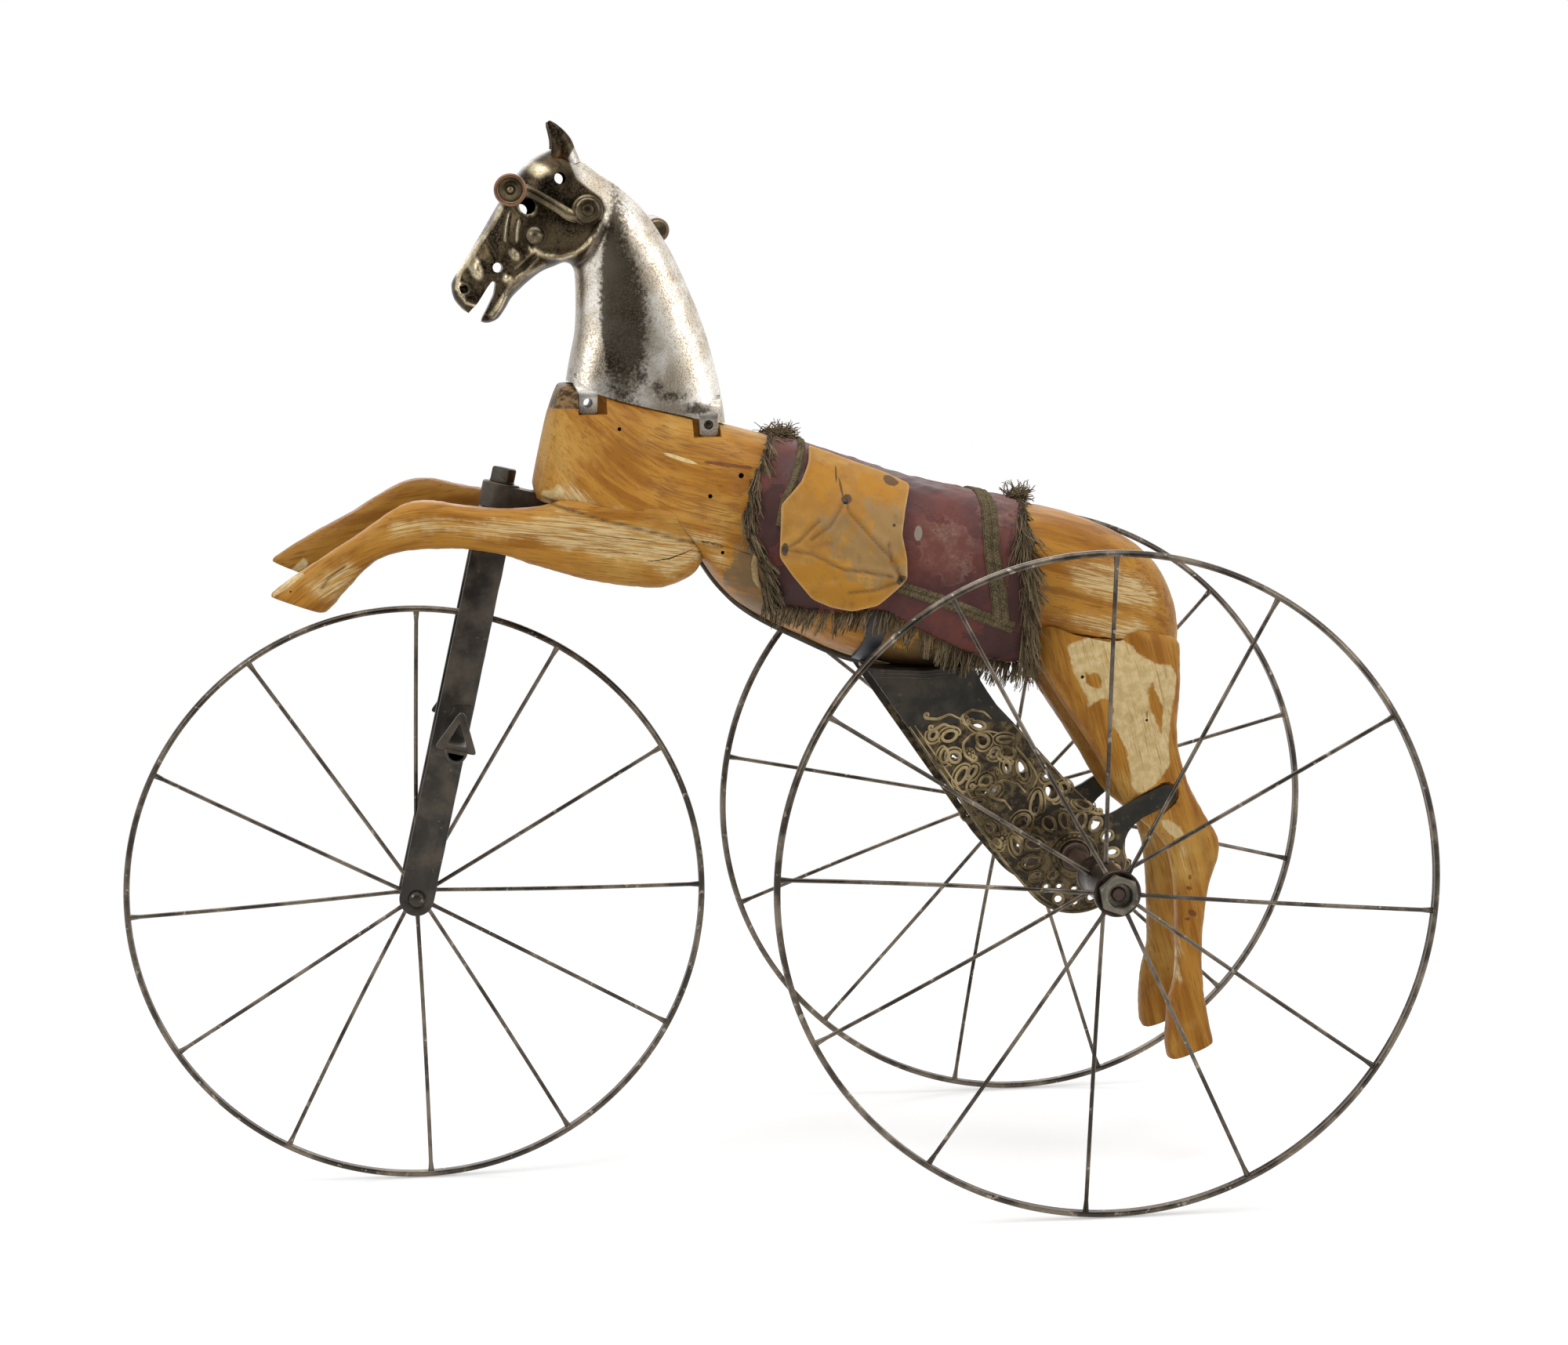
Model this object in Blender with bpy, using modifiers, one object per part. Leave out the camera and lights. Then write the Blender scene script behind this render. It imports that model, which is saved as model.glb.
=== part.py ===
# Child's hand-cranked horse tricycle: wooden horse, cast metal head, three wire wheels.
# +X is forward (the horse's head), +Y is the horse's left, +Z is up, metres.
# The origin is on the floor, under the middle of the whole machine.

import math

import bmesh
import bpy
from mathutils import Matrix, Vector
from mathutils.geometry import tessellate_polygon

# The tables of points are in millimetres
MM = 0.001

# Wheels
REAR_RADIUS = 0.265
FRONT_RADIUS = 0.2403
WHEELBASE = 0.539
TRACK = 0.4617
RIM_DEPTH = 0.005
RIM_WIDTH = 0.009
# The tyre's section: share of half its width, share of its depth from the tread inwards
RIM_SECTION = [(0.7, 1), (-0.7, 1), (-1, 0.6), (-0.65, 0.15), (0, 0), (0.65, 0.15), (1, 0.6)]
RIM_SIDES = 48
HUB_SIDES = 22
BORE_SIDES = 18
SPOKE_SIDES = 6
SPOKE_ROOT_SHARE = 0.55
HUB_WAIST_SHARE = 0.8
# The front hub's waist and its round ends begin at these shares of its half length
HUB_WAIST_END = 0.4
HUB_CHEEK_START = 0.6
SPOKE_COUNT = 12
SPOKE_RADIUS = 0.0017
SPOKE_END_GAP = 0.00045
# Spokes stand this far apart, and a wider gap is left where the rim's ends are joined.
# The first one's angle is measured up from straight ahead, as the machine stands.
SPOKE_STEP = math.radians(29.5)
FRONT_FIRST_SPOKE = math.radians(91.7)
LEFT_FIRST_SPOKE = math.radians(186.3)
RIGHT_FIRST_SPOKE = math.radians(134.8)
REAR_HUB_RADIUS = 0.0165
REAR_HUB_INBOARD = 0.055
REAR_HUB_OUTBOARD = 0.033
REAR_SPOKE_INBOARD = 0.018
REAR_FLANGE_RADIUS = 0.0185
REAR_FLANGE_WIDTH = 0.005
REAR_NUT_ACROSS = 0.030
REAR_NUT_LENGTH = 0.0095
REAR_NUT_RECESS = 0.0096
REAR_NUT_RECESS_DEPTH = 0.006
FRONT_HUB_RADIUS = 0.0125
FRONT_HUB_LENGTH = 0.040
FRONT_SPOKE_OFFSET = 0.016

# Axles
AXLE_RADIUS = 0.0075
AXLE_END_RADIUS = 0.0054
FRONT_AXLE_RADIUS = 0.005
FRONT_AXLE_HEAD_HEIGHT = 0.0045
AXLE_END_SET_BACK = 0.0045
CHAIN_WHEEL_RADIUS = 0.034
CHAIN_WHEEL_WIDTH = 0.006
CHAIN_COLLAR_SHARE = 1.8
CHAIN_COLLAR_REACH = 0.0072
RUNNING_GAP = 0.0003
SEAT_GAP = 0.0003

# Iron side plates that carry the horse on the rear axle
PLATE_Y = 0.078
PLATE_THICKNESS = 0.004
PLATE_FOOT_RADIUS = 0.048
PLATE_BEARING_RADIUS = 0.0115
PLATE_BEARING_WIDTH = 0.016
SHELF_THICKNESS = 0.003
SHELF_REACH = 0.046
STAY_WIDTH = 0.017
STAY_END = (-77, 48)
STAY_SLOPE = -34.5
STAY_LENGTH = 46
STAY_ROOT_FLARE = 6.5
STAY_RECESS_EDGE = 1.6
OPENING_SIDES = 8
SMALL_OPENING = 7.2
SMALL_OPENING_SIDES = 6

# Horse body
BODY_HALF_WIDTH = 0.090
TRUNK_SIDES = 24
LEG_SIDES = 12
HEAD_SIDES = 16
NECK_HALF_WIDTH = 0.031
CAST_WALL = 0.004
SEAM_GAP = 0.0003
RIGHT_FORELEG_LIFT = math.radians(3.4)
RIGHT_HIND_LEG_SWING = math.radians(0.9)
CLOTH_THICKNESS = 0.0025
FLAP_THICKNESS = 0.003
STRAP_SKIN = 0.0024
LAYER_GAP = 0.0006
FLAP_START_Y = 0.012
FLANK_STRAP_START_Y = 0.040

# Steering
STEER_HEAD_X = 0.4615
STEER_HEAD_Z = 0.3035
HEAD_EYE_RADIUS = 0.0155
HEAD_EYE_HEIGHT = 0.022
STRAP_WIDTH = 0.030
STRAP_THICKNESS = 0.0045
FORK_OUTER_WIDTH = 0.058
BLADE_WIDTH = 0.0285
BLADE_THICKNESS = 0.0048
CROWN_RISE = 0.0779
CROWN_THICKNESS = 0.007
CROWN_GAP = 0.001
STEER_BOLT_RADIUS = 0.006
STEER_BOLT_HEAD = 0.0155
STEER_BOLT_HEAD_HEIGHT = 0.0118
STEER_BOLT_CHAMFER = 0.0012
STEER_BOLT_TAIL = 0.004
STEER_BOLT_TURN = math.radians(20)
BRACKET_ROOT_SHARE = 0.9
AXLE_HEAD_SHARE = 1.4

# Footrests: a D-shaped peg on each blade with a triangular stirrup near its end
FOOTREST_HEIGHT = 0.1385
FOOTREST_REACH = 0.122
PEG_X = -0.003
PEG_HALF_WIDTH = 0.0088
PEG_DEPTH = 0.0104
PEG_ROOT = 0.012
PEG_WALL = 0.0024
STIRRUP_Y = 0.1165
STIRRUP_THICKNESS = 0.0045
STIRRUP = [(15, -1), (0.5, 31), (-3, 31), (-19.5, -1)]
STIRRUP_GAP = [(5.5, 3.6), (-1, 22.5), (-10.5, 3.6)]

# Hand crank through the head
CRANK_PLACE = (386, 534.5)
CRANK_RADIUS = 0.066
CRANK_TURN = math.radians(14.5)
CRANK_AXLE_RADIUS = 0.0055
CRANK_BOSS_RADIUS = 0.0125
CRANK_BOSS_Y = 0.0465
CRANK_NUT_RADIUS = 0.0102
CRANK_NUT_HEIGHT = 0.0055
# The nut's flank and the edge of its dome, as shares of its height and its radius
CRANK_NUT_FLANK = 0.4
CRANK_NUT_DOME = (0.7, 0.85)
CRANK_ARM_GAP = 0.001
CRANK_ARM_THICKNESS = 0.0095
CRANK_ARM_WIDTH = 0.0105
ARM_END_SHARE = 0.8
# The arm's bow, as shares of its radius along it and across it
CRANK_BOW = [
    (0, 0), (0.10, -0.09), (0.21, -0.10), (0.36, -0.052), (0.56, 0.01), (0.74, 0.055), (0.88, 0.05), (1, 0),
]
HANDLE_RADIUS = 0.0128
HANDLE_LENGTH = 0.072
# The handle's turning: share of its radius, share of its length
HANDLE_TURNING = [
    (0.72, 0.0), (0.80, 0.05), (0.62, 0.10), (0.78, 0.30), (0.94, 0.62), (1.0, 0.84),
    (1.0, 0.96), (0.88, 1.0), (0.66, 1.0), (0.62, 0.955),
]

AXLE_X = -(WHEELBASE + FRONT_RADIUS - REAR_RADIUS) / 2
REAR_AXLE = Vector((AXLE_X, 0, REAR_RADIUS))
FRONT_AXLE = Vector((AXLE_X + WHEELBASE, 0, FRONT_RADIUS))

# The fork is as long as its wheel needs, and the horse stands as high as its steering head
FORK_LENGTH = FRONT_RADIUS + CROWN_RISE + CROWN_THICKNESS + CROWN_GAP + HEAD_EYE_HEIGHT / 2
FORK_RUN = WHEELBASE - STEER_HEAD_X
FORK_RISE = math.sqrt(FORK_LENGTH ** 2 - FORK_RUN ** 2)
HORSE_RISE = FRONT_RADIUS - REAR_RADIUS + FORK_RISE - STEER_HEAD_Z
HORSE = REAR_AXLE + Vector((0, 0, HORSE_RISE))
STEERING_UP = Vector((-FORK_RUN, 0, FORK_RISE)).normalized()

# The horse's tables are measured from the rear axle as the machine stands now.
# Trunk sections from chest to rump: top x, top z, bottom x, bottom z, half width as a
# share of the body's, width at the top as a share, squareness above, squareness below
TRUNK = [
    (420, 373, 434, 313, 0.20, 0.95, 2.6, 3.0),
    (413, 390.5, 432, 304, 0.38, 0.84, 2.8, 3.5),
    (408, 395, 429, 300, 0.54, 0.70, 3.2, 5.0),
    (394, 394, 415, 297, 0.72, 0.52, 3.8, 7.0),
    (370, 386, 386, 291.5, 0.83, 0.46, 4.4, 8.0),
    (339, 377, 348, 280, 0.89, 0.44, 4.6, 8.0),
    (310, 368.5, 314, 268.5, 0.94, 0.46, 4.4, 7.0),
    (282, 360, 284, 228, 0.98, 0.56, 3.4, 4.0),
    (262, 354.5, 260, 206, 0.94, 0.80, 2.7, 2.7),
    (225, 344, 222, 185, 0.95, 0.98, 2.4, 2.4),
    (175, 327, 175, 164, 0.99, 1.00, 2.5, 2.5),
    (122, 308.5, 123, 154, 1.00, 1.00, 2.8, 2.8),
    (75, 297, 77, 151, 0.99, 1.00, 2.8, 2.8),
    (43, 290, 45, 154, 0.97, 1.00, 2.7, 2.9),
    (20, 285, 24, 185, 0.95, 1.00, 2.7, 6.0),
    (-8, 278.5, -3, 177, 0.94, 0.98, 2.7, 8.0),
    (-36, 268, -30, 166.5, 0.92, 0.96, 2.7, 8.0),
    (-63, 253, -55, 158.5, 0.87, 0.92, 2.7, 7.0),
    (-82, 234, -75, 154, 0.77, 0.88, 2.7, 5.5),
    (-94, 210, -87, 152, 0.61, 0.85, 2.7, 4.0),
    (-99, 190, -94, 154, 0.42, 0.84, 2.7, 3.0),
]

# Foreleg sections from shoulder to hoof: top x, top z, bottom x, bottom z, inner y, outer y.
# The inner faces leave room for the fork to turn.
FORELEG = [
    (298, 272, 300, 250, 34, 66),
    (304, 290, 309, 239, 30, 74),
    (322, 300, 332, 230, 28, 79),
    (350, 303, 358, 231, 28, 77),
    (382, 305, 386, 235.5, 30.5, 74),
    (408, 304, 411, 242, 35, 72),
    (429, 298.5, 437, 251, 40, 72.5),
    (458, 297, 463, 260, 40, 73),
    (490, 300, 495, 265.5, 40, 73),
    (516, 304.5, 518, 266, 40, 72.5),
    (536, 303.5, 531, 265.5, 40, 72),
    (553, 295.5, 545, 264, 40, 71),
    (578, 278.5, 566, 256, 40, 70),
    (603, 263.5, 584, 239, 40, 71),
    (630, 246.5, 598, 224, 40, 74),
    (650, 232.5, 606, 216.5, 40, 75.5),
]
SHOULDER = (330, 265)

# Hind leg sections from haunch to hoof: front x, front z, back x, back z, inner y, outer y
HIND_LEG = [
    (37, 206, -93, 176, 36, 80),
    (31, 170, -93.5, 147, 33, 82),
    (18, 146, -93, 130, 31, 82),
    (3, 122, -91, 108, 31.5, 81),
    (-16, 92, -91, 86, 36.5, 80),
    (-33, 63, -98, 57, 43.5, 80),
    (-51, 33, -110, 32, 48, 79.5),
    (-73, 12, -122, 10, 50, 79),
    (-82, -6, -123, -5, 51, 78),
    (-86, -32, -114, -34, 52, 77),
    (-87, -72, -109, -74, 53, 76),
    (-86, -105, -109, -108, 53, 76),
    (-80, -130, -112, -134, 51.5, 77.5),
    (-78, -165, -117, -158, 49.5, 79.5),
    (-81, -177, -117.5, -163.5, 50, 79),
]
HAUNCH = (-30, 150)

# Cast neck and head, from the neck's foot to the muzzle: back x, back z, front x, front z,
# half width as a share of the neck's, squareness
CASTING = [
    (274, 363, 405.5, 396, 1.00, 4.0),
    (280, 398, 401, 414, 0.97, 3.0),
    (289, 434, 396, 438, 0.94, 2.3),
    (301, 467, 394.5, 466, 0.93, 2.2),
    (319, 506, 395.5, 487, 0.95, 2.2),
    (345, 544, 402, 493, 1.00, 2.2),
    (377, 569, 412, 490, 1.10, 2.3),
    (402, 586, 422, 486, 1.16, 2.4),
    (424, 579, 432, 479, 1.16, 2.4),
    (439, 566, 440, 472, 1.12, 2.4),
    (456, 541, 447, 465, 0.94, 2.4),
    (472, 515, 452, 457, 0.74, 2.4),
    (484, 496, 458, 449, 0.62, 2.5),
    (494, 480, 465, 445.5, 0.54, 2.6),
    (493, 468, 474, 447.5, 0.40, 2.6),
]
HOLLOW_SECTIONS = 11
BOSS_ROOT_SHARE = 0.7
HALF_BOX = 0.6
MOUTH = [(461, 477), (487, 449), (478, 438), (471.5, 444)]
EAR_ROOT = (403, 580)
EAR_TIP = (413.5, 607.5)
EAR_Y = 0.017
EAR_SLOPE = 0.35
# Ear sections: share of the way from root to tip, half depth, half width
EAR = [(-0.3, 10, 6), (0, 10.5, 7), (0.4, 8, 6), (0.75, 4.5, 4), (1, 1.2, 1.2)]
CHEEK_BOSS = (427, 513.5)
CHEEK_BOSS_RADIUS = 0.008
CHEEK_BOSS_Y = 0.0325

# Round holes through the casting: x, z, radius
CAST_HOLES = [(406, 561, 4.8), (433, 539, 6.3), (458, 490, 4.5)]

# Lugs at the neck's foot, screwed to the wood: hole x, hole z, lug's lowest z
# and the free width of its pocket ahead of it and behind it
LUGS = [(388, 379, 370, 0.4, 7), (290, 359, 349.5, 5.5, 1.5)]
LUG_WIDTH = 0.016
LUG_INNER_Y = 0.0235
LUG_OUTER_Y = 0.0292
LUG_TOP_ABOVE_HOLE = 0.021
LUG_HOLE_RADIUS = 0.0038
POCKET_HEIGHT = 0.060

# Side view outlines of what lies on the body
CLOTH_OUTLINE = [
    (229, 400), (233, 357), (258, 310), (264, 275), (252, 228), (234, 207), (153, 211),
    (120, 198), (94, 182), (69, 169), (44, 160), (40, 230), (27, 287), (25, 400),
]
FLAP_OUTLINE = [
    (205, 336), (130, 312), (128.5, 286), (133.5, 262), (132, 237), (143, 223),
    (170, 210), (192, 212), (215, 222), (240, 253), (231, 298),
]
FLANK_STRAP = [(184, 150), (166, 150), (153, 203.5), (168, 204.5)]

# Side plate, from the rear axle: its straight front edge, then its rear edge upwards
PLATE_FRONT = [(170, 161), (60, -2.5)]
PLATE_REAR = [(-43.5, -4), (-42, 4), (-42.5, 12), (-25, 33.5), (7, 64), (27, 87), (46, 108.5),
              (63, 127), (71, 139), (77, 149), (82, 161)]
PLATE_TOP = [(99, 158.5), (122, 157), (147, 158.5)]
# The stay that ties the plate to the hind leg: upper edge outwards, lower edge inwards
STAY_UPPER = [(-28.5, 33), (-36, 36.5), (-45, 42)]
STAY_LOWER = [(-57, 29.5), (-49.5, 23.5), (-45, 18)]

# Openings of the pierced scrollwork, from the rear axle: centre x, centre z, length,
# width, tilt of the length in degrees, taper towards the length's far end
FAN = [
    (20.5, 27, 11, 8, 53, -0.2), (8, 29, 11.5, 6, 74, -0.2), (-5.5, 29, 11.5, 6.5, 101, -0.2),
    (-17.5, 25.5, 11, 7.5, 123, -0.2), (-27, 15.5, 9, 6.5, 148, -0.2), (-31.5, 2, 8.5, 5.5, 176, 0),
    (33, 10.5, 13, 7, 17, -0.2), (36, -3.5, 14, 8, -6, -0.2), (32.5, -15.5, 10, 6, -25, -0.2),
    (18.5, -14.5, 7.5, 5, -38, 0),
]
FOOT_HOLES = [
    (24, -25.5, 5.5, 4, 120, 0), (13, -25, 4.5, 4, 8, 0), (0.5, -27.5, 5, 3.6, 0, 0),
    (14, -35.5, 7, 6.5, 15, 0), (0, -38, 6.5, 5.2, 80, 0), (-13.5, -35, 7, 6, -20, 0),
    (-13, -25.7, 5, 4, -12, 0), (-25.5, -26.5, 7, 6, 45, 0), (-33, -12.5, 8, 6, 20, 0),
]
SCROLLS = [
    (18.5, 54, 13.5, 10, 60, 0), (-7.5, 42.5, 13, 4.5, 22, 0.2), (31.5, 45, 18, 7, 100, 0.2),
    (44, 29.5, 14, 10, -40, 0), (48.5, 10.5, 15, 5, 68, 0.2), (70, 26, 9, 5, 55, 0.2),
    (79.5, 48, 9, 4, 8, 0), (76, 55.5, 9, 4.2, 0, 0), (73.5, 64.5, 9, 6, -30, 0.2),
    (93, 70, 13, 5.5, 122, 0), (84, 73, 8, 3.6, 120, 0), (66, 57, 8, 5, -35, 0),
    (55.5, 76, 8.5, 3.6, 82, 0), (65.5, 88, 7, 4.4, 125, 0), (54.5, 87.5, 11, 8, 10, 0),
    (56.5, 98.5, 12, 3.2, 3, 0), (75.5, 98.5, 9.5, 7.5, 45, 0.2), (79, 111, 10.5, 4.6, 15, 0.2),
    (102.5, 103, 10.5, 6.5, -20, 0), (107, 87, 10, 5, 100, 0.2), (98.5, 85.5, 8, 7, 30, 0),
    (43, 73, 15, 5.5, 72, 0), (22.5, 66.5, 5, 4, 0, 0), (8, 57, 7, 6, 47, 0),
    (64, 13, 6, 3.2, 60, 0), (116, 104, 6, 4, -50, 0),
]


def make_material(name, colour, metallic, roughness):
    material = bpy.data.materials.new(name)
    material.use_nodes = True
    shader = material.node_tree.nodes["Principled BSDF"]
    shader.inputs["Base Color"].default_value = (*colour, 1)
    shader.inputs["Metallic"].default_value = metallic
    shader.inputs["Roughness"].default_value = roughness
    return material


def add_part(name, mesh, material, place, parent=None):
    part = bpy.data.objects.new(name, mesh)
    parts.objects.link(part)
    part.data.materials.clear()
    part.data.materials.append(material)
    part.location = place
    part.parent = parent
    return part


def add_cutter(name, mesh, place, parent=None):
    cutter = bpy.data.objects.new(name, mesh)
    cutters.objects.link(cutter)
    cutter.location = place
    cutter.parent = parent
    cutter.hide_render = True
    cutter.display_type = "WIRE"
    return cutter


def add_empty(name, place, parent=None):
    empty = bpy.data.objects.new(name, None)
    parts.objects.link(empty)
    empty.location = place
    empty.parent = parent
    return empty


def boolean(part, cutter, operation="DIFFERENCE"):
    modifier = part.modifiers.new(operation.lower(), "BOOLEAN")
    modifier.operation = operation
    modifier.solver = "EXACT"
    modifier.object = cutter


def mesh_from(bm, name):
    bmesh.ops.recalc_face_normals(bm, faces=bm.faces)
    mesh = bpy.data.meshes.new(name)
    bm.to_mesh(mesh)
    bm.free()
    return mesh


def shade(mesh):
    mesh.shade_smooth()
    mesh.set_sharp_from_angle(angle=math.radians(35))
    return mesh


def table_point(x, z):
    return Vector((x * MM, 0, z * MM))


def in_metres(points):
    return [(x * MM, z * MM) for x, z in points]


def ring_points(high, low, middle_y, half_width, top_share, squares, sides, grow):
    # A superellipse whose height runs from the low point to the high point, with one
    # squareness for its upper half and one for its lower half.
    centre = (high + low) / 2
    up = (high - low) / 2
    up = up.normalized() * (up.length + grow)
    points = []
    for side in range(sides):
        angle = math.tau * side / sides
        sine, cosine = math.sin(angle), math.cos(angle)
        square = squares[0] if sine >= 0 else squares[1]
        rise = math.copysign(abs(sine) ** (2 / square), sine)
        reach = math.copysign(abs(cosine) ** (2 / square), cosine)
        width = half_width * (top_share + (1 - top_share) * (1 - rise) / 2) + grow
        points.append(centre + up * rise + Vector((0, middle_y + width * reach, 0)))
    return points


def loft_mesh(name, rings):
    bm = bmesh.new()
    loops = [[bm.verts.new(point) for point in ring] for ring in rings]
    for loop, following in zip(loops, loops[1:]):
        for index in range(len(loop)):
            after = (index + 1) % len(loop)
            # The same diagonal everywhere keeps a grown copy parallel to its original.
            bm.faces.new((loop[index], loop[after], following[after]))
            bm.faces.new((loop[index], following[after], following[index]))
    bm.faces.new(loops[0])
    bm.faces.new(loops[-1])
    return shade(mesh_from(bm, name))


def pushed_ends(rings, distance):
    # Moves the first and last ring outwards along the loft.
    middles = [sum(ring, Vector()) / len(ring) for ring in rings]
    first = (middles[0] - middles[1]).normalized() * distance
    last = (middles[-1] - middles[-2]).normalized() * distance
    ends = [[point + first for point in rings[0]]]
    ends += rings[1:-1]
    ends.append([point + last for point in rings[-1]])
    return ends


def trunk_rings(grow=0.0):
    rings = []
    for top_x, top_z, low_x, low_z, width, top_share, above, below in TRUNK:
        high, low = table_point(top_x, top_z), table_point(low_x, low_z)
        half = width * BODY_HALF_WIDTH
        rings.append(ring_points(high, low, 0, half, top_share, (above, below), TRUNK_SIDES, grow))
    return pushed_ends(rings, grow)


def prism_mesh(name, outline, low_y, high_y, holes=()):
    # A side view outline, with holes where they are given, that has depth across the machine.
    loops = [outline, *holes]
    bm = bmesh.new()
    corners = [bm.verts.new((x, low_y, z)) for loop in loops for x, z in loop]
    flat = [[Vector((x, z, 0)) for x, z in loop] for loop in loops]
    for triangle in tessellate_polygon(flat):
        bm.faces.new([corners[index] for index in triangle])
    bmesh.ops.recalc_face_normals(bm, faces=bm.faces)
    grown = bmesh.ops.extrude_face_region(bm, geom=list(bm.faces))
    moved = [item for item in grown["geom"] if isinstance(item, bmesh.types.BMVert)]
    bmesh.ops.translate(bm, verts=moved, vec=(0, high_y - low_y, 0))
    return mesh_from(bm, name)


def box_mesh(name, size, centre=(0, 0, 0)):
    bm = bmesh.new()
    bmesh.ops.create_cube(bm, size=1)
    bmesh.ops.scale(bm, vec=size, verts=bm.verts)
    bmesh.ops.translate(bm, vec=centre, verts=bm.verts)
    return mesh_from(bm, name)


def round_bar_mesh(name, start, end, radius, sides=16, end_radius=None):
    # A straight bar of round section between two points.
    start, end = Vector(start), Vector(end)
    run = end - start
    turn = run.to_track_quat("Z", "Y").to_matrix().to_4x4()
    bm = bmesh.new()
    bmesh.ops.create_cone(
        bm, cap_ends=True, segments=sides, radius1=radius,
        radius2=radius if end_radius is None else end_radius, depth=run.length,
        matrix=Matrix.Translation((start + end) / 2) @ turn,
    )
    return shade(mesh_from(bm, name))


def turned(name, profile, material, parent, steps, closed=False):
    # A profile of radius and distance along the axle, spun round the axle's line.
    mesh = bpy.data.meshes.new(name)
    points = [(radius, 0, along) for radius, along in reversed(profile)]
    edges = [(index, index + 1) for index in range(len(points) - 1)]
    if closed:
        edges.append((len(points) - 1, 0))
    mesh.from_pydata(points, edges, [])
    part = add_part(name, mesh, material, (0, 0, 0), parent)
    part.rotation_euler = (math.radians(-90), 0, 0)
    screw = part.modifiers.new("turn", "SCREW")
    screw.steps = steps
    screw.render_steps = steps
    screw.use_merge_vertices = True
    screw.merge_threshold = 0.00001
    return part


# Wheels

def add_rim(name, radius, parent):
    half = RIM_WIDTH / 2
    profile = [(radius - RIM_DEPTH * depth, half * across) for across, depth in RIM_SECTION]
    return turned(name, profile, steel, parent, RIM_SIDES, closed=True)


def spokes_mesh(name, rim_radius, hub_radius, first, offsets):
    # Spokes leave the hub at its two ends in turn and meet the rim at its middle.
    bm = bmesh.new()
    # The rim's inner face is faceted, so its flats lie a little nearer the hub.
    outer = (rim_radius - RIM_DEPTH) * math.cos(math.pi / RIM_SIDES) - SPOKE_END_GAP
    for index in range(SPOKE_COUNT):
        angle = first + index * SPOKE_STEP
        outwards = Vector((math.cos(angle), 0, math.sin(angle)))
        start = outwards * hub_radius * SPOKE_ROOT_SHARE + Vector((0, offsets[index % 2], 0))
        end = outwards * outer
        run = end - start
        matrix = Matrix.Translation((start + end) / 2)
        matrix = matrix @ run.to_track_quat("Z", "Y").to_matrix().to_4x4()
        bmesh.ops.create_cone(
            bm, cap_ends=True, segments=SPOKE_SIDES, radius1=SPOKE_RADIUS,
            radius2=SPOKE_RADIUS, depth=run.length, matrix=matrix,
        )
    return mesh_from(bm, name)


def add_rear_wheel(side, parent):
    # The left wheel is fast on the axle; the right one turns on it.
    name = "left" if side > 0 else "right"
    carrier = add_empty(f"{name}_wheel_place", (0, side * TRACK / 2, 0), parent)
    add_rim(f"rear_rim_{name}", REAR_RADIUS, carrier)
    bore = AXLE_RADIUS + RUNNING_GAP
    shoulder = REAR_HUB_OUTBOARD - REAR_FLANGE_WIDTH
    profile = [
        (bore, -REAR_HUB_INBOARD), (REAR_HUB_RADIUS, -REAR_HUB_INBOARD),
        (REAR_HUB_RADIUS, shoulder), (REAR_FLANGE_RADIUS, shoulder),
        (REAR_FLANGE_RADIUS, REAR_HUB_OUTBOARD), (bore, REAR_HUB_OUTBOARD),
    ]
    if side < 0:
        profile = [(radius, -along) for radius, along in reversed(profile)]
    hub = turned(f"rear_hub_{name}", profile, steel, carrier, HUB_SIDES, closed=True)
    outboard = side * (REAR_HUB_OUTBOARD - REAR_FLANGE_WIDTH / 2)
    inboard = -side * REAR_SPOKE_INBOARD
    if side > 0:
        spokes = spokes_mesh("spokes", REAR_RADIUS, REAR_HUB_RADIUS, LEFT_FIRST_SPOKE,
                             (outboard, inboard))
    else:
        spokes = spokes_mesh("spokes", REAR_RADIUS, REAR_HUB_RADIUS, RIGHT_FIRST_SPOKE,
                             (inboard, outboard))
    boolean(hub, add_cutter(f"spokes_{name}", spokes, (0, 0, 0), carrier), "UNION")
    reach = 2 * REAR_HUB_INBOARD
    bar = round_bar_mesh("bore", (0, -reach, 0), (0, reach, 0), bore, BORE_SIDES)
    boolean(hub, add_cutter(f"bore_{name}", bar, (0, 0, 0), carrier))
    add_rear_nut(name, side, carrier)


def add_rear_nut(name, side, carrier):
    start = side * (REAR_HUB_OUTBOARD + SEAT_GAP)
    end = start + side * REAR_NUT_LENGTH
    nut = round_bar_mesh("nut", (0, start, 0), (0, end, 0), REAR_NUT_ACROSS / math.sqrt(3), 6)
    nut = add_part(f"rear_nut_{name}", nut, dark_iron, (0, 0, 0), carrier)
    thread = round_bar_mesh("thread", (0, start - side * REAR_NUT_LENGTH, 0),
                            (0, end + side * REAR_NUT_LENGTH, 0), AXLE_END_RADIUS + SEAT_GAP, 20)
    boolean(nut, add_cutter(f"nut_thread_{name}", thread, (0, 0, 0), carrier))
    recess = round_bar_mesh("recess", (0, end - side * REAR_NUT_RECESS_DEPTH, 0),
                            (0, end + side * REAR_NUT_LENGTH, 0), REAR_NUT_RECESS, 20)
    boolean(nut, add_cutter(f"nut_recess_{name}", recess, (0, 0, 0), carrier))


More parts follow.
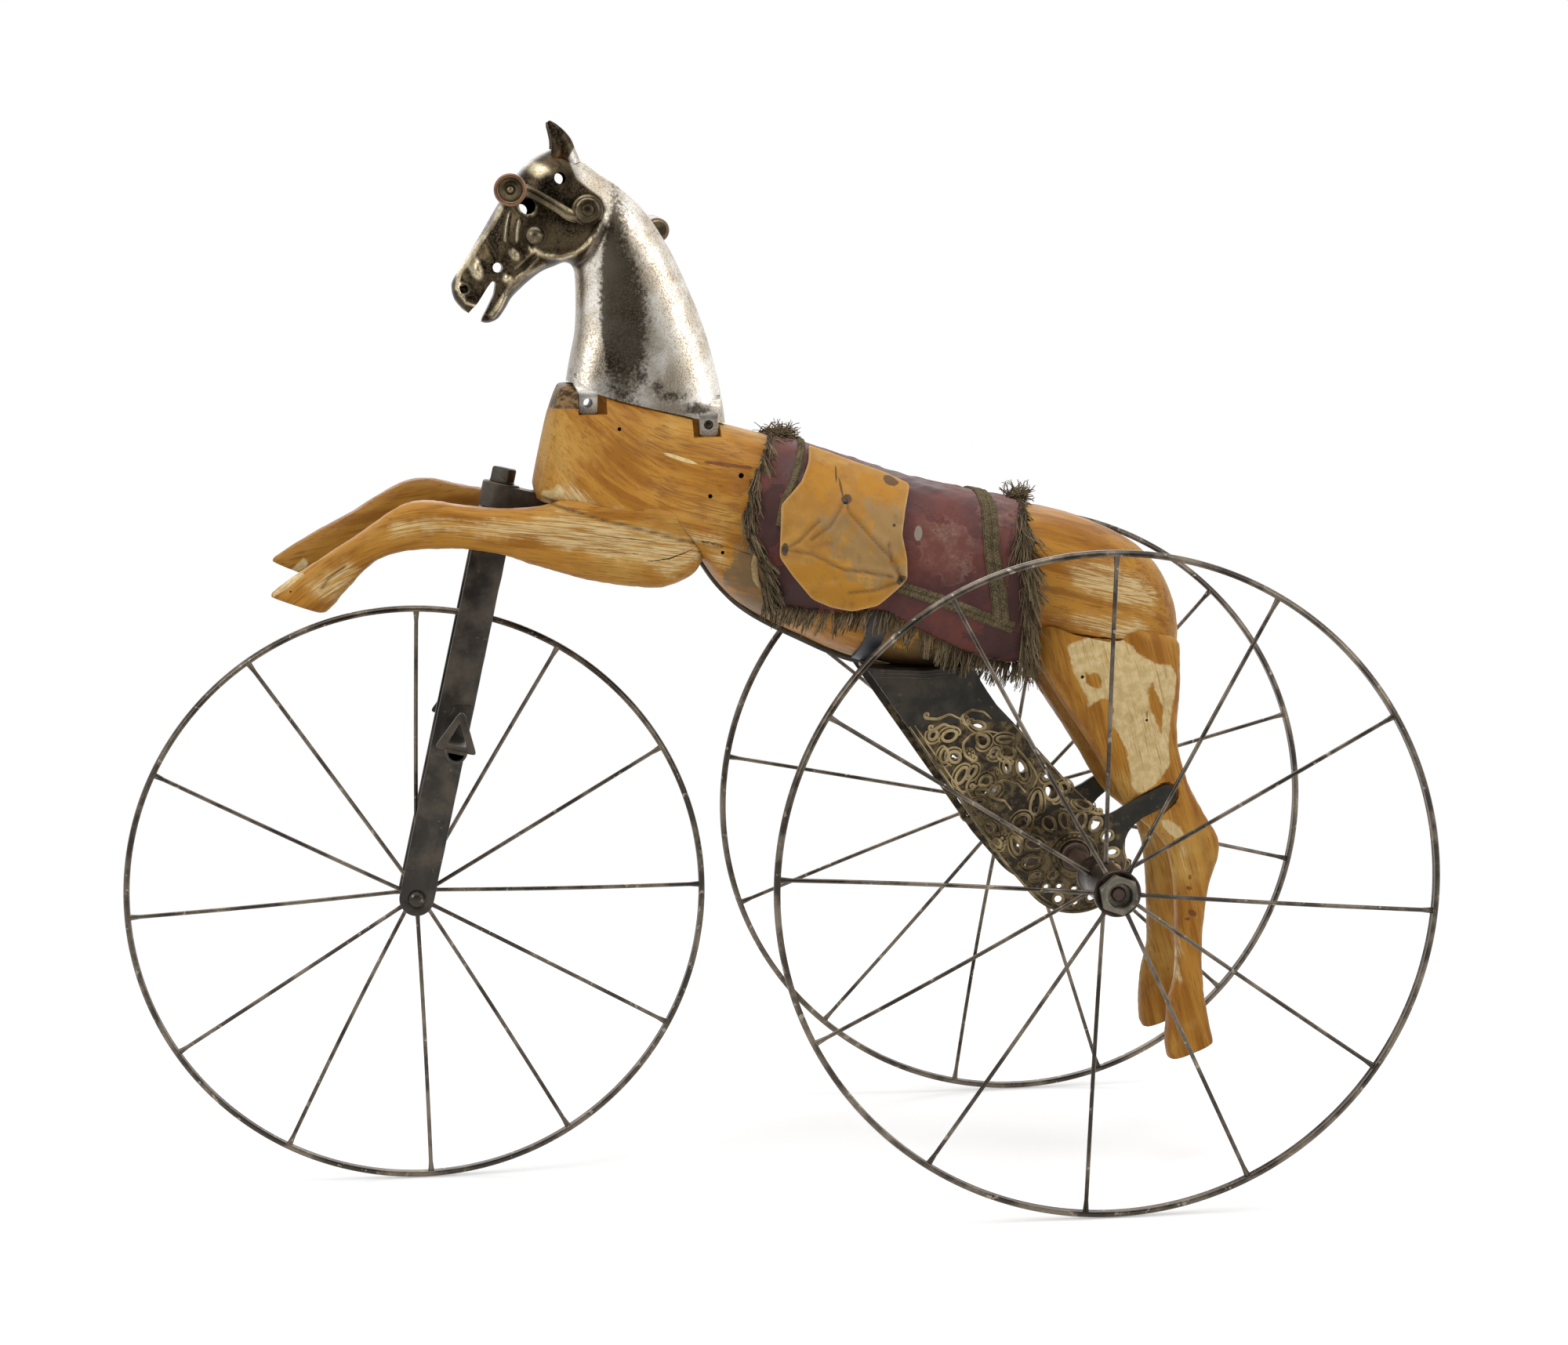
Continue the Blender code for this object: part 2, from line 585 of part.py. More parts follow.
def add_front_wheel(parent):
    add_rim("front_rim", FRONT_RADIUS, parent)
    half = FRONT_HUB_LENGTH / 2
    bore = FRONT_AXLE_RADIUS + RUNNING_GAP
    waist = FRONT_HUB_RADIUS * HUB_WAIST_SHARE
    profile = [
        (bore, -half), (FRONT_HUB_RADIUS, -half), (FRONT_HUB_RADIUS, -half * HUB_CHEEK_START),
        (waist, -half * HUB_WAIST_END), (waist, half * HUB_WAIST_END),
        (FRONT_HUB_RADIUS, half * HUB_CHEEK_START), (FRONT_HUB_RADIUS, half), (bore, half),
    ]
    hub = turned("front_hub", profile, steel, parent, HUB_SIDES, closed=True)
    offsets = (FRONT_SPOKE_OFFSET, -FRONT_SPOKE_OFFSET)
    # The wheel is made in the fork's axes, which lean back with it.
    first = FRONT_FIRST_SPOKE - math.atan2(FORK_RUN, FORK_RISE)
    spokes = spokes_mesh("front_spokes", FRONT_RADIUS, FRONT_HUB_RADIUS, first, offsets)
    boolean(hub, add_cutter("front_spokes", spokes, (0, 0, 0), parent), "UNION")
    bar = round_bar_mesh("front_bore", (0, -FRONT_HUB_LENGTH, 0), (0, FRONT_HUB_LENGTH, 0), bore,
                         BORE_SIDES)
    boolean(hub, add_cutter("front_bore", bar, (0, 0, 0), parent))


def add_rear_axle(parent):
    # Full thickness as far as the hubs' outer ends, thinner through the nuts.
    shoulder = TRACK / 2 + REAR_HUB_OUTBOARD
    end = shoulder + SEAT_GAP + REAR_NUT_LENGTH - AXLE_END_SET_BACK
    profile = [
        (0, -end), (AXLE_END_RADIUS, -end), (AXLE_END_RADIUS, -shoulder),
        (AXLE_RADIUS, -shoulder), (AXLE_RADIUS, shoulder), (AXLE_END_RADIUS, shoulder),
        (AXLE_END_RADIUS, end), (0, end),
    ]
    turned("rear_axle", profile, brown_iron, parent, 20)
    half = CHAIN_WHEEL_WIDTH / 2
    bore = AXLE_RADIUS + SEAT_GAP
    collar = bore * CHAIN_COLLAR_SHARE
    profile = [
        (bore, -CHAIN_COLLAR_REACH), (collar, -CHAIN_COLLAR_REACH), (collar, -half),
        (CHAIN_WHEEL_RADIUS, -half), (CHAIN_WHEEL_RADIUS, half), (collar, half),
        (collar, CHAIN_COLLAR_REACH), (bore, CHAIN_COLLAR_REACH),
    ]
    turned("chain_wheel", profile, brown_iron, parent, HUB_SIDES, closed=True)


# Wooden horse

def add_trunk():
    trunk = add_part("trunk", loft_mesh("trunk", trunk_rings()), wood, HORSE)
    pockets = bmesh.new()
    for hole_x, hole_z, low_z, ahead, behind in LUGS:
        front = hole_x * MM + LUG_WIDTH / 2 + ahead * MM
        back = hole_x * MM - LUG_WIDTH / 2 - behind * MM
        low = low_z * MM - SEAT_GAP
        high = low + POCKET_HEIGHT
        depth = BODY_HALF_WIDTH - LUG_INNER_Y + SEAT_GAP
        for side in (1, -1):
            middle = side * (LUG_INNER_Y - SEAT_GAP + depth / 2)
            size = Vector((front - back, depth, high - low))
            centre = Vector(((front + back) / 2, middle, (high + low) / 2))
            turn = Matrix.Translation(centre) @ Matrix.Diagonal((*size, 1))
            bmesh.ops.create_cube(pockets, size=1, matrix=turn)
    boolean(trunk, add_cutter("lug_pockets", mesh_from(pockets, "lug_pockets"), HORSE))
    # The front lugs' screws are gone, and their hole shows right through.
    hole_x, hole_z = LUGS[0][0] * MM, LUGS[0][1] * MM
    hole = round_bar_mesh("lug_hole", (hole_x, -BODY_HALF_WIDTH, hole_z),
                          (hole_x, BODY_HALF_WIDTH, hole_z), LUG_HOLE_RADIUS, 16)
    boolean(trunk, add_cutter("lug_hole", hole, HORSE))


def leg_rings(table, side, squares, pivot, turn):
    rings = []
    for high_x, high_z, low_x, low_z, inner, outer in table:
        middle = side * (inner + outer) / 2 * MM
        half = (outer - inner) / 2 * MM
        high, low = table_point(high_x, high_z), table_point(low_x, low_z)
        rings.append(ring_points(high, low, middle, half, 1, squares, LEG_SIDES, 0))
    centre = table_point(*pivot)
    swing = Matrix.Translation(centre) @ Matrix.Rotation(turn, 4, "Y") @ Matrix.Translation(-centre)
    return [[swing @ point for point in ring] for ring in rings]


def add_legs():
    for side, name in ((1, "left"), (-1, "right")):
        lift = 0 if side > 0 else -RIGHT_FORELEG_LIFT
        swing = 0 if side > 0 else RIGHT_HIND_LEG_SWING
        rings = leg_rings(FORELEG, side, (3.0, 3.0), SHOULDER, lift)
        foreleg = add_part(f"foreleg_{name}", loft_mesh("foreleg", rings), wood, HORSE)
        boolean(foreleg, trunk_seat)
        rings = leg_rings(HIND_LEG, side, (2.8, 2.8), HAUNCH, swing)
        hind_leg = add_part(f"hind_leg_{name}", loft_mesh("hind_leg", rings), wood, HORSE)
        boolean(hind_leg, trunk_seat)
        inner = side * (PLATE_Y - PLATE_THICKNESS / 2 - SEAT_GAP)
        ends = sorted((inner, inner + side * PLATE_Y))
        recess = prism_mesh("stay_recess", stay_outline(STAY_RECESS_EDGE), *ends)
        boolean(hind_leg, add_cutter(f"stay_recess_{name}", recess, REAR_AXLE))


# Cast head

def casting_rings(grow):
    rings = []
    for back_x, back_z, front_x, front_z, width, square in CASTING:
        high, low = table_point(back_x, back_z), table_point(front_x, front_z)
        half = width * NECK_HALF_WIDTH
        rings.append(ring_points(high, low, 0, half, 1, (square, square), HEAD_SIDES, grow))
    return rings


def lug_meshes(side):
    # Lugs that reach down from the casting's foot into the pockets in the wood.
    lugs, drills = bmesh.new(), bmesh.new()
    turn = Matrix.Rotation(math.radians(90), 4, "X")
    for hole_x, hole_z, low_z, _, _ in LUGS:
        low, high = low_z * MM, hole_z * MM + LUG_TOP_ABOVE_HOLE
        size = (LUG_WIDTH, LUG_OUTER_Y - LUG_INNER_Y, high - low, 1)
        middle = side * (LUG_OUTER_Y + LUG_INNER_Y) / 2
        place = Matrix.Translation((hole_x * MM, middle, (low + high) / 2))
        bmesh.ops.create_cube(lugs, size=1, matrix=place @ Matrix.Diagonal(size))
        place = Matrix.Translation((hole_x * MM, middle, hole_z * MM))
        bmesh.ops.create_cone(
            drills, cap_ends=True, segments=16, radius1=LUG_HOLE_RADIUS,
            radius2=LUG_HOLE_RADIUS, depth=NECK_HALF_WIDTH, matrix=place @ turn,
        )
    return mesh_from(lugs, "lugs"), mesh_from(drills, "lug_drills")


def add_head():
    crank_x, crank_z = CRANK_PLACE[0] * MM, CRANK_PLACE[1] * MM
    inner = pushed_ends(casting_rings(-CAST_WALL)[:HOLLOW_SECTIONS], CAST_WALL * 2)
    hollow = add_cutter("head_hollow", loft_mesh("head_hollow", inner), HORSE)
    reach = 2 * NECK_HALF_WIDTH
    mouth = prism_mesh("mouth", in_metres(MOUTH), -reach, reach)
    mouth = add_cutter("mouth", mouth, HORSE)
    holes = bmesh.new()
    turn = Matrix.Rotation(math.radians(90), 4, "X")
    bores = [(x * MM, z * MM, radius * MM) for x, z, radius in CAST_HOLES]
    for x, z, radius in bores + [(crank_x, crank_z, CRANK_AXLE_RADIUS + RUNNING_GAP)]:
        bmesh.ops.create_cone(
            holes, cap_ends=True, segments=14, radius1=radius, radius2=radius, depth=2 * reach,
            matrix=Matrix.Translation((x, 0, z)) @ turn,
        )
    holes = add_cutter("head_holes", mesh_from(holes, "head_holes"), HORSE)
    boss_x, boss_z = CHEEK_BOSS[0] * MM, CHEEK_BOSS[1] * MM
    for side, name in ((1, "left"), (-1, "right")):
        mesh = loft_mesh("head", casting_rings(0))
        half = add_part(f"head_half_{name}", mesh, cast_metal, HORSE)
        boolean(half, add_ear(side), "UNION")
        start = side * NECK_HALF_WIDTH * BOSS_ROOT_SHARE
        cheek = round_bar_mesh("cheek", (boss_x, start, boss_z),
                               (boss_x, side * CHEEK_BOSS_Y, boss_z), CHEEK_BOSS_RADIUS, 14)
        boolean(half, add_cutter(f"cheek_boss_{name}", cheek, HORSE), "UNION")
        boolean(half, hollow)
        boss = round_bar_mesh("boss", (crank_x, start, crank_z),
                              (crank_x, side * CRANK_BOSS_Y, crank_z), CRANK_BOSS_RADIUS, 20)
        boolean(half, add_cutter(f"crank_boss_{name}", boss, HORSE), "UNION")
        # Everything on one side of the seam, in a box well clear of the casting.
        box = box_mesh("half", (HALF_BOX,) * 3,
                       (crank_x, side * (HALF_BOX + SEAM_GAP) / 2, crank_z))
        boolean(half, add_cutter(f"half_{name}", box, HORSE), "INTERSECT")
        boolean(half, mouth)
        boolean(half, holes)
        boolean(half, trunk_seat)
        lugs, drills = lug_meshes(side)
        boolean(half, add_cutter(f"lugs_{name}", lugs, HORSE), "UNION")
        boolean(half, add_cutter(f"lug_drills_{name}", drills, HORSE))


def add_ear(side):
    root, tip = table_point(*EAR_ROOT), table_point(*EAR_TIP)
    rings = []
    for share, depth, width in EAR:
        middle = root.lerp(tip, share)
        ahead = table_point(depth, -depth * EAR_SLOPE)
        rings.append(ring_points(middle + ahead, middle - ahead, side * EAR_Y, width * MM, 1,
                                 (2.0, 2.0), 10, 0))
    name = "left" if side > 0 else "right"
    return add_cutter(f"ear_{name}", loft_mesh("ear", rings), HORSE)


# Iron work that joins the wood to the axles

def lifted(x, z):
    # Points of the side plates above the axle rise with the horse.
    height = PLATE_FRONT[0][1] * MM
    return (x * MM, z * MM + HORSE_RISE * max(0, z * MM) / height)


def arc(centre, radius, start, stop, steps):
    points = []
    for step in range(steps + 1):
        angle = math.radians(start + (stop - start) * step / steps)
        points.append((centre[0] + radius * math.cos(angle), centre[1] + radius * math.sin(angle)))
    return points


def stay_end(extra=0.0):
    # The round end of the stay, from its upper edge to its lower edge.
    radius = STAY_WIDTH / 2 / MM + extra
    return arc(STAY_END, radius, STAY_SLOPE + 90, STAY_SLOPE + 270, 8)


def stay_outline(extra):
    # The part of the stay that crosses the leg, a little larger all round.
    slope = math.radians(STAY_SLOPE)
    root_x = STAY_END[0] + STAY_LENGTH * math.cos(slope)
    root_z = STAY_END[1] + STAY_LENGTH * math.sin(slope)
    half = STAY_WIDTH / 2 / MM + extra + STAY_ROOT_FLARE
    across = (-math.sin(slope) * half, math.cos(slope) * half)
    root = [(root_x - across[0], root_z - across[1]), (root_x + across[0], root_z + across[1])]
    return [lifted(x, z) for x, z in stay_end(extra) + root]


def opening(x, z, length, width, tilt, taper):
    # An oval opening, narrower towards one end where it tapers.
    along, across = math.cos(math.radians(tilt)), math.sin(math.radians(tilt))
    points = []
    sides = SMALL_OPENING_SIDES if length < SMALL_OPENING else OPENING_SIDES
    for step in range(sides):
        angle = math.tau * step / sides
        far = math.cos(angle) * length / 2
        wide = math.sin(angle) * width / 2 * (1 - taper * math.cos(angle))
        points.append(lifted(x + along * far - across * wide, z + across * far + along * wide))
    return points


def plate_outline():
    radius = PLATE_FOOT_RADIUS / MM
    foot = arc((0, 0), radius, -34, -174, 14)
    rear = PLATE_REAR[:3] + STAY_LOWER[::-1] + stay_end()[::-1] + STAY_UPPER[::-1] + PLATE_REAR[3:]
    outline = PLATE_FRONT + foot + rear + PLATE_TOP
    return [lifted(x, z) for x, z in outline]


def add_side_plates():
    # Pierced plates, and the shelves under the belly that their tops are fixed to.
    holes = [opening(*row) for row in FAN + FOOT_HOLES + SCROLLS]
    ledge = [PLATE_REAR[-1], *PLATE_TOP, PLATE_FRONT[0]]
    over = [lifted(x, z) for x, z in ledge]
    under = [(x, z - SHELF_THICKNESS) for x, z in over]
    for side, name in ((1, "left"), (-1, "right")):
        low = side * PLATE_Y - PLATE_THICKNESS / 2
        mesh = prism_mesh("side_plate", plate_outline(), low, low + PLATE_THICKNESS, holes)
        plate = add_part(f"side_plate_{name}", mesh, dark_iron, REAR_AXLE)
        outer = PLATE_Y - PLATE_THICKNESS / 2 - SEAT_GAP
        ends = sorted((side * (outer - SHELF_REACH), side * outer))
        shelf = prism_mesh("shelf", over + under[::-1], *ends)
        shelf = add_part(f"plate_shelf_{name}", shelf, dark_iron, REAR_AXLE)
        boolean(shelf, trunk_seat)
        bearing = round_bar_mesh(
            "bearing", (0, side * PLATE_Y - PLATE_BEARING_WIDTH / 2, 0),
            (0, side * PLATE_Y + PLATE_BEARING_WIDTH / 2, 0), PLATE_BEARING_RADIUS, HUB_SIDES,
        )
        boolean(plate, add_cutter(f"bearing_{name}", bearing, REAR_AXLE), "UNION")
        bore = round_bar_mesh(
            "bore", (0, side * PLATE_Y - PLATE_BEARING_WIDTH, 0),
            (0, side * PLATE_Y + PLATE_BEARING_WIDTH, 0), AXLE_RADIUS + RUNNING_GAP, BORE_SIDES,
        )
        boolean(plate, add_cutter(f"plate_bore_{name}", bore, REAR_AXLE))
        boolean(plate, trunk_seat)


def skin_part(name, outline, low_y, high_y, inner, outer, material):
    # A sheet that follows the trunk, between two distances from it, cut to a side outline.
    part = add_part(name, loft_mesh(name, trunk_rings(outer)), material, HORSE)
    under = loft_mesh("under", trunk_rings(inner))
    boolean(part, add_cutter(f"{name}_under", under, HORSE))
    prism = prism_mesh("outline", in_metres(outline), low_y, high_y)
    boolean(part, add_cutter(f"{name}_outline", prism, HORSE), "INTERSECT")


def add_saddlery():
    reach = BODY_HALF_WIDTH + FLANK_STRAP_START_Y
    cloth_out = SEAT_GAP + CLOTH_THICKNESS
    skin_part("saddle_cloth", CLOTH_OUTLINE, -reach, reach, SEAT_GAP, cloth_out, red_cloth)
    flap_in = cloth_out + LAYER_GAP
    flap_out = flap_in + FLAP_THICKNESS
    strap_out = SEAT_GAP + STRAP_SKIN
    for side, name in ((1, "left"), (-1, "right")):
        ends = sorted((side * FLAP_START_Y, side * reach))
        skin_part(f"saddle_flap_{name}", FLAP_OUTLINE, *ends, flap_in, flap_out, ochre_leather)
        ends = sorted((side * FLANK_STRAP_START_Y, side * reach))
        skin_part(f"flank_strap_{name}", FLANK_STRAP, *ends, SEAT_GAP, strap_out, dark_iron)


def add_steering_bracket():
    # An eye for the steering bolt, whose tail runs back under the chest and belly.
    lows = [(row[2] * MM, row[3] * MM) for row in TRUNK[3:12]]
    drop = STRAP_THICKNESS + SEAT_GAP
    under = [(x, z - drop) for x, z in lows]
    over = [(x, z + drop) for x, z in lows]
    shoulder = HEAD_EYE_HEIGHT * BRACKET_ROOT_SHARE / 2
    tail = [(STEER_HEAD_X, STEER_HEAD_Z + shoulder), (STEER_HEAD_X, STEER_HEAD_Z - shoulder)]
    half = STRAP_WIDTH / 2
    mesh = prism_mesh("bracket", tail + under + over[::-1], -half, half)
    bracket = add_part("steering_bracket", mesh, dark_iron, HORSE)
    place = Vector((STEER_HEAD_X, 0, STEER_HEAD_Z))
    ends = STEERING_UP * HEAD_EYE_HEIGHT / 2
    eye = round_bar_mesh("eye", place - ends, place + ends, HEAD_EYE_RADIUS, HUB_SIDES)
    boolean(bracket, add_cutter("eye", eye, HORSE), "UNION")
    boolean(bracket, trunk_seat)
    ends = STEERING_UP * HEAD_EYE_HEIGHT
    bore = round_bar_mesh("steer_bore", place - ends, place + ends,
                          STEER_BOLT_RADIUS + RUNNING_GAP, BORE_SIDES)
    boolean(bracket, add_cutter("steer_bore", bore, HORSE))


# Steering fork

def add_fork(parent):
    # Local axes of the fork: Z up along the steering axis, X forward, origin on the axle.
    crown_top = FORK_LENGTH - HEAD_EYE_HEIGHT / 2 - CROWN_GAP
    crown_low = crown_top - CROWN_THICKNESS
    outer = FORK_OUTER_WIDTH / 2
    crown = box_mesh("crown", (BLADE_WIDTH, FORK_OUTER_WIDTH, CROWN_THICKNESS),
                     (0, 0, (crown_top + crown_low) / 2))
    crown = add_part("fork_crown", crown, dark_iron, (0, 0, 0), parent)
    bolt_hole = round_bar_mesh(
        "crown_hole", (0, 0, crown_low - CROWN_THICKNESS), (0, 0, crown_top + CROWN_THICKNESS),
        STEER_BOLT_RADIUS + SEAT_GAP, BORE_SIDES,
    )
    boolean(crown, add_cutter("crown_hole", bolt_hole, (0, 0, 0), parent))
    top = crown_low - SEAT_GAP
    half = BLADE_WIDTH / 2
    outline = [(half, top), (-half, top)] + arc((0, 0), half, 180, 360, 10)
    for side, name in ((1, "left"), (-1, "right")):
        ends = sorted((side * (outer - BLADE_THICKNESS), side * outer))
        blade = add_part(f"fork_blade_{name}", prism_mesh("blade", outline, *ends), dark_iron,
                         (0, 0, 0), parent)
        hole = round_bar_mesh("blade_hole", (0, side * outer / 2, 0), (0, side * outer * 2, 0),
                              FRONT_AXLE_RADIUS + SEAT_GAP, BORE_SIDES)
        boolean(blade, add_cutter(f"blade_hole_{name}", hole, (0, 0, 0), parent))
        add_footrest(side, name, parent)
    add_steering_bolt(crown_low, parent)
    add_front_axle(parent)


def add_steering_bolt(crown_low, parent):
    head_low = FORK_LENGTH + HEAD_EYE_HEIGHT / 2 + CROWN_GAP
    head_top = head_low + STEER_BOLT_HEAD_HEIGHT
    shank = round_bar_mesh("steering_bolt", (0, 0, crown_low - STEER_BOLT_TAIL),
                           (0, 0, (head_low + head_top) / 2), STEER_BOLT_RADIUS, BORE_SIDES)
    bolt = add_part("steering_bolt", shank, dark_iron, (0, 0, 0), parent)
    # A square head, chamfered round its top.
    wide = STEER_BOLT_HEAD / math.sqrt(2)
    shoulder = head_top - STEER_BOLT_CHAMFER
    head = bmesh.new()
    rings = []
    for height, radius in ((head_low, wide), (shoulder, wide), (head_top, wide - STEER_BOLT_CHAMFER)):
        turns = [STEER_BOLT_TURN + math.tau * step / 4 for step in range(4)]
        rings.append([head.verts.new((radius * math.cos(turn), radius * math.sin(turn), height))
                      for turn in turns])
    for low, high in zip(rings, rings[1:]):
        for step in range(4):
            after = (step + 1) % 4
            head.faces.new((low[step], low[after], high[after], high[step]))
    head.faces.new(rings[0])
    head.faces.new(rings[-1])
    head = mesh_from(head, "bolt_head")
    boolean(bolt, add_cutter("bolt_head", head, (0, 0, 0), parent), "UNION")


def add_front_axle(parent):
    reach = FORK_OUTER_WIDTH / 2 + FRONT_AXLE_HEAD_HEIGHT
    start = FORK_OUTER_WIDTH / 2 + SEAT_GAP
    edge = FRONT_AXLE_RADIUS * AXLE_HEAD_SHARE
    profile = [
        (0, -reach), (FRONT_AXLE_RADIUS, -reach), (edge, -start), (FRONT_AXLE_RADIUS, -start),
        (FRONT_AXLE_RADIUS, start), (edge, start), (FRONT_AXLE_RADIUS, reach), (0, reach),
    ]
    turned("front_axle", profile, brown_iron, parent, 20)


def peg_outline(wall):
    # Flat on top, round below.
    half = PEG_HALF_WIDTH - wall
    depth = PEG_DEPTH - 2 * wall
    top = FOOTREST_HEIGHT - wall
    points = [(PEG_X - half, top), (PEG_X + half, top)]
    for step in range(1, 10):
        angle = math.pi * step / 10
        points.append((PEG_X + half * math.cos(angle), top - depth * math.sin(angle)))
    return points


def add_footrest(side, name, parent):
    # A peg that stands out from the blade, with a triangular stirrup near its end.
    start = FORK_OUTER_WIDTH / 2 + SEAT_GAP
    ends = sorted((side * start, side * FOOTREST_REACH))
    peg = prism_mesh("peg", peg_outline(0), *ends)
    footrest = add_part(f"footrest_{name}", peg, dark_iron, (0, 0, 0), parent)
    half = STIRRUP_THICKNESS / 2
    ends = sorted((side * (STIRRUP_Y - half), side * (STIRRUP_Y + half)))
    lift = FOOTREST_HEIGHT
    loop = [(x, z + lift) for x, z in in_metres(STIRRUP)]
    gap = [(x, z + lift) for x, z in in_metres(STIRRUP_GAP)]
    stirrup = prism_mesh("stirrup", loop, *ends, [gap])
    boolean(footrest, add_cutter(f"stirrup_{name}", stirrup, (0, 0, 0), parent), "UNION")
    ends = sorted((side * (start + PEG_ROOT), side * (FOOTREST_REACH + PEG_ROOT)))
    hollow = prism_mesh("peg_hollow", peg_outline(PEG_WALL), *ends)
    boolean(footrest, add_cutter(f"peg_hollow_{name}", hollow, (0, 0, 0), parent))


# Hand crank

def arm_outline(angle):
    # The arm dips under the straight line near the axle and arches over it near the handle.
    along = Vector((math.cos(angle), math.sin(angle)))
    across = Vector((-along.y, along.x))
    spine = [(along * share + across * bow) * CRANK_RADIUS for share, bow in CRANK_BOW]
    left, right = [], []
    for index, point in enumerate(spine):
        ahead = spine[min(index + 1, len(spine) - 1)]
        behind = spine[max(index - 1, 0)]
        run = (ahead - behind).normalized()
        out = Vector((-run.y, run.x)) * CRANK_ARM_WIDTH / 2
        left.append(point + out)
        right.append(point - out)
    return [(point.x, point.y) for point in left + right[::-1]]


def add_crank(parent):
    # Local Y runs along the crank's axle. The two arms point opposite ways.
    arm_in = CRANK_BOSS_Y + CRANK_ARM_GAP
    arm_out = arm_in + CRANK_ARM_THICKNESS
    seat = arm_out + SEAT_GAP
    end = seat + CRANK_NUT_HEIGHT
    flank = seat + CRANK_NUT_HEIGHT * CRANK_NUT_FLANK
    dome_radius = CRANK_NUT_RADIUS * CRANK_NUT_DOME[0]
    dome = seat + CRANK_NUT_HEIGHT * CRANK_NUT_DOME[1]
    half = [(CRANK_AXLE_RADIUS, seat), (CRANK_NUT_RADIUS, seat), (CRANK_NUT_RADIUS, flank),
            (dome_radius, dome), (0, end)]
    profile = [(radius, -along) for radius, along in reversed(half)] + half
    turned("crank_axle", profile, brown_iron, parent, 16)
    for side, name in ((1, "left"), (-1, "right")):
        angle = CRANK_TURN if side > 0 else CRANK_TURN + math.pi
        tip = Vector((math.cos(angle), 0, math.sin(angle))) * CRANK_RADIUS
        low, high = sorted((side * arm_in, side * arm_out))
        arm = prism_mesh("arm", arm_outline(angle), low, high)
        arm = add_part(f"crank_arm_{name}", arm, cast_metal, (0, 0, 0), parent)
        eye = round_bar_mesh("arm_eye", (0, low, 0), (0, high, 0), CRANK_BOSS_RADIUS, 24)
        boolean(arm, add_cutter(f"arm_eye_{name}", eye, (0, 0, 0), parent), "UNION")
        knob = round_bar_mesh("arm_end", (tip.x, low, tip.z), (tip.x, high, tip.z),
                              CRANK_ARM_WIDTH * ARM_END_SHARE, 20)
        boolean(arm, add_cutter(f"arm_end_{name}", knob, (0, 0, 0), parent), "UNION")
        reach = 2 * CRANK_BOSS_Y
        hole = round_bar_mesh("arm_hole", (0, -reach, 0), (0, reach, 0),
                              CRANK_AXLE_RADIUS + SEAT_GAP, BORE_SIDES)
        boolean(arm, add_cutter(f"arm_hole_{name}", hole, (0, 0, 0), parent))
        place = add_empty(f"handle_{name}_line", (tip.x, side * (arm_out + SEAT_GAP), tip.z), parent)
        shape = [(radius * HANDLE_RADIUS, along * HANDLE_LENGTH) for radius, along in HANDLE_TURNING]
        profile = [(0, shape[0][1])] + shape + [(0, shape[-1][1])]
        if side < 0:
            profile = [(radius, -along) for radius, along in reversed(profile)]
        turned(f"handle_{name}", profile, turned_wood, place, 16)


for item in list(bpy.data.objects):
    bpy.data.objects.remove(item)

parts = bpy.data.collections.new("horse_tricycle")
cutters = bpy.data.collections.new("cutters")
for group in (parts, cutters):
    bpy.context.scene.collection.children.link(group)

wood = make_material("worn_wood", (0.56, 0.33, 0.13), 0, 0.5)
turned_wood = make_material("turned_wood", (0.30, 0.12, 0.06), 0, 0.35)
steel = make_material("wheel_iron", (0.20, 0.18, 0.15), 0.9, 0.4)
dark_iron = make_material("dark_iron", (0.06, 0.055, 0.05), 0.7, 0.5)
brown_iron = make_material("brown_iron", (0.12, 0.07, 0.05), 0.6, 0.55)
cast_metal = make_material("plated_casting", (0.62, 0.56, 0.42), 1, 0.28)
red_cloth = make_material("red_leathercloth", (0.16, 0.04, 0.04), 0, 0.45)
ochre_leather = make_material("ochre_leather", (0.52, 0.30, 0.07), 0, 0.65)

trunk_seat = add_cutter("trunk_seat", loft_mesh("trunk_seat", trunk_rings(SEAT_GAP)), HORSE)
add_trunk()
add_legs()
add_head()
add_side_plates()
add_steering_bracket()
add_saddlery()

rear_line = add_empty("rear_axle_line", REAR_AXLE)
add_rear_axle(rear_line)
add_rear_wheel(1, rear_line)
right_line = add_empty("right_wheel_line", REAR_AXLE)
add_rear_wheel(-1, right_line)

fork_line = add_empty("steering_line", FRONT_AXLE)
fork_line.rotation_euler = (0, math.atan2(STEERING_UP.x, STEERING_UP.z), 0)
add_fork(fork_line)
front_line = add_empty("front_axle_line", (0, 0, 0), fork_line)
add_front_wheel(front_line)

crank_line = add_empty("crank_line", HORSE + table_point(*CRANK_PLACE))
add_crank(crank_line)
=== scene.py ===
import math

import bmesh
import bpy
import numpy as np
from mathutils import Matrix, Vector
from mathutils.bvhtree import BVHTree
from mathutils.geometry import tessellate_polygon


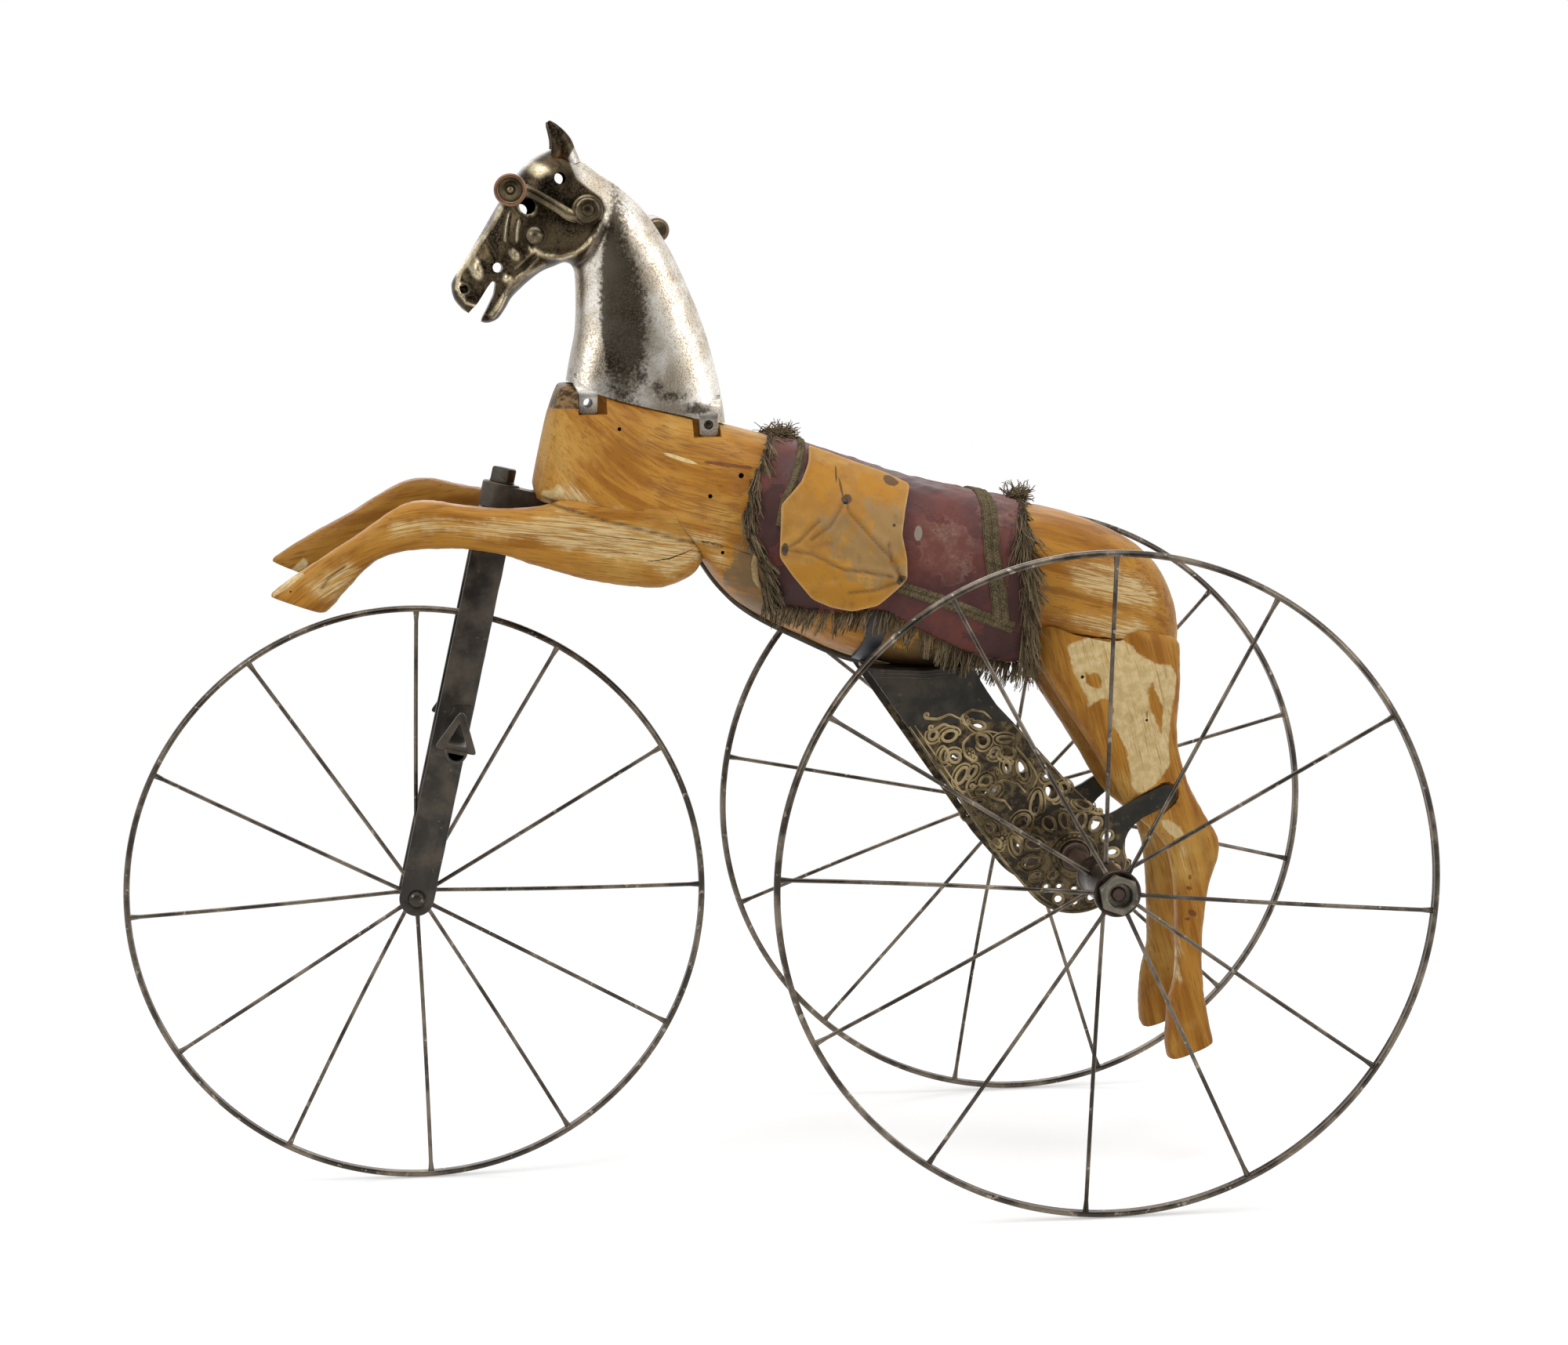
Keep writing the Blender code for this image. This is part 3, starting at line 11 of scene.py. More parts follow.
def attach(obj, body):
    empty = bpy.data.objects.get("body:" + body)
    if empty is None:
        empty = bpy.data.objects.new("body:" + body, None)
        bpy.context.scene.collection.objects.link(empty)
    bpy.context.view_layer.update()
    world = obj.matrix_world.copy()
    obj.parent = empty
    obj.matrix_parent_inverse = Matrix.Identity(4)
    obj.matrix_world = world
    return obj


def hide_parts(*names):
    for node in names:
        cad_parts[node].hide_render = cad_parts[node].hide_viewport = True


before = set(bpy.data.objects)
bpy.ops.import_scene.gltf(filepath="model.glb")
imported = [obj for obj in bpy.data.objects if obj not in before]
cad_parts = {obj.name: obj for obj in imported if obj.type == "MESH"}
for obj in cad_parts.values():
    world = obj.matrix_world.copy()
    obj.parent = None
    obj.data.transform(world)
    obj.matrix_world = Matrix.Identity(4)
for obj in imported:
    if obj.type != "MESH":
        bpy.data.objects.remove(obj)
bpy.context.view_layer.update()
mm = 0.001
rearAxle = np.array([-0.25715, 0.0, 0.265])   # the horse's tables are measured from here, in mm
bothSides = ((1, "Left"), (-1, "Right"))
print("frame loaded")


# ---- shapes from arrays

def splineRows(rows, count):
    # Catmull-Rom curve through the rows of a table, at even steps of the row number.
    rows = np.asarray(rows, float)
    rows = np.vstack([2 * rows[0] - rows[1], rows, 2 * rows[-1] - rows[-2]])
    steps = np.linspace(0, len(rows) - 3 - 1e-9, count)
    index = steps.astype(int)
    part = (steps - index)[:, None]
    a, b, c, d = (rows[index + k] for k in range(4))
    return 0.5 * (2 * b + (c - a) * part + (2 * a - 5 * b + 4 * c - d) * part ** 2
                  + (3 * b - a - 3 * c + d) * part ** 3)


def evenPath(points, count, closed=False):
    # Points at even distances along a line through the given ones.
    points = np.asarray(points, float)
    if closed:
        points = np.vstack([points, points[:1]])
    along = np.concatenate([[0], np.cumsum(np.linalg.norm(np.diff(points, axis=0), axis=1))])
    wanted = np.linspace(0, along[-1], count + closed)[:count]
    return np.stack([np.interp(wanted, along, column) for column in points.T], axis=1)


def roundedPath(points, count, closed=False, soften=2):
    # An even path whose corners are rounded by averaging neighbours.
    path = evenPath(points, count, closed)
    for _ in range(soften):
        if closed:
            path = (np.roll(path, 1, 0) + 2 * path + np.roll(path, -1, 0)) / 4
        else:
            path[1:-1] = (path[:-2] + 2 * path[1:-1] + path[2:]) / 4
    return path


def unit(vectors):
    return vectors / np.maximum(np.linalg.norm(vectors, axis=-1, keepdims=True), 1e-12)


def fullTurn(count):
    return np.linspace(0, math.tau, count, endpoint=False)


def circle(turn, radius, x=0.0, z=0.0):
    # Places in side view at the given angles.
    return np.column_stack([x + radius * np.cos(turn), z + radius * np.sin(turn)])


def gridFaces(rows, columns, wrapRows, wrapColumns):
    i, j = np.meshgrid(np.arange(rows if wrapRows else rows - 1),
                       np.arange(columns if wrapColumns else columns - 1), indexing="ij")
    i2, j2 = (i + 1) % rows, (j + 1) % columns
    return np.stack([i * columns + j, i * columns + j2, i2 * columns + j2, i2 * columns + j],
                    axis=-1).reshape(-1, 4)


def linked(name, mesh):
    piece = bpy.data.objects.new(name, mesh)
    bpy.context.scene.collection.objects.link(piece)
    return piece


def faceOutward(mesh, mend=False):
    bm = bmesh.new()
    bm.from_mesh(mesh)
    if mend:
        bmesh.ops.dissolve_degenerate(bm, edges=bm.edges, dist=1e-6)
    bmesh.ops.recalc_face_normals(bm, faces=bm.faces)
    bm.to_mesh(mesh)
    bm.free()


def meshObject(name, points, faces, smooth=True, outward=True):
    mesh = bpy.data.meshes.new(name)
    mesh.from_pydata(np.asarray(points, float).reshape(-1, 3).tolist(), [],
                     [list(map(int, face)) for face in faces])
    if outward:
        faceOutward(mesh)
    if smooth:
        mesh.shade_smooth()
    return linked(name, mesh)


def closedLoft(name, rings):
    # Rings of equal counts joined into one closed skin, each end closed by a fan to its middle.
    rings = np.asarray(rings, float)
    count, sides = rings.shape[:2]
    points = np.vstack([rings.reshape(-1, 3), rings[0].mean(0), rings[-1].mean(0)])
    side = np.arange(sides)
    after, base = (side + 1) % sides, (count - 1) * sides
    fans = [np.stack([np.full(sides, count * sides), after, side], 1),
            np.stack([np.full(sides, count * sides + 1), base + side, base + after], 1)]
    return meshObject(name, points, gridFaces(count, sides, False, True).tolist() + np.vstack(fans).tolist())


def tubePoints(path, radius, sides, up=(0, 1, 0), flat=1.0, closed=False):
    # A circle, flattened along its upward direction by the given share, carried along a path.
    run = np.roll(path, -1, 0) - np.roll(path, 1, 0) if closed else np.gradient(path, axis=0)
    forward = unit(run)
    side = unit(np.cross(np.broadcast_to(np.asarray(up, float), path.shape), forward))
    rise = np.cross(forward, side)
    turn = fullTurn(sides)
    radius = np.broadcast_to(radius, (len(path),))[:, None, None]
    return path[:, None] + radius * (np.cos(turn)[None, :, None] * side[:, None]
                                     + flat * np.sin(turn)[None, :, None] * rise[:, None])


def addTube(name, path, radius, sides=10, up=(0, 1, 0), flat=1.0, closed=False):
    rings = tubePoints(path, radius, sides, up, flat, closed)
    return meshObject(name, rings, gridFaces(len(path), sides, True, True)) if closed else closedLoft(name, rings)


def lathe(name, profile, steps, centre, side=1, closed=False):
    # A profile of radius and distance to one side, in mm, spun round a line across the machine.
    profile = np.asarray(profile, float) * (1, side) * mm
    turn = fullTurn(steps)
    points = np.stack([profile[:, :1] * np.cos(turn), np.repeat(profile[:, 1:], steps, 1),
                       profile[:, :1] * np.sin(turn)], axis=-1) + np.asarray(centre, float)
    if closed:
        return meshObject(name, points, gridFaces(len(profile), steps, True, True))
    return closedLoft(name, points)


def joined(name, pieces):
    # Several meshes as one piece, their points kept as they are.
    bm = bmesh.new()
    for piece in pieces:
        old = piece.data
        bm.from_mesh(old)
        bpy.data.objects.remove(piece)
        bpy.data.meshes.remove(old)
    mesh = bpy.data.meshes.new(name)
    bm.to_mesh(mesh)
    bm.free()
    mesh.shade_smooth()
    return linked(name, mesh)


def settle(piece):
    # Puts the result of the piece's modifiers into its own mesh.
    graph = bpy.context.evaluated_depsgraph_get()
    mesh = bpy.data.meshes.new_from_object(piece.evaluated_get(graph))
    piece.modifiers.clear()
    piece.data = mesh


def carve(piece, cutter, operation="DIFFERENCE"):
    # An exact solid cut with a closed mesh, or with several as one, removed afterwards.
    if isinstance(cutter, list):
        cutter = joined("cutters", cutter)
    modifier = piece.modifiers.new("carve", "BOOLEAN")
    modifier.operation = operation
    modifier.solver = "EXACT"
    modifier.object = cutter
    settle(piece)
    bpy.data.objects.remove(cutter)


def prism(name, outline, lowY, highY, fromAxle=True):
    # A closed outline in side view, in mm from the rear axle, with depth across the machine.
    outline = np.asarray(outline, float)
    count = len(outline)
    rings = [np.insert(outline, 1, y, axis=1) for y in sorted((lowY, highY))]
    faces = [[k, (k + 1) % count, count + (k + 1) % count, count + k] for k in range(count)]
    faces += [list(range(count)), list(range(2 * count - 1, count - 1, -1))]
    return meshObject(name, np.vstack(rings) * mm + (rearAxle if fromAxle else 0), faces, smooth=False)


def drill(x, z, radius, lowY, highY, sides=28):
    # A round cutter across the machine, at a place from the rear axle.
    outline = circle(fullTurn(sides), radius, x, z)
    ends = [np.insert(outline, 1, y, axis=1) for y in sorted((lowY, highY))]
    return closedLoft("cutter", np.array(ends) * mm + rearAxle)


def bevelled(piece, width, segments=2, angle=30):
    bevel = piece.modifiers.new("edges", "BEVEL")
    bevel.width = width * mm
    bevel.segments = segments
    bevel.angle_limit = math.radians(angle)
    settle(piece)


def finished(piece, look, body, node=None, angle=35, smooth=True):
    # Gives a piece its material, its shading and its body, and hides the CAD node it replaces.
    piece.data.materials.clear()
    piece.data.materials.append(bpy.data.materials[look])
    if smooth:
        piece.data.shade_smooth()
    piece.data.set_sharp_from_angle(angle=math.radians(angle))
    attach(piece, body)
    if node:
        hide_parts(node)
    return piece


def distanceToLine(x, z, line):
    # Shortest distance in side view from each point to a line of straight pieces.
    line = np.asarray(line, float)
    best = np.full(x.shape, 1e9)
    for (x1, z1), run in zip(line[:-1], np.diff(line, axis=0)):
        share = np.clip(((x - x1) * run[0] + (z - z1) * run[1]) / (run @ run), 0, 1)
        best = np.minimum(best, np.hypot(x - x1 - share * run[0], z - z1 - share * run[1]))
    return best


def insideBy(x, z, outline):
    # How far in mm each place in side view lies inside a closed outline, negative outside it.
    outline = np.asarray(outline, float)
    inside = np.zeros(x.shape, bool)
    for (x1, z1), (x2, z2) in zip(outline, np.roll(outline, -1, 0)):
        if z1 != z2:
            inside ^= ((z1 > z) != (z2 > z)) & (x < (x2 - x1) * (z - z1) / (z2 - z1) + x1)
    away = distanceToLine(x, z, np.vstack([outline, outline[:1]]))
    return np.where(inside, away, -away)


def markShare(x, z, outlines, holes=(), soft=16.0):
    # 0.5 on the edge of a mark made of several outlines, more inside it, less outside it.
    depth = np.max([insideBy(x, z, outline) for outline in outlines], axis=0)
    for hole in holes:
        depth = np.minimum(depth, -insideBy(x, z, hole))
    return 0.5 + depth / soft


def lineShare(x, z, lines, width):
    # 1 on any of the lines, falling off as exp(-(distance / width) ** 2).
    return np.max([np.exp(-(distanceToLine(x, z, line) / width) ** 2) for line in lines], axis=0)


def writeLayer(piece, key, values):
    layer = piece.data.attributes.get(key) or piece.data.attributes.new(key, "FLOAT", "POINT")
    layer.data.foreach_set("value", np.clip(values, 0, 1).astype(np.float32))


def pointsOf(piece):
    points = np.empty(len(piece.data.vertices) * 3)
    piece.data.vertices.foreach_get("co", points)
    return points.reshape(-1, 3)


def paintVertices(piece, **fields):
    # Writes one value per vertex for each named field, worked out from its place in mm from the axle.
    local = (pointsOf(piece) - rearAxle) / mm
    for key, rule in fields.items():
        writeLayer(piece, key, rule(*local.T))


def smoothStep(value, low, high):
    share = np.clip((value - low) / (high - low), 0, 1)
    return share * share * (3 - 2 * share)


def metres(point):
    return np.asarray(point, float) * mm


# ---- camera, light and floor

view = {"lens": 86.4, "location": (0.298828, 3.095175, 0.776285),
        "right": (-0.994048284, 0.107266746, -0.019022464),
        "down": (0.031159355, 0.112633058, -0.993147969),
        "forward": (-0.104389193, -0.987829762, -0.115305061)}
camera = linked("camera", bpy.data.cameras.new("camera"))
camera.data.lens = view["lens"]
camera.data.sensor_width = 36
camera.data.clip_end = 50
axes = Matrix((view["right"], [-v for v in view["down"]], [-v for v in view["forward"]])).transposed()
camera.matrix_world = Matrix.Translation(view["location"]) @ axes.to_4x4()
bpy.context.scene.camera = camera
bpy.context.scene.view_settings.view_transform = "Standard"

studio = {"worldLight": 0.50, "floorShade": 0.80, "floorGlow": 0.36, "floorReach": (0.9, 1.5),
          "floorEdge": 9.0, "darkRoom": 0.035,
          # soft boxes in reflections: axis, where each begins and is full, strength
          "boxes": [(0, -0.16, -0.62, 1.15), (0, 0.42, 0.85, 0.9), (2, 0.30, 0.80, 0.9), (1, 0.05, -0.5, 1.0)],
          # lamps: name, place, what it points at, size, power
          "lamps": [("softLeft", (2.0, 1.7, 1.9), (0, 0, 0.4), (1.2, 1.6), 22),
                    ("softRight", (-2.2, 1.6, 1.5), (0, 0, 0.4), (1.0, 1.8), 17),
                    ("softTop", (0.1, 0.3, 2.6), (0, 0, 0.3), (2.2, 1.4), 26),
                    ("softBack", (0.2, -2.4, 1.9), (0, 0, 0.4), (2.4, 1.2), 20)]}
white = (1, 1, 1)


class Net:
    # Short ways to add nodes to a tree. Values are numbers, colours, vectors or other nodes' outputs.
    def __init__(self, tree):
        self.tree = tree

    def feed(self, socket, value):
        if isinstance(value, bpy.types.NodeSocket):
            self.tree.links.new(value, socket)
        else:
            socket.default_value = (*value, 1) if socket.type == "RGBA" else value

    def add(self, kind, inputs=None, output=0, **settings):
        node = self.tree.nodes.new("ShaderNode" + kind)
        for key, value in settings.items():
            setattr(node, key, value)
        for key, value in (inputs or {}).items():
            self.feed(node.inputs[key], value)
        return node.outputs if output is None else node.outputs[output]

    def end(self, kind, surface):
        self.feed(self.tree.nodes.new("ShaderNodeOutput" + kind).inputs[0], surface)

    def math(self, operation, first, second):
        return self.add("Math", {0: first, 1: second}, operation=operation)

    def plus(self, first, second):
        return self.math("ADD", first, second)

    def less(self, first, second):
        return self.math("SUBTRACT", first, second)

    def times(self, first, second):
        return self.math("MULTIPLY", first, second)

    def most(self, first, second):
        return self.math("MAXIMUM", first, second)

    def ramp(self, value, low, high, start=0.0, end=1.0):
        return self.add("MapRange", {"Value": value, "From Min": low, "From Max": high,
                        "To Min": start, "To Max": end}, interpolation_type="SMOOTHSTEP")

    def noise(self, where, scale, detail=4, roughness=0.55, distortion=0.0):
        return self.add("TexNoise", {"Vector": where, "Scale": scale, "Detail": detail,
                        "Roughness": roughness, "Distortion": distortion})

    def vector(self, operation, first, second=None, output=0):
        return self.add("VectorMath", {0: first} if second is None else {0: first, 1: second}, output,
                        operation=operation)

    def value(self, name):
        return self.add("Attribute", output="Fac", attribute_name=name)

    def drift(self, noise, amount):
        return self.times(self.less(noise, 0.5), amount)

    def frayed(self, name, noise, amount, low, high):
        # A painted value whose edge is broken up by noise.
        return self.ramp(self.plus(self.value(name), self.drift(noise, amount)), low, high)

    def shaders(self, factor, first, second):
        return self.add("MixShader", {0: factor, 1: first, 2: second})

    def layers(self, colour, *rows, blend="MIX"):
        # Lays colours over the first one, each row a mask and a colour.
        for mask, over in rows:
            colour = self.add("Mix", {0: mask, 6: colour, 7: over}, 2, data_type="RGBA", blend_type=blend)
        return colour

    def group(self, tree, **inputs):
        node = self.tree.nodes.new("ShaderNodeGroup")
        node.node_tree = tree
        for key, value in inputs.items():
            self.feed(node.inputs[key], value)
        return node.outputs[0]


def addWorld():
    # White behind the object for the camera, a plain grey light otherwise. Metal reflects a dark
    # room on the photographer's side, with white soft boxes ahead of the horse, at its tail and above.
    world = bpy.data.worlds.new("studio")
    bpy.context.scene.world = world
    world.use_nodes = True
    world.node_tree.nodes.clear()
    net = Net(world.node_tree)
    split = net.add("SeparateXYZ", {0: net.add("TexCoord", output="Generated")}, None)
    shade = studio["darkRoom"]
    for axis, low, high, strength in studio["boxes"]:
        shade = net.most(shade, net.ramp(split[axis], low, high, 0.0, strength))
    path = net.add("LightPath", output=None)
    plain, mirror, backdrop = (net.add("Background", {"Color": white, "Strength": strength})
                               for strength in (studio["worldLight"], shade, 1.0))
    lit = net.shaders(path["Is Glossy Ray"], plain, mirror)
    seen = net.most(path["Is Camera Ray"], path["Is Transmission Ray"])
    net.end("World", net.shaders(seen, lit, backdrop))


def addLamp(name, location, target, size, power):
    lamp = linked(name, bpy.data.lights.new(name, "AREA"))
    lamp.data.shape = "RECTANGLE"
    lamp.data.size, lamp.data.size_y = size
    lamp.data.energy = power
    lamp.location = location
    lamp.rotation_euler = (Vector(target) - Vector(location)).to_track_quat("-Z", "Y").to_euler()


def addFloor():
    # A pale floor with soft shadows, which the camera sees as white away from the machine.
    material = bpy.data.materials.new("paleFloor")
    material.use_nodes = True
    material.node_tree.nodes.clear()
    net = Net(material.node_tree)
    path = net.add("LightPath", output=None)
    diffuse = net.add("BsdfDiffuse", {"Color": (studio["floorShade"],) * 3})
    glow, backdrop = (net.add("Emission", {"Color": white, "Strength": strength})
                      for strength in (studio["floorGlow"], 1.0))
    near = net.add("AddShader", {0: diffuse, 1: glow})
    away = net.vector("LENGTH", net.add("TexCoord", output="Object"), output="Value")
    shown = net.shaders(net.ramp(away, *studio["floorReach"]), near, backdrop)
    seen = net.most(path["Is Camera Ray"], path["Is Glossy Ray"])
    net.end("Material", net.shaders(seen, diffuse, shown))
    edge = studio["floorEdge"]
    floor = meshObject("floor", [(-edge, -edge, 0), (edge, -edge, 0), (edge, edge, 0), (-edge, edge, 0)],
                       [(0, 1, 2, 3)], smooth=False, outward=False)
    floor.data.materials.append(material)


addWorld()
for row in studio["lamps"]:
    addLamp(*row)
addFloor()
print("camera, light and floor")


# ---- effects shared by the materials

def newGroup(name, inputs):
    # A node group that gives one mask. Each input has a name, a kind of socket and a value.
    tree = bpy.data.node_groups.new(name, "ShaderNodeTree")
    for key, kind, value in inputs:
        socket = tree.interface.new_socket(key, in_out="INPUT", socket_type="NodeSocket" + kind)
        if value is not None:
            socket.default_value = value
    tree.interface.new_socket("Mask", in_out="OUTPUT", socket_type="NodeSocketFloat")
    return Net(tree), tree.nodes.new("NodeGroupInput").outputs, tree.nodes.new("NodeGroupOutput").inputs


def speckleGroup():
    # Small spots: the share of the surface that they cover, and their size.
    net, start, end = newGroup("speckles", [("Vector", "Vector", None), ("Scale", "Float", 300.0),
                                            ("Cover", "Float", 0.3)])
    noise = net.noise(start["Vector"], start["Scale"], 3.0, 0.5)
    limit = net.less(0.78, net.times(start["Cover"], 0.5))
    net.feed(end["Mask"], net.ramp(net.less(noise, limit), 0.0, 0.06))
    return net.tree


def patchGroup():
    # One ragged oval patch: its middle, its half sizes, its turn and how ragged its edge is.
    net, start, end = newGroup("patch", [
        ("Vector", "Vector", None), ("Middle", "Vector", (0, 0, 0)), ("Size", "Vector", (1, 1, 1)),
        ("Turn", "Float", 0.0), ("Ragged", "Float", 0.4)])
    offset = net.vector("SUBTRACT", start["Vector"], start["Middle"])
    turned = net.add("VectorRotate", {"Vector": offset, "Angle": start["Turn"], "Axis": (0, 1, 0)},
                     rotation_type="AXIS_ANGLE")
    reach = net.vector("LENGTH", net.vector("DIVIDE", turned, start["Size"]), output="Value")
    push = net.drift(net.noise(start["Vector"], 70.0, 5, 0.65), start["Ragged"])
    net.feed(end["Mask"], net.ramp(net.plus(reach, net.times(push, 3.0)), 0.92, 1.06, 1.0, 0.0))
    return net.tree


speckles, patch = speckleGroup(), patchGroup()


def newMaterial(name, **sockets):
    material = bpy.data.materials.new(name)
    material.use_nodes = True
    net = Net(material.node_tree)
    shader = net.tree.nodes["Principled BSDF"].inputs
    for key, value in sockets.items():
        shader[key.replace("_", " ")].default_value = value
    return net, shader, net.add("TexCoord", output="Object")


def finishLook(net, shader, colour, height, strength, distance, **sockets):
    # Joins a material's colour, its bumps (height, strength, distance in mm) and its other masks.
    net.feed(shader["Base Color"], colour)
    for key, value in sockets.items():
        net.feed(shader[key.replace("_", " ")], value)
    net.feed(shader["Normal"], net.add("Bump", {"Height": height, "Strength": strength,
                                                "Distance": distance * mm}))


def patches(net, where, rows, ragged):
    # Patches given as (x, y, z, half length, half height, turn in degrees), in mm from the axle.
    masks = [net.group(patch, Vector=where, Middle=tuple(np.array([x, y, z]) * mm + rearAxle),
                       Turn=math.radians(turn), Size=(long * mm, 0.055, high * mm), Ragged=ragged)
             for x, y, z, long, high, turn in rows]
    total = masks[0]
    for mask in masks[1:]:
        total = net.most(total, mask)
    return total


woodLook = {"honey": (0.43, 0.198, 0.028), "amber": (0.29, 0.110, 0.012), "pale": (0.56, 0.34, 0.088),
            "cream": (0.68, 0.52, 0.27), "dirt": (0.07, 0.042, 0.022), "grey": (0.17, 0.115, 0.060),
            "dark": (0.16, 0.062, 0.014), "brown": (0.22, 0.095, 0.025), "putty": (0.54, 0.39, 0.17),
            "stain": (0.11, 0.035, 0.016), "bark": (0.05, 0.028, 0.012), "broken": (0.26, 0.155, 0.065)}


def woodMaterial(name, lean, bend=None, shadeFactor=1.0, greyAndShade=(), filler=(), browner=(), stains=()):
    # Old varnished wood. The grain leans, and bends where bend gives a start and a strength. Painted
    # values say where the varnish is worn through, where it is filled or rough, and where there is dirt and painted
    # shade.
    net, shader, where = newMaterial(name, Specular_IOR_Level=0.12, Coat_Roughness=0.4)
    look, start = woodLook, where
    if bend:
        split = net.add("SeparateXYZ", {0: where}, None)
        over = net.most(net.less(split["X"], bend[0]), 0.0)
        drop = net.times(net.times(over, over), bend[1])
        start = net.add("CombineXYZ", {"X": split["X"], "Y": split["Y"], "Z": net.less(split["Z"], drop)})
    run = net.add("Mapping", {"Vector": start, "Rotation": (0, math.radians(lean), 0)})
    fine, broad, streak = (net.add("Mapping", {"Vector": run, "Scale": scale})
                           for scale in ((7, 70, 150), (2.2, 16, 22), (7, 60, 290)))
    grain, band = net.noise(fine, 5.0, 6, 0.6, 0.4), net.noise(broad, 4.0, 4, 0.5, 0.6)
    scuff, cloud = net.noise(streak, 3.0, 7, 0.7), net.noise(where, 14.0)
    blotch, crumb = net.noise(where, 34.0, 5, 0.6), net.noise(where, 150.0, 4, 0.65)
    colour = net.layers(look["amber"], (net.ramp(band, 0.36, 0.60), look["honey"]),
                        (net.ramp(cloud, 0.48, 0.72, 0.0, 0.7), look["pale"]),
                        (net.ramp(grain, 0.50, 0.68, 0.0, 0.65), look["dark"]),
                        (net.ramp(scuff, 0.60, 0.72, 0.0, 0.35), look["pale"]))
    # the brown patches are the wood's own colour; the grey ones are greyer wood and painted shade at the waist and
    # under the belly
    for rows, ragged, share, shade in ((browner, 1.1, (grain, 0.42, 0.60, 0.05, 0.6), "brown"),
                                       (greyAndShade, 0.9, (blotch, 0.35, 0.55, 0.45, 0.9), "grey")):
        if rows:
            mask = net.times(patches(net, where, rows, ragged), net.ramp(*share))
            colour = net.layers(colour, (mask, look[shade]))
    wear = net.frayed("wear", blotch, 1.3, 0.35, 0.85)
    lines = net.ramp(net.plus(scuff, net.times(wear, 0.10)), 0.53, 0.65)
    worn = net.times(net.times(wear, lines), 0.85)
    filled = net.times(net.frayed("filler", blotch, 1.0, 0.44, 0.56), net.ramp(scuff, 0.54, 0.64, 1.0, 0.35))
    if filler:
        filled = net.most(filled, patches(net, where, filler, 0.3))
    paste = net.layers(look["putty"], (net.ramp(crumb, 0.35, 0.65), look["cream"]))
    colour = net.layers(colour, (net.times(wear, 0.25), look["pale"]), (worn, look["cream"]), (filled, paste))
    height = net.plus(net.less(net.times(grain, 0.5), net.times(worn, 0.45)), net.times(filled, 0.5))
    if stains:
        colour = net.layers(colour, (net.times(patches(net, where, stains, 0.5), 0.75), look["stain"]))
    rough = net.value("rough")
    mottled = net.layers(look["bark"], (net.ramp(crumb, 0.38, 0.62), look["broken"]))
    height = net.plus(height, net.times(net.times(rough, crumb), 2.0))
    spots = net.group(speckles, Vector=where, Scale=260.0, Cover=0.10)
    # the painted lines darken the joints with dirt and painted shade; the specks are dirt
    soilAndShade = net.most(net.times(net.value("dirt"), 0.85), net.times(spots, 0.6))
    colour = net.layers(colour, (net.ramp(rough, 0.45, 0.55), mottled), (soilAndShade, look["dirt"]))
    # a darker copy of the wood for a far leg, as painted shade
    if shadeFactor != 1.0:
        colour = net.layers(colour, (1.0, (shadeFactor,) * 3), blend="MULTIPLY")
    finishLook(net, shader, colour, height, 0.55, 0.6, Roughness=net.ramp(cloud, 0.3, 0.7, 0.36, 0.58),
               Coat_Weight=net.ramp(blotch, 0.35, 0.6, 0.07, 0.01))


# darker colour, worn places, specks; then metallic, roughness, cover and scale of the specks, and
# where one follows, a second look: the painted value that brings it in, and its two colours
irons = {
    "darkIron": ((0.028, 0.024, 0.019), (0.085, 0.068, 0.050), (0.13, 0.10, 0.075), 0.55, 0.40, 0.22, 160),
    "brownIron": ((0.055, 0.032, 0.022), (0.115, 0.075, 0.054), (0.05, 0.03, 0.02), 0.45, 0.5, 0.35, 160),
    "wheelIron": ((0.050, 0.041, 0.032), (0.20, 0.165, 0.125), (0.46, 0.40, 0.31), 0.85, 0.30, 0.30, 160,
                  ("hub", (0.030, 0.020, 0.015), (0.062, 0.045, 0.034))),
    "scrollBrass": ((0.085, 0.060, 0.027), (0.40, 0.305, 0.16), (0.02, 0.014, 0.007), 0.9, 0.30, 0.28, 160),
    "wornNut": ((0.045, 0.039, 0.030), (0.19, 0.17, 0.13), (0.30, 0.27, 0.22), 0.8, 0.45, 0.35, 240),
    "turnedWood": ((0.13, 0.045, 0.022), (0.25, 0.10, 0.055), (0.05, 0.02, 0.012), 0.0, 0.32, 0.3, 260),
    "copperRing": ((0.10, 0.040, 0.020), (0.25, 0.135, 0.075), (0.05, 0.020, 0.010), 0.75, 0.26, 0.3, 240),
    "bronzeBar": ((0.060, 0.046, 0.026), (0.25, 0.20, 0.12), (0.030, 0.022, 0.012), 0.95, 0.26, 0.32, 300),
    "plateIron": ((0.014, 0.013, 0.010), (0.046, 0.037, 0.026), (0.10, 0.075, 0.045), 0.5, 0.36, 0.3, 160,
                  ("brass", (0.020, 0.014, 0.007), (0.13, 0.092, 0.040))),
    "strapHide": ((0.012, 0.013, 0.018), (0.035, 0.036, 0.045), (0.08, 0.07, 0.06), 0.0, 0.5, 0.2, 160)}


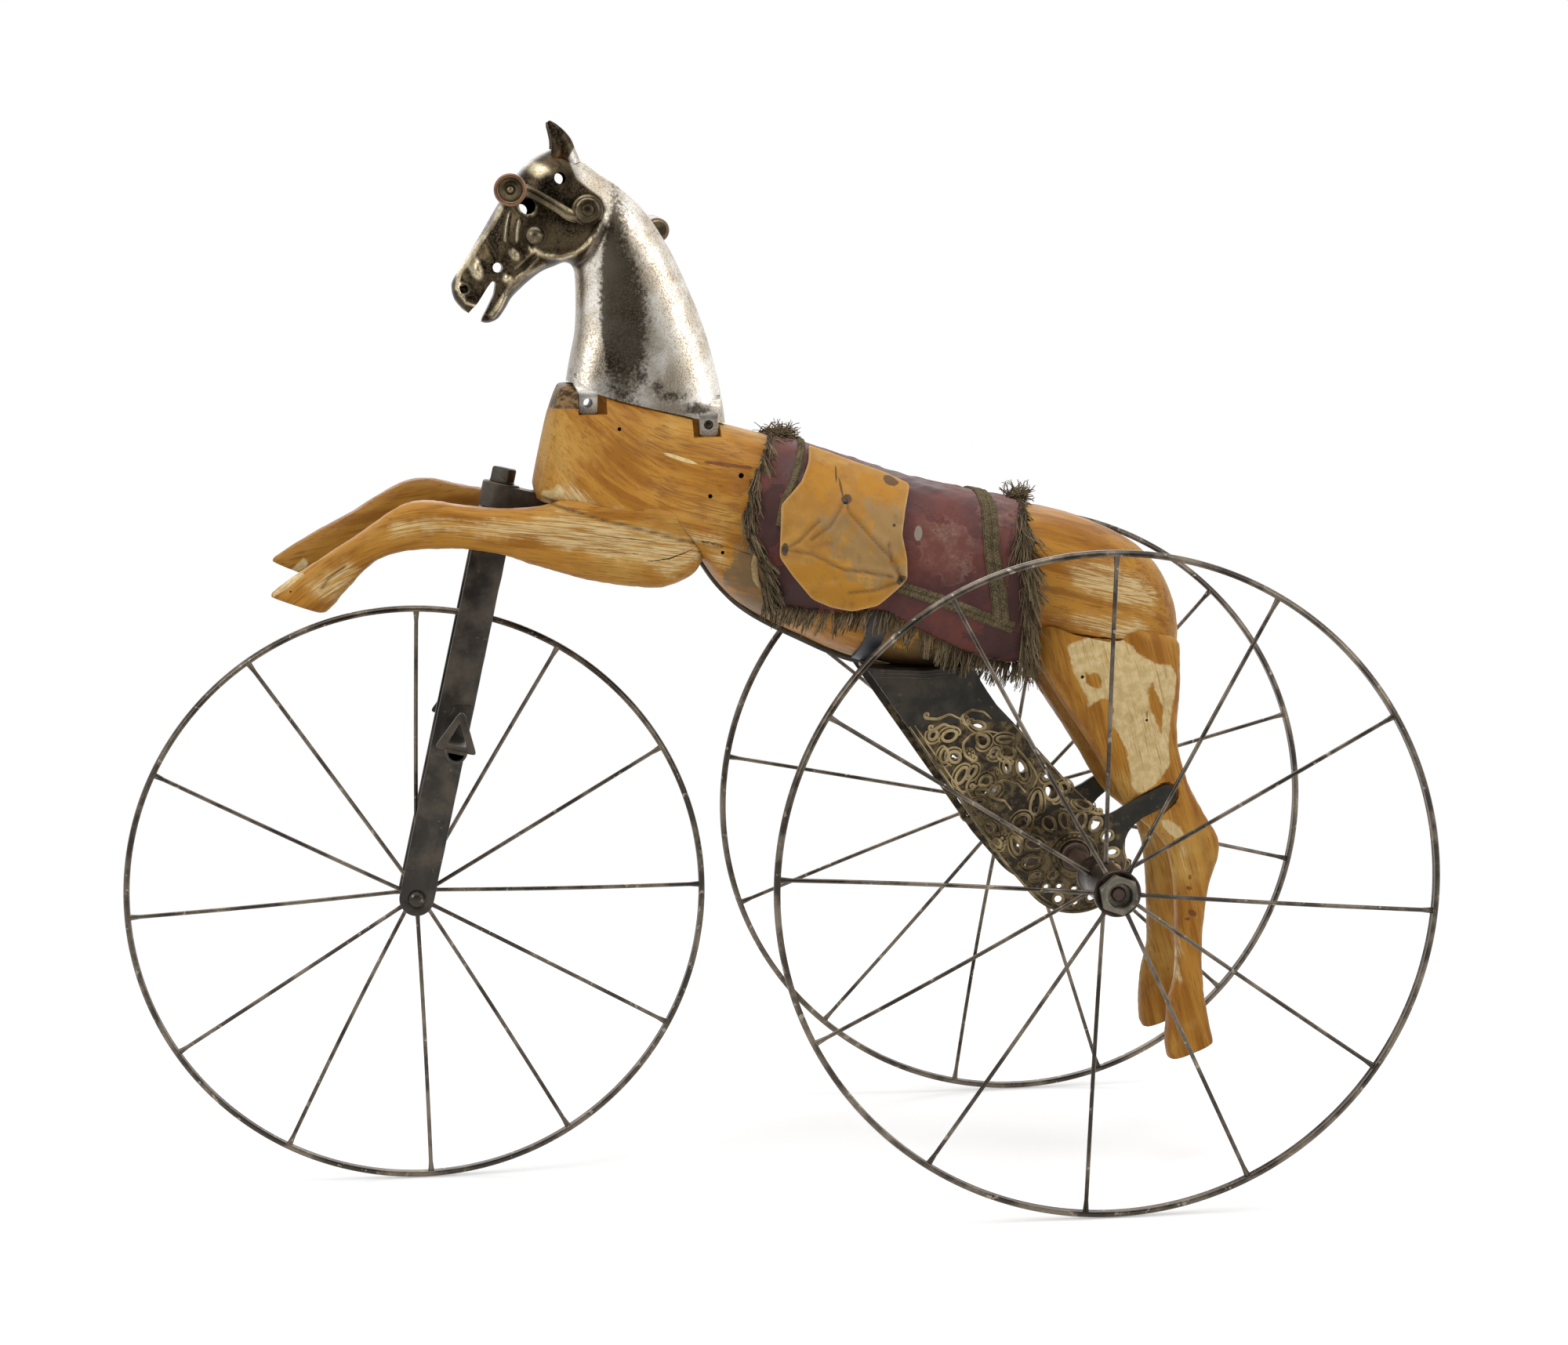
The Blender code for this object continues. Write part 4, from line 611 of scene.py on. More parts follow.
def ironMaterial(name, base, worn, specks, metallic, roughness, cover, scale, second=None):
    # A worn surface with brighter places, small pits and fine grain.
    net, shader, where = newMaterial(name, Metallic=metallic)
    cloud, fine = net.noise(where, 30.0, 5, 0.6), net.noise(where, 420.0, 3, 0.6)
    pits = net.group(speckles, Vector=where, Scale=scale, Cover=cover)
    colour = net.layers(base, (net.ramp(cloud, 0.40, 0.66), worn), (net.times(pits, 0.55), specks))
    if second:
        blot = net.noise(where, 120.0, 5, 0.6)
        other = net.layers(second[1], (net.ramp(blot, 0.42, 0.60), second[2]))
        colour = net.layers(colour, (net.frayed(second[0], blot, 0.9, 0.35, 0.65), other))
    colour = net.layers(colour, (net.ramp(fine, 0.5, 0.8, 0.0, 0.35), base))
    finishLook(net, shader, colour, net.less(net.times(fine, 0.4), net.times(pits, 0.5)), 0.35, 0.4,
               Roughness=net.ramp(cloud, 0.3, 0.7, roughness - 0.10, roughness + 0.14))


def castingMaterial():
    # Worn nickel plating on the neck, dark bronze on the head with polished heights and painted highlights,
    # a painted dark reflection band down the neck, brown specks, and painted shade with some dirt in the hollows.
    net, shader, where = newMaterial("platedCasting", Metallic=1.0)
    cloud, blot = net.noise(where, 26.0, 6, 0.62), net.noise(where, 75.0, 5, 0.6)
    fine = net.group(speckles, Vector=where, Scale=620.0, Cover=0.55)
    coarse = net.group(speckles, Vector=where, Scale=300.0, Cover=0.24)
    drift, grit = net.drift(cloud, 0.8), net.drift(net.noise(where, 330.0, 4, 0.7), 1.5)
    # the band value is a painted dark reflection down the neck, laid into the silver's colour
    darkReflection = net.plus(net.plus(net.value("band"), drift), grit)
    silver = net.layers((0.58, 0.50, 0.39), (net.ramp(cloud, 0.40, 0.62), (0.84, 0.80, 0.73)),
                        (net.ramp(darkReflection, 0.22, 0.80, 0.0, 0.94), (0.060, 0.046, 0.030)))
    bronze = net.layers((0.016, 0.011, 0.006), (net.ramp(blot, 0.40, 0.60), (0.060, 0.045, 0.024)))
    head = net.ramp(net.plus(net.value("bronze"), net.times(drift, 0.6)), 0.25, 0.75)
    # polished heights of the bronze, brightened further as painted highlights
    polishAndHighlightMask = net.times(net.value("polish"), net.ramp(blot, 0.34, 0.58, 0.35, 1.0))
    rust = net.times(head, net.ramp(cloud, 0.60, 0.72, 0.0, 0.45))
    pits = net.times(net.most(net.times(fine, 0.5), net.times(coarse, 0.6)), net.ramp(cloud, 0.36, 0.60, 1.0, 0.55))
    colour = net.layers(silver, (head, bronze), (polishAndHighlightMask, (0.80, 0.68, 0.45)), (rust, (0.17, 0.075, 0.025)),
                        (pits, (0.12, 0.09, 0.06)), (net.times(net.value("dirt"), 0.85), (0.025, 0.018, 0.010)))
    finishLook(net, shader, colour, net.less(net.times(blot, 0.25), pits), 0.22, 0.4,
               Roughness=net.plus(net.ramp(cloud, 0.3, 0.7, 0.25, 0.38), net.times(pits, 0.25)))


def clothMaterial():
    # Dusty oxblood leathercloth: fine cracks, pale scratches, chalky worn places, and patches of painted shade beside
    # the fringes and under the flap.
    net, shader, where = newMaterial("oxbloodCloth", Specular_IOR_Level=0.4)
    cloud, blot = net.noise(where, 22.0, 5, 0.6), net.noise(where, 70.0, 5, 0.65)
    chalk = patches(net, where, [(105, 90, 262, 27, 22, 10), (98, 88, 243, 16, 16, 0), (60, 60, 282, 20, 12, 0)],
                    1.2)
    # patches of painted shade beside the fringes, under the flap's lower edge and near the low braid
    dark = patches(net, where, [(48, 90, 225, 8, 45, 0), (245, 84, 285, 9, 30, 10), (225, 84, 228, 24, 18, 40),
                                (60, 78, 180, 24, 16, 12)], 0.8)
    lines = net.add("Mapping", {"Vector": where, "Rotation": (0, math.radians(-52), 0), "Scale": (22, 60, 260)})
    scratch = net.ramp(net.noise(lines, 2.6, 6, 0.75), 0.66, 0.74)
    cells = net.add("TexVoronoi", {"Vector": where, "Scale": 230.0, "Randomness": 1.0}, "Distance",
                    feature="DISTANCE_TO_EDGE")
    crack = net.times(net.ramp(cells, 0.0, 0.07, 1.0, 0.0), net.ramp(blot, 0.46, 0.6))
    spot = patches(net, where, [(127, 89, 270, 3.2, 6.0, 8)], 0.15)
    colour = net.layers((0.050, 0.009, 0.007), (net.ramp(cloud, 0.35, 0.65), (0.125, 0.030, 0.021)),
                        (net.times(chalk, net.ramp(blot, 0.40, 0.66, 0.08, 0.75)), (0.235, 0.125, 0.090)),
                        (net.times(dark, 0.72), (0.026, 0.008, 0.006)),
                        (net.times(scratch, 0.5), (0.34, 0.24, 0.19)),
                        (net.times(crack, 0.7), (0.05, 0.015, 0.012)), (spot, (0.23, 0.19, 0.15)))
    finishLook(net, shader, colour, net.less(net.times(blot, 0.8), net.times(crack, 0.6)), 0.45, 0.7,
               Roughness=net.ramp(cloud, 0.3, 0.7, 0.50, 0.70))


def ochreMaterial():
    # Thick yellow ochre leather, greyed by handling towards its rear half, with dark stains.
    net, shader, where = newMaterial("ochreLeather", Roughness=0.62, Specular_IOR_Level=0.3)
    cloud, blot = net.noise(where, 30.0, 5, 0.6), net.noise(where, 95.0, 6, 0.65)
    bright = patches(net, where, [(205, 70, 315, 22, 13, 20), (158, 70, 306, 20, 9, 20),
                                  (205, 88, 240, 30, 10, 0), (190, 88, 222, 34, 11, 8)], 1.0)
    tan = patches(net, where, [(156, 86, 268, 22, 30, 14), (170, 88, 252, 32, 16, 40),
                               (195, 86, 280, 20, 9, 10), (152, 92, 240, 16, 12, 0)], 1.4)
    stain = patches(net, where, [(185, 80, 299, 5.2, 4.2, 0), (188, 78, 307, 1.1, 8, -6),
                                 (146, 56, 312, 6.5, 4.2, 24), (236, 85, 260, 3.2, 5.4, 0),
                                 (142, 93, 233, 4.6, 4.4, 0), (191, 74, 318, 0.8, 7, 6)], 0.5)
    colour = net.layers((0.36, 0.165, 0.024), (net.ramp(cloud, 0.38, 0.64), (0.45, 0.235, 0.048)),
                        (net.times(bright, 0.8), (0.42, 0.185, 0.010)), (net.times(tan, 0.72), (0.29, 0.185, 0.075)),
                        (net.ramp(blot, 0.52, 0.72, 0.0, 0.55), (0.20, 0.105, 0.035)),
                        (net.times(stain, 0.8), (0.045, 0.024, 0.018)),
                        # darker along the creases: dirt and painted shade
                        (net.times(net.value("dirt"), 0.6), (0.13, 0.065, 0.025)),
                        (net.times(net.value("rawEdge"), 0.75), (0.55, 0.33, 0.13)))
    grain = net.noise(where, 520.0, 3, 0.6)
    finishLook(net, shader, colour, net.plus(net.times(blot, 0.6), net.times(grain, 0.3)), 0.4, 0.6)


def threadMaterial(name, dark, light):
    # Faded wool thread: each strand paler or darker by its shade value, which on the fringes also darkens each thread
    # towards its root as painted shade.
    net, shader, where = newMaterial(name, Roughness=0.9, Specular_IOR_Level=0.15)
    fine = net.noise(where, 900.0, 3, 0.6)
    colour = net.layers(dark, (net.value("shade"), light), (net.ramp(fine, 0.45, 0.7, 0.0, 0.45), dark))
    finishLook(net, shader, colour, fine, 0.5, 0.3)


woodMaterial("trunkWood", 14, bend=(0.053, 6.0), filler=[(316, 57, 333.5, 14.5, 1.7, 19)],
             # grey patches at the waist and along the belly's underside, partly painted shade
             greyAndShade=[(262, 78, 240, 18, 34, 20), (250, 76, 212, 34, 24, -30), (150, 80, 160, 110, 18, 0)],
             browner=[(-20, 88, 226, 50, 14, -8), (330, 60, 345, 60, 12, 14), (300, 75, 300, 40, 14, 20)],
             stains=[(277, 64, 327.5, 20, 1.7, 8), (-88, 60, 162, 8, 12, 0)])
woodMaterial("forelegWood", 7, bend=(0.24, -3.5))
# the far legs use darker copies of the wood as painted shade
woodMaterial("farForelegWood", -10, shadeFactor=0.72)
woodMaterial("hindLegWood", 76, stains=[(-97, 78, -22, 1.4, 2.2, 0), (-96, 78, -31, 2.4, 1.6, 20),
             (-99, 78, -52, 3.6, 2.2, 30), (-95, 78, -57, 2.2, 1.3, 0), (-61.5, 80, 115.5, 0.7, 3.2, 0)])
woodMaterial("farHindLegWood", 76, shadeFactor=0.80)
for name, row in irons.items():
    ironMaterial(name, *row)
castingMaterial()
clothMaterial()
ochreMaterial()
threadMaterial("braidThread", (0.050, 0.038, 0.020), (0.215, 0.165, 0.090))
threadMaterial("fringeThread", (0.028, 0.020, 0.011), (0.30, 0.225, 0.128))
threadMaterial("rawThread", (0.26, 0.17, 0.075), (0.50, 0.37, 0.19))
print("materials")


# ---- wooden horse

def superRings(table, sides, grow=0.0):
    # Superellipse sections. Columns: high x, high z, low x, low z, middle y, half width, width at
    # the top as a share, squareness above and below. A point lies on a ray from the section's
    # middle, at the reach where |across|^n + |up|^n is 1.
    high, low = table[:, 0:2], table[:, 2:4]
    middleY, half, topShare, above, below = (table[:, k:k + 1] for k in range(4, 9))
    turn = fullTurn(sides)[None, :]
    sine, cosine = np.sin(turn), np.cos(turn)
    square = np.where(sine >= 0, above, below)
    reach = (np.abs(sine) ** square + np.abs(cosine) ** square) ** (-1 / square)
    rise, across = reach * sine, reach * cosine
    centre, up = (high + low) / 2, (high - low) / 2
    length = np.linalg.norm(up, axis=1, keepdims=True)
    up = up * (length + grow) / length
    width = half * (topShare + (1 - topShare) * (1 - rise) / 2) + grow
    points = np.stack([centre[:, 0:1] + up[:, 0:1] * rise, middleY + width * across,
                       centre[:, 1:2] + up[:, 1:2] * rise], axis=-1)
    return points * mm + rearAxle


def unevenness(points, size, amount, seed):
    # A smooth height over space: a few sine waves in seeded directions, about size long.
    waves = np.random.default_rng(seed)
    total = np.zeros(points.shape[:-1])
    for share in (1.0, 0.7, 0.5, 0.35):
        direction = unit(waves.normal(size=(3, 3))) * math.tau / (size * share)
        total += share * np.sin(points @ direction.T + waves.uniform(0, math.tau, 3)).prod(axis=-1)
    return total * amount


def roughened(rings, size, amount, seed):
    # Moves each point of the rings away from its ring's middle by the unevenness.
    outward = unit(rings - rings.mean(axis=1, keepdims=True))
    return rings + outward * unevenness(rings, size, amount, seed)[..., None]


trunk = {
    # top x, top z, bottom x, bottom z, half width, width at the top, squareness above, below
    "rows": [
        (420, 373, 434, 313, 0.20, 0.95, 2.6, 3.0), (413, 390.5, 432, 304, 0.38, 0.84, 2.8, 3.5),
        (408, 395, 429, 300, 0.54, 0.70, 3.2, 5.0), (394, 394, 415, 297, 0.72, 0.52, 3.8, 7.0),
        (370, 386, 386, 291.5, 0.83, 0.46, 4.4, 8.0), (339, 377, 348, 280, 0.89, 0.44, 4.6, 8.0),
        (310, 368.5, 314, 268.5, 0.94, 0.46, 4.4, 7.0), (282, 360, 284, 228, 0.98, 0.56, 3.4, 4.0),
        (262, 354.5, 260, 206, 0.94, 0.80, 2.7, 2.7), (225, 344, 222, 185, 0.95, 0.98, 2.4, 2.4),
        (175, 327, 175, 164, 0.99, 1.00, 2.5, 2.5), (122, 308.5, 123, 154, 1.00, 1.00, 2.8, 2.8),
        (75, 297, 77, 151, 0.99, 1.00, 2.8, 2.8), (43, 290, 45, 154, 0.97, 1.00, 2.7, 2.9),
        (20, 285, 24, 185, 0.95, 1.00, 2.7, 6.0), (-8, 278.5, -3, 177, 0.94, 0.98, 2.7, 8.0),
        (-36, 268, -30, 166.5, 0.92, 0.96, 2.7, 8.0), (-63, 253, -55, 158.5, 0.87, 0.92, 2.7, 7.0),
        (-82, 234, -75, 154, 0.77, 0.88, 2.7, 5.5), (-94, 210, -87, 152, 0.61, 0.85, 2.7, 4.0),
        (-99, 190, -94, 154, 0.42, 0.84, 2.7, 3.0)],
    "halfWidth": 90, "steps": 190, "sides": 132,
    "jointGap": 0.45, "neckGap": 1.5,
    # lug pockets: hole x, hole z, lug's lowest z, free width ahead and behind, then the height above
    # the hole where the lug ends, and its outer face there
    "lugs": [(388, 379, 370, 0.4, 7, 24, 19.5), (290, 359, 349.5, 5.5, 1.5, 24, 21.5)],
    "lugWidth": 16, "lugInner": 23.5, "lugOuter": 29.2, "lugHole": 3.8,
    "nailHoles": [(364, 358, 1.6), (267.5, 319, 2.2), (293, 303, 1.8), (285, 258, 1.5)],
    "cracks": [[(29, 187.3), (6, 184.5), (-24, 179.7), (-48, 176), (-69, 173.8), (-85, 175.5)],
               [(302, 268), (292.5, 266), (277.5, 261.3), (262, 255.5)]],
    "roughness": (0.05, 0.00035, 3),   # size of the waves, their height and their seed
}

legs = {
    "farGrow": 1.0,
    # high x, high z, low x, low z, inner y, outer y
    "fore": [
        (298, 272, 300, 250, 34, 66), (304, 290, 309, 239, 30, 74), (322, 300, 332, 230, 28, 79),
        (350, 303, 358, 231, 28, 77), (382, 305, 386, 235.5, 30.5, 74), (408, 304, 411, 242, 35, 72),
        (429, 298.5, 437, 251, 40, 72.5), (458, 297, 463, 260, 40, 73), (490, 300, 495, 265.5, 40, 73),
        (516, 304.5, 518, 266, 40, 72.5), (536, 303.5, 531, 265.5, 40, 72), (553, 295.5, 545, 264, 40, 71),
        (578, 278.5, 566, 256, 40, 70), (603, 263.5, 584, 239, 40, 71), (630, 246.5, 598, 224, 40, 74),
        (650, 232.5, 606, 216.5, 40, 75.5)],
    "hind": [
        (37, 206, -93, 176, 36, 80), (31, 170, -93.5, 147, 33, 82), (18, 146, -93, 130, 31, 82),
        (3, 122, -91, 108, 31.5, 81), (-16, 92, -91, 86, 36.5, 80), (-33, 63, -98, 57, 43.5, 80),
        (-51, 33, -110, 32, 48, 79.5), (-73, 12, -122, 10, 50, 79), (-82, -6, -123, -5, 51, 78),
        (-86, -32, -114, -34, 52, 77), (-87, -72, -109, -74, 53, 76), (-86, -105, -109, -108, 53, 76),
        (-80, -130, -112, -134, 51.5, 77.5), (-78, -165, -117, -158, 49.5, 79.5),
        (-81, -177, -117.5, -163.5, 50, 79)],
    "squareness": {"fore": 3.0, "hind": 2.8}, "sides": 96, "steps": 150,
    # how the right legs stand apart from the left ones: the place they turn about, and degrees
    "farTurn": {"fore": ((330, 265), -3.4), "hind": ((-30, 150), 0.9)},
    "foreCracks": [[(437, 270), (408, 265.5), (378, 261), (353, 258.4)], [(346, 252.5), (328, 254.5), (308, 261.4)],
                   [(420, 283), (392, 276), (362, 271), (338, 268)]],
    "hindCracks": [],
    "foreNails": [(471.4, 290.1, 1.6), (608.9, 249.8, 1.7), (632, 236, 0.8), (637, 241, 0.8), (629, 243, 0.6)],
    "hindNails": [(-61.3, 110.6, 1.2), (-8, 148, 1.5)],
    "stayEnd": (-77, 48), "staySlope": -34.5, "stayWidth": 17, "stayLength": 46, "recessEdge": 2.2,
    "rootFlare": 6.5, "plateFace": 75.7,
}


def fullTable(rows, steps, kind=None, side=1):
    # The rows of a wooden part as a smooth table for superRings.
    table = splineRows(rows, steps)
    if kind is None:
        rest = [np.zeros(steps), table[:, 4] * trunk["halfWidth"], table[:, 5], table[:, 6], table[:, 7]]
    else:
        square = np.full(steps, legs["squareness"][kind])
        rest = [side * (table[:, 4] + table[:, 5]) / 2, (table[:, 5] - table[:, 4]) / 2, np.ones(steps),
                square, square]
    return np.column_stack([table[:, :4]] + rest)


def trunkSeat(gap):
    # The trunk grown by a gap, to cut away what would stand in it.
    rings = superRings(fullTable(trunk["rows"], 120), 108, gap)
    rings[0] += (rings[0] - rings[2]).mean(0) * 0.5
    rings[-1] += (rings[-1] - rings[-3]).mean(0) * 0.5
    return closedLoft("trunkSeat", rings)


def turnedAbout(points, pivot, degrees):
    # Turns points in side view about a place given from the rear axle.
    centre = np.array([pivot[0] * mm, 0, pivot[1] * mm]) + rearAxle
    turn = math.radians(degrees)
    x, z = points[..., 0] - centre[0], points[..., 2] - centre[2]
    moved = points.copy()
    moved[..., 0] = centre[0] + x * math.cos(turn) + z * math.sin(turn)
    moved[..., 2] = centre[2] - x * math.sin(turn) + z * math.cos(turn)
    return moved


def crackCutter(line, lowY, highY, width, seed):
    # A ragged slit along a line in side view.
    count, margin = 26, 0.15
    path = roundedPath(line, count, soften=1)
    ragged = np.random.default_rng(seed)
    swell = 0.35 + np.sin(np.linspace(margin, math.pi - margin, count))
    half = width / 2 * swell * ragged.uniform(0.6, 1.3, count)
    middle = path[:, 1] + ragged.normal(0, 0.25, count)
    up, down = (np.column_stack([path[:, 0], middle + part]) for part in (half, -half))
    return prism("crack", np.vstack([up, down[::-1]]), lowY, highY)


def boxCutter(lowX, highX, lowY, highY, lowZ, highZ):
    return prism("box", [(lowX, lowZ), (highX, lowZ), (highX, highZ), (lowX, highZ)], lowY, highY)


woodMarks = {
    # marks on the wood as outlines in side view: worn varnish, filler, rough broken places, and lines of dirt and
    # painted shade
    "trunk": {
        "wear": [[(428, 309), (404, 316), (389, 306), (372, 299), (352, 292.5), (330, 284), (307, 277), (283, 273),
                  (280, 260), (302, 262), (330, 268), (352, 275), (377, 282), (402, 291), (426, 300)],
                 [(295, 262), (281, 264), (276, 250), (286, 243), (294, 250)],
                 [(20, 201), (-14, 205), (-52, 198), (-70, 186), (-58, 177), (-20, 182), (14, 188)],
                 [(8, 246), (-30, 243), (-62, 228), (-78, 208), (-70, 196), (-30, 208), (6, 218)]],
        "filler": [[(428, 309), (421, 309.5), (415, 314.5), (411, 309), (417, 303.5), (427, 303)]],
        "rough": [[(430, 405), (392.5, 398), (392.5, 374.5), (430, 376)]],
        "dirt": [[(428, 304.5), (402, 295.5), (377, 287.5), (352, 281), (327, 273.5), (302, 267), (285, 263)]]},
    "fore": {
        "wear": [[(556, 275), (546, 290), (521, 297), (477, 289), (439, 292), (412, 299), (377, 288), (327, 275),
                  (296, 265), (299, 248), (328, 234), (353, 250), (403, 257), (452, 273), (502, 280), (531, 276)],
                 [(624, 242), (614, 249), (586, 258), (577, 252), (595, 228), (605, 223), (622, 234)]],
        "filler": [[(649, 234), (623, 252), (620, 249), (646, 230)]],
        "dirt": [[(589, 254.3), (601.5, 246), (606.7, 238.7)],
                 [(428, 302.5), (402, 293.5), (377, 285.5), (352, 279), (327, 271.5), (302, 265)]]},
    "hind": {
        "wear": [[(-76, -70), (-90, -70), (-94, -112), (-80, -112)], [(-84, 10), (-96, 4), (-96, -20), (-86, -18)]],
        "filler": [[(5, 174), (-8, 179), (-22, 183), (-33, 186), (-40, 177), (-49, 172), (-60, 163), (-70, 156),
                    (-82.5, 156), (-88, 146), (-86, 128), (-84, 109.5), (-81, 91), (-79.5, 73), (-71, 58), (-61, 52),
                    (-52.7, 50), (-50.7, 62), (-46, 80.5), (-39, 99), (-31, 111), (-35, 123), (-24.5, 129.5),
                    (-14, 124), (-8, 142), (1, 157)],
                   [(-71, 27.7), (-82, 28.6), (-91, 21), (-94, 14), (-85, 9), (-74, 17)]],
        "holes": [[(-61.7, 134.4), (-65.7, 140.3), (-70.2, 134.1), (-76.2, 121.8), (-73.6, 97.7), (-69.4, 110),
                   (-64, 119.2)], [(-9.6, 152), (-21, 149), (-22, 139), (-10, 141)]],
        "dirt": [[(-52, 48), (-66, 43), (-88, 40)]]},
    # stands far off the horse, for a part without rough places
    "none": [[(900, 900), (901, 900), (901, 901)]],
}


def paintWood(piece, key):
    marks = woodMarks[key]
    paintVertices(piece, wear=lambda x, y, z: markShare(x, z, marks["wear"], soft=24),
                  filler=lambda x, y, z: markShare(x, z, marks["filler"], marks.get("holes", ())),
                  rough=lambda x, y, z: markShare(x, z, marks.get("rough", woodMarks["none"]), soft=5),
                  dirt=lambda x, y, z: lineShare(x, z, marks["dirt"], 1.1))


def addTrunk():
    piece = closedLoft("woodTrunk", roughened(superRings(fullTable(trunk["rows"], trunk["steps"]), trunk["sides"]),
                                              *trunk["roughness"]))
    half, slack = trunk["lugWidth"] / 2, 0.3
    carve(piece, [boxCutter(x - half - behind, x + half + ahead, side * (trunk["lugInner"] - slack), side * 90,
                            lowZ - slack, lowZ + 60)
                  for x, _, lowZ, ahead, behind, _, _ in trunk["lugs"] for side in (1, -1)])
    carve(piece, drill(*trunk["lugs"][0][:2], trunk["lugHole"], -90, 90))
    for x, z, radius in trunk["nailHoles"]:
        for side in (1, -1):
            carve(piece, drill(x, z, radius, side * 36, side * 90, 18))
    for index, line in enumerate(trunk["cracks"]):
        carve(piece, crackCutter(line, 76, 95, 1.3, index))
    paintWood(piece, "trunk")
    finished(piece, "trunkWood", "frame", "trunk", 38, smooth=False)


def stayRecess(side):
    # The round-ended hollow in the hind leg that the iron stay lies in.
    slope = math.radians(legs["staySlope"])
    radius = legs["stayWidth"] / 2 + legs["recessEdge"]
    outline = circle(np.linspace(slope + math.pi / 2, slope + 1.5 * math.pi, 24), radius, *legs["stayEnd"])
    outline += np.random.default_rng(5).normal(0, 0.25, outline.shape)
    root = np.array(legs["stayEnd"]) + legs["stayLength"] * np.array([math.cos(slope), math.sin(slope)])
    across = np.array([-math.sin(slope), math.cos(slope)]) * (radius + legs["rootFlare"])
    return prism("recess", np.vstack([outline, root - across, root + across]), side * legs["plateFace"], side * 110)


def addLeg(kind, side, look, name):
    rings = superRings(fullTable(legs[kind], legs["steps"], kind, side), legs["sides"],
                       legs["farGrow"] if side < 0 and kind == "hind" else 0.0)
    if side < 0:
        rings = turnedAbout(rings, *legs["farTurn"][kind])
    rings = roughened(rings, 0.03, 0.0004, 11 + side)
    # Ends a little rounded over, as a carved hoof is.
    for index, share in ((0, 0.90), (1, 0.975), (-1, 0.90), (-2, 0.975)):
        middle = rings[index].mean(0)
        rings[index] = middle + (rings[index] - middle) * share
    piece = closedLoft(name, rings)
    carve(piece, trunkSeat(trunk["jointGap"]))
    if kind == "hind":
        carve(piece, stayRecess(side))
    for x, z, radius in legs[kind + "Nails"]:
        carve(piece, drill(x, z, radius, side * 71.5, side * 95, 16))
    for index, line in enumerate(legs[kind + "Cracks"]):
        carve(piece, crackCutter(line, side * 73.5, side * 90, 0.8, 20 + index))
    paintWood(piece, kind)
    node = kind + ("_leg" if kind == "hind" else "leg") + ("_left" if side > 0 else "_right")
    finished(piece, look, "frame", node, 38, smooth=False)


addTrunk()
addLeg("fore", 1, "forelegWood", "forelegNear")
addLeg("fore", -1, "farForelegWood", "forelegFar")
addLeg("hind", 1, "hindLegWood", "hindLegNear")
addLeg("hind", -1, "farHindLegWood", "hindLegFar")
print("wooden horse")


# ---- cast neck and head, in two halves with lugs at the foot

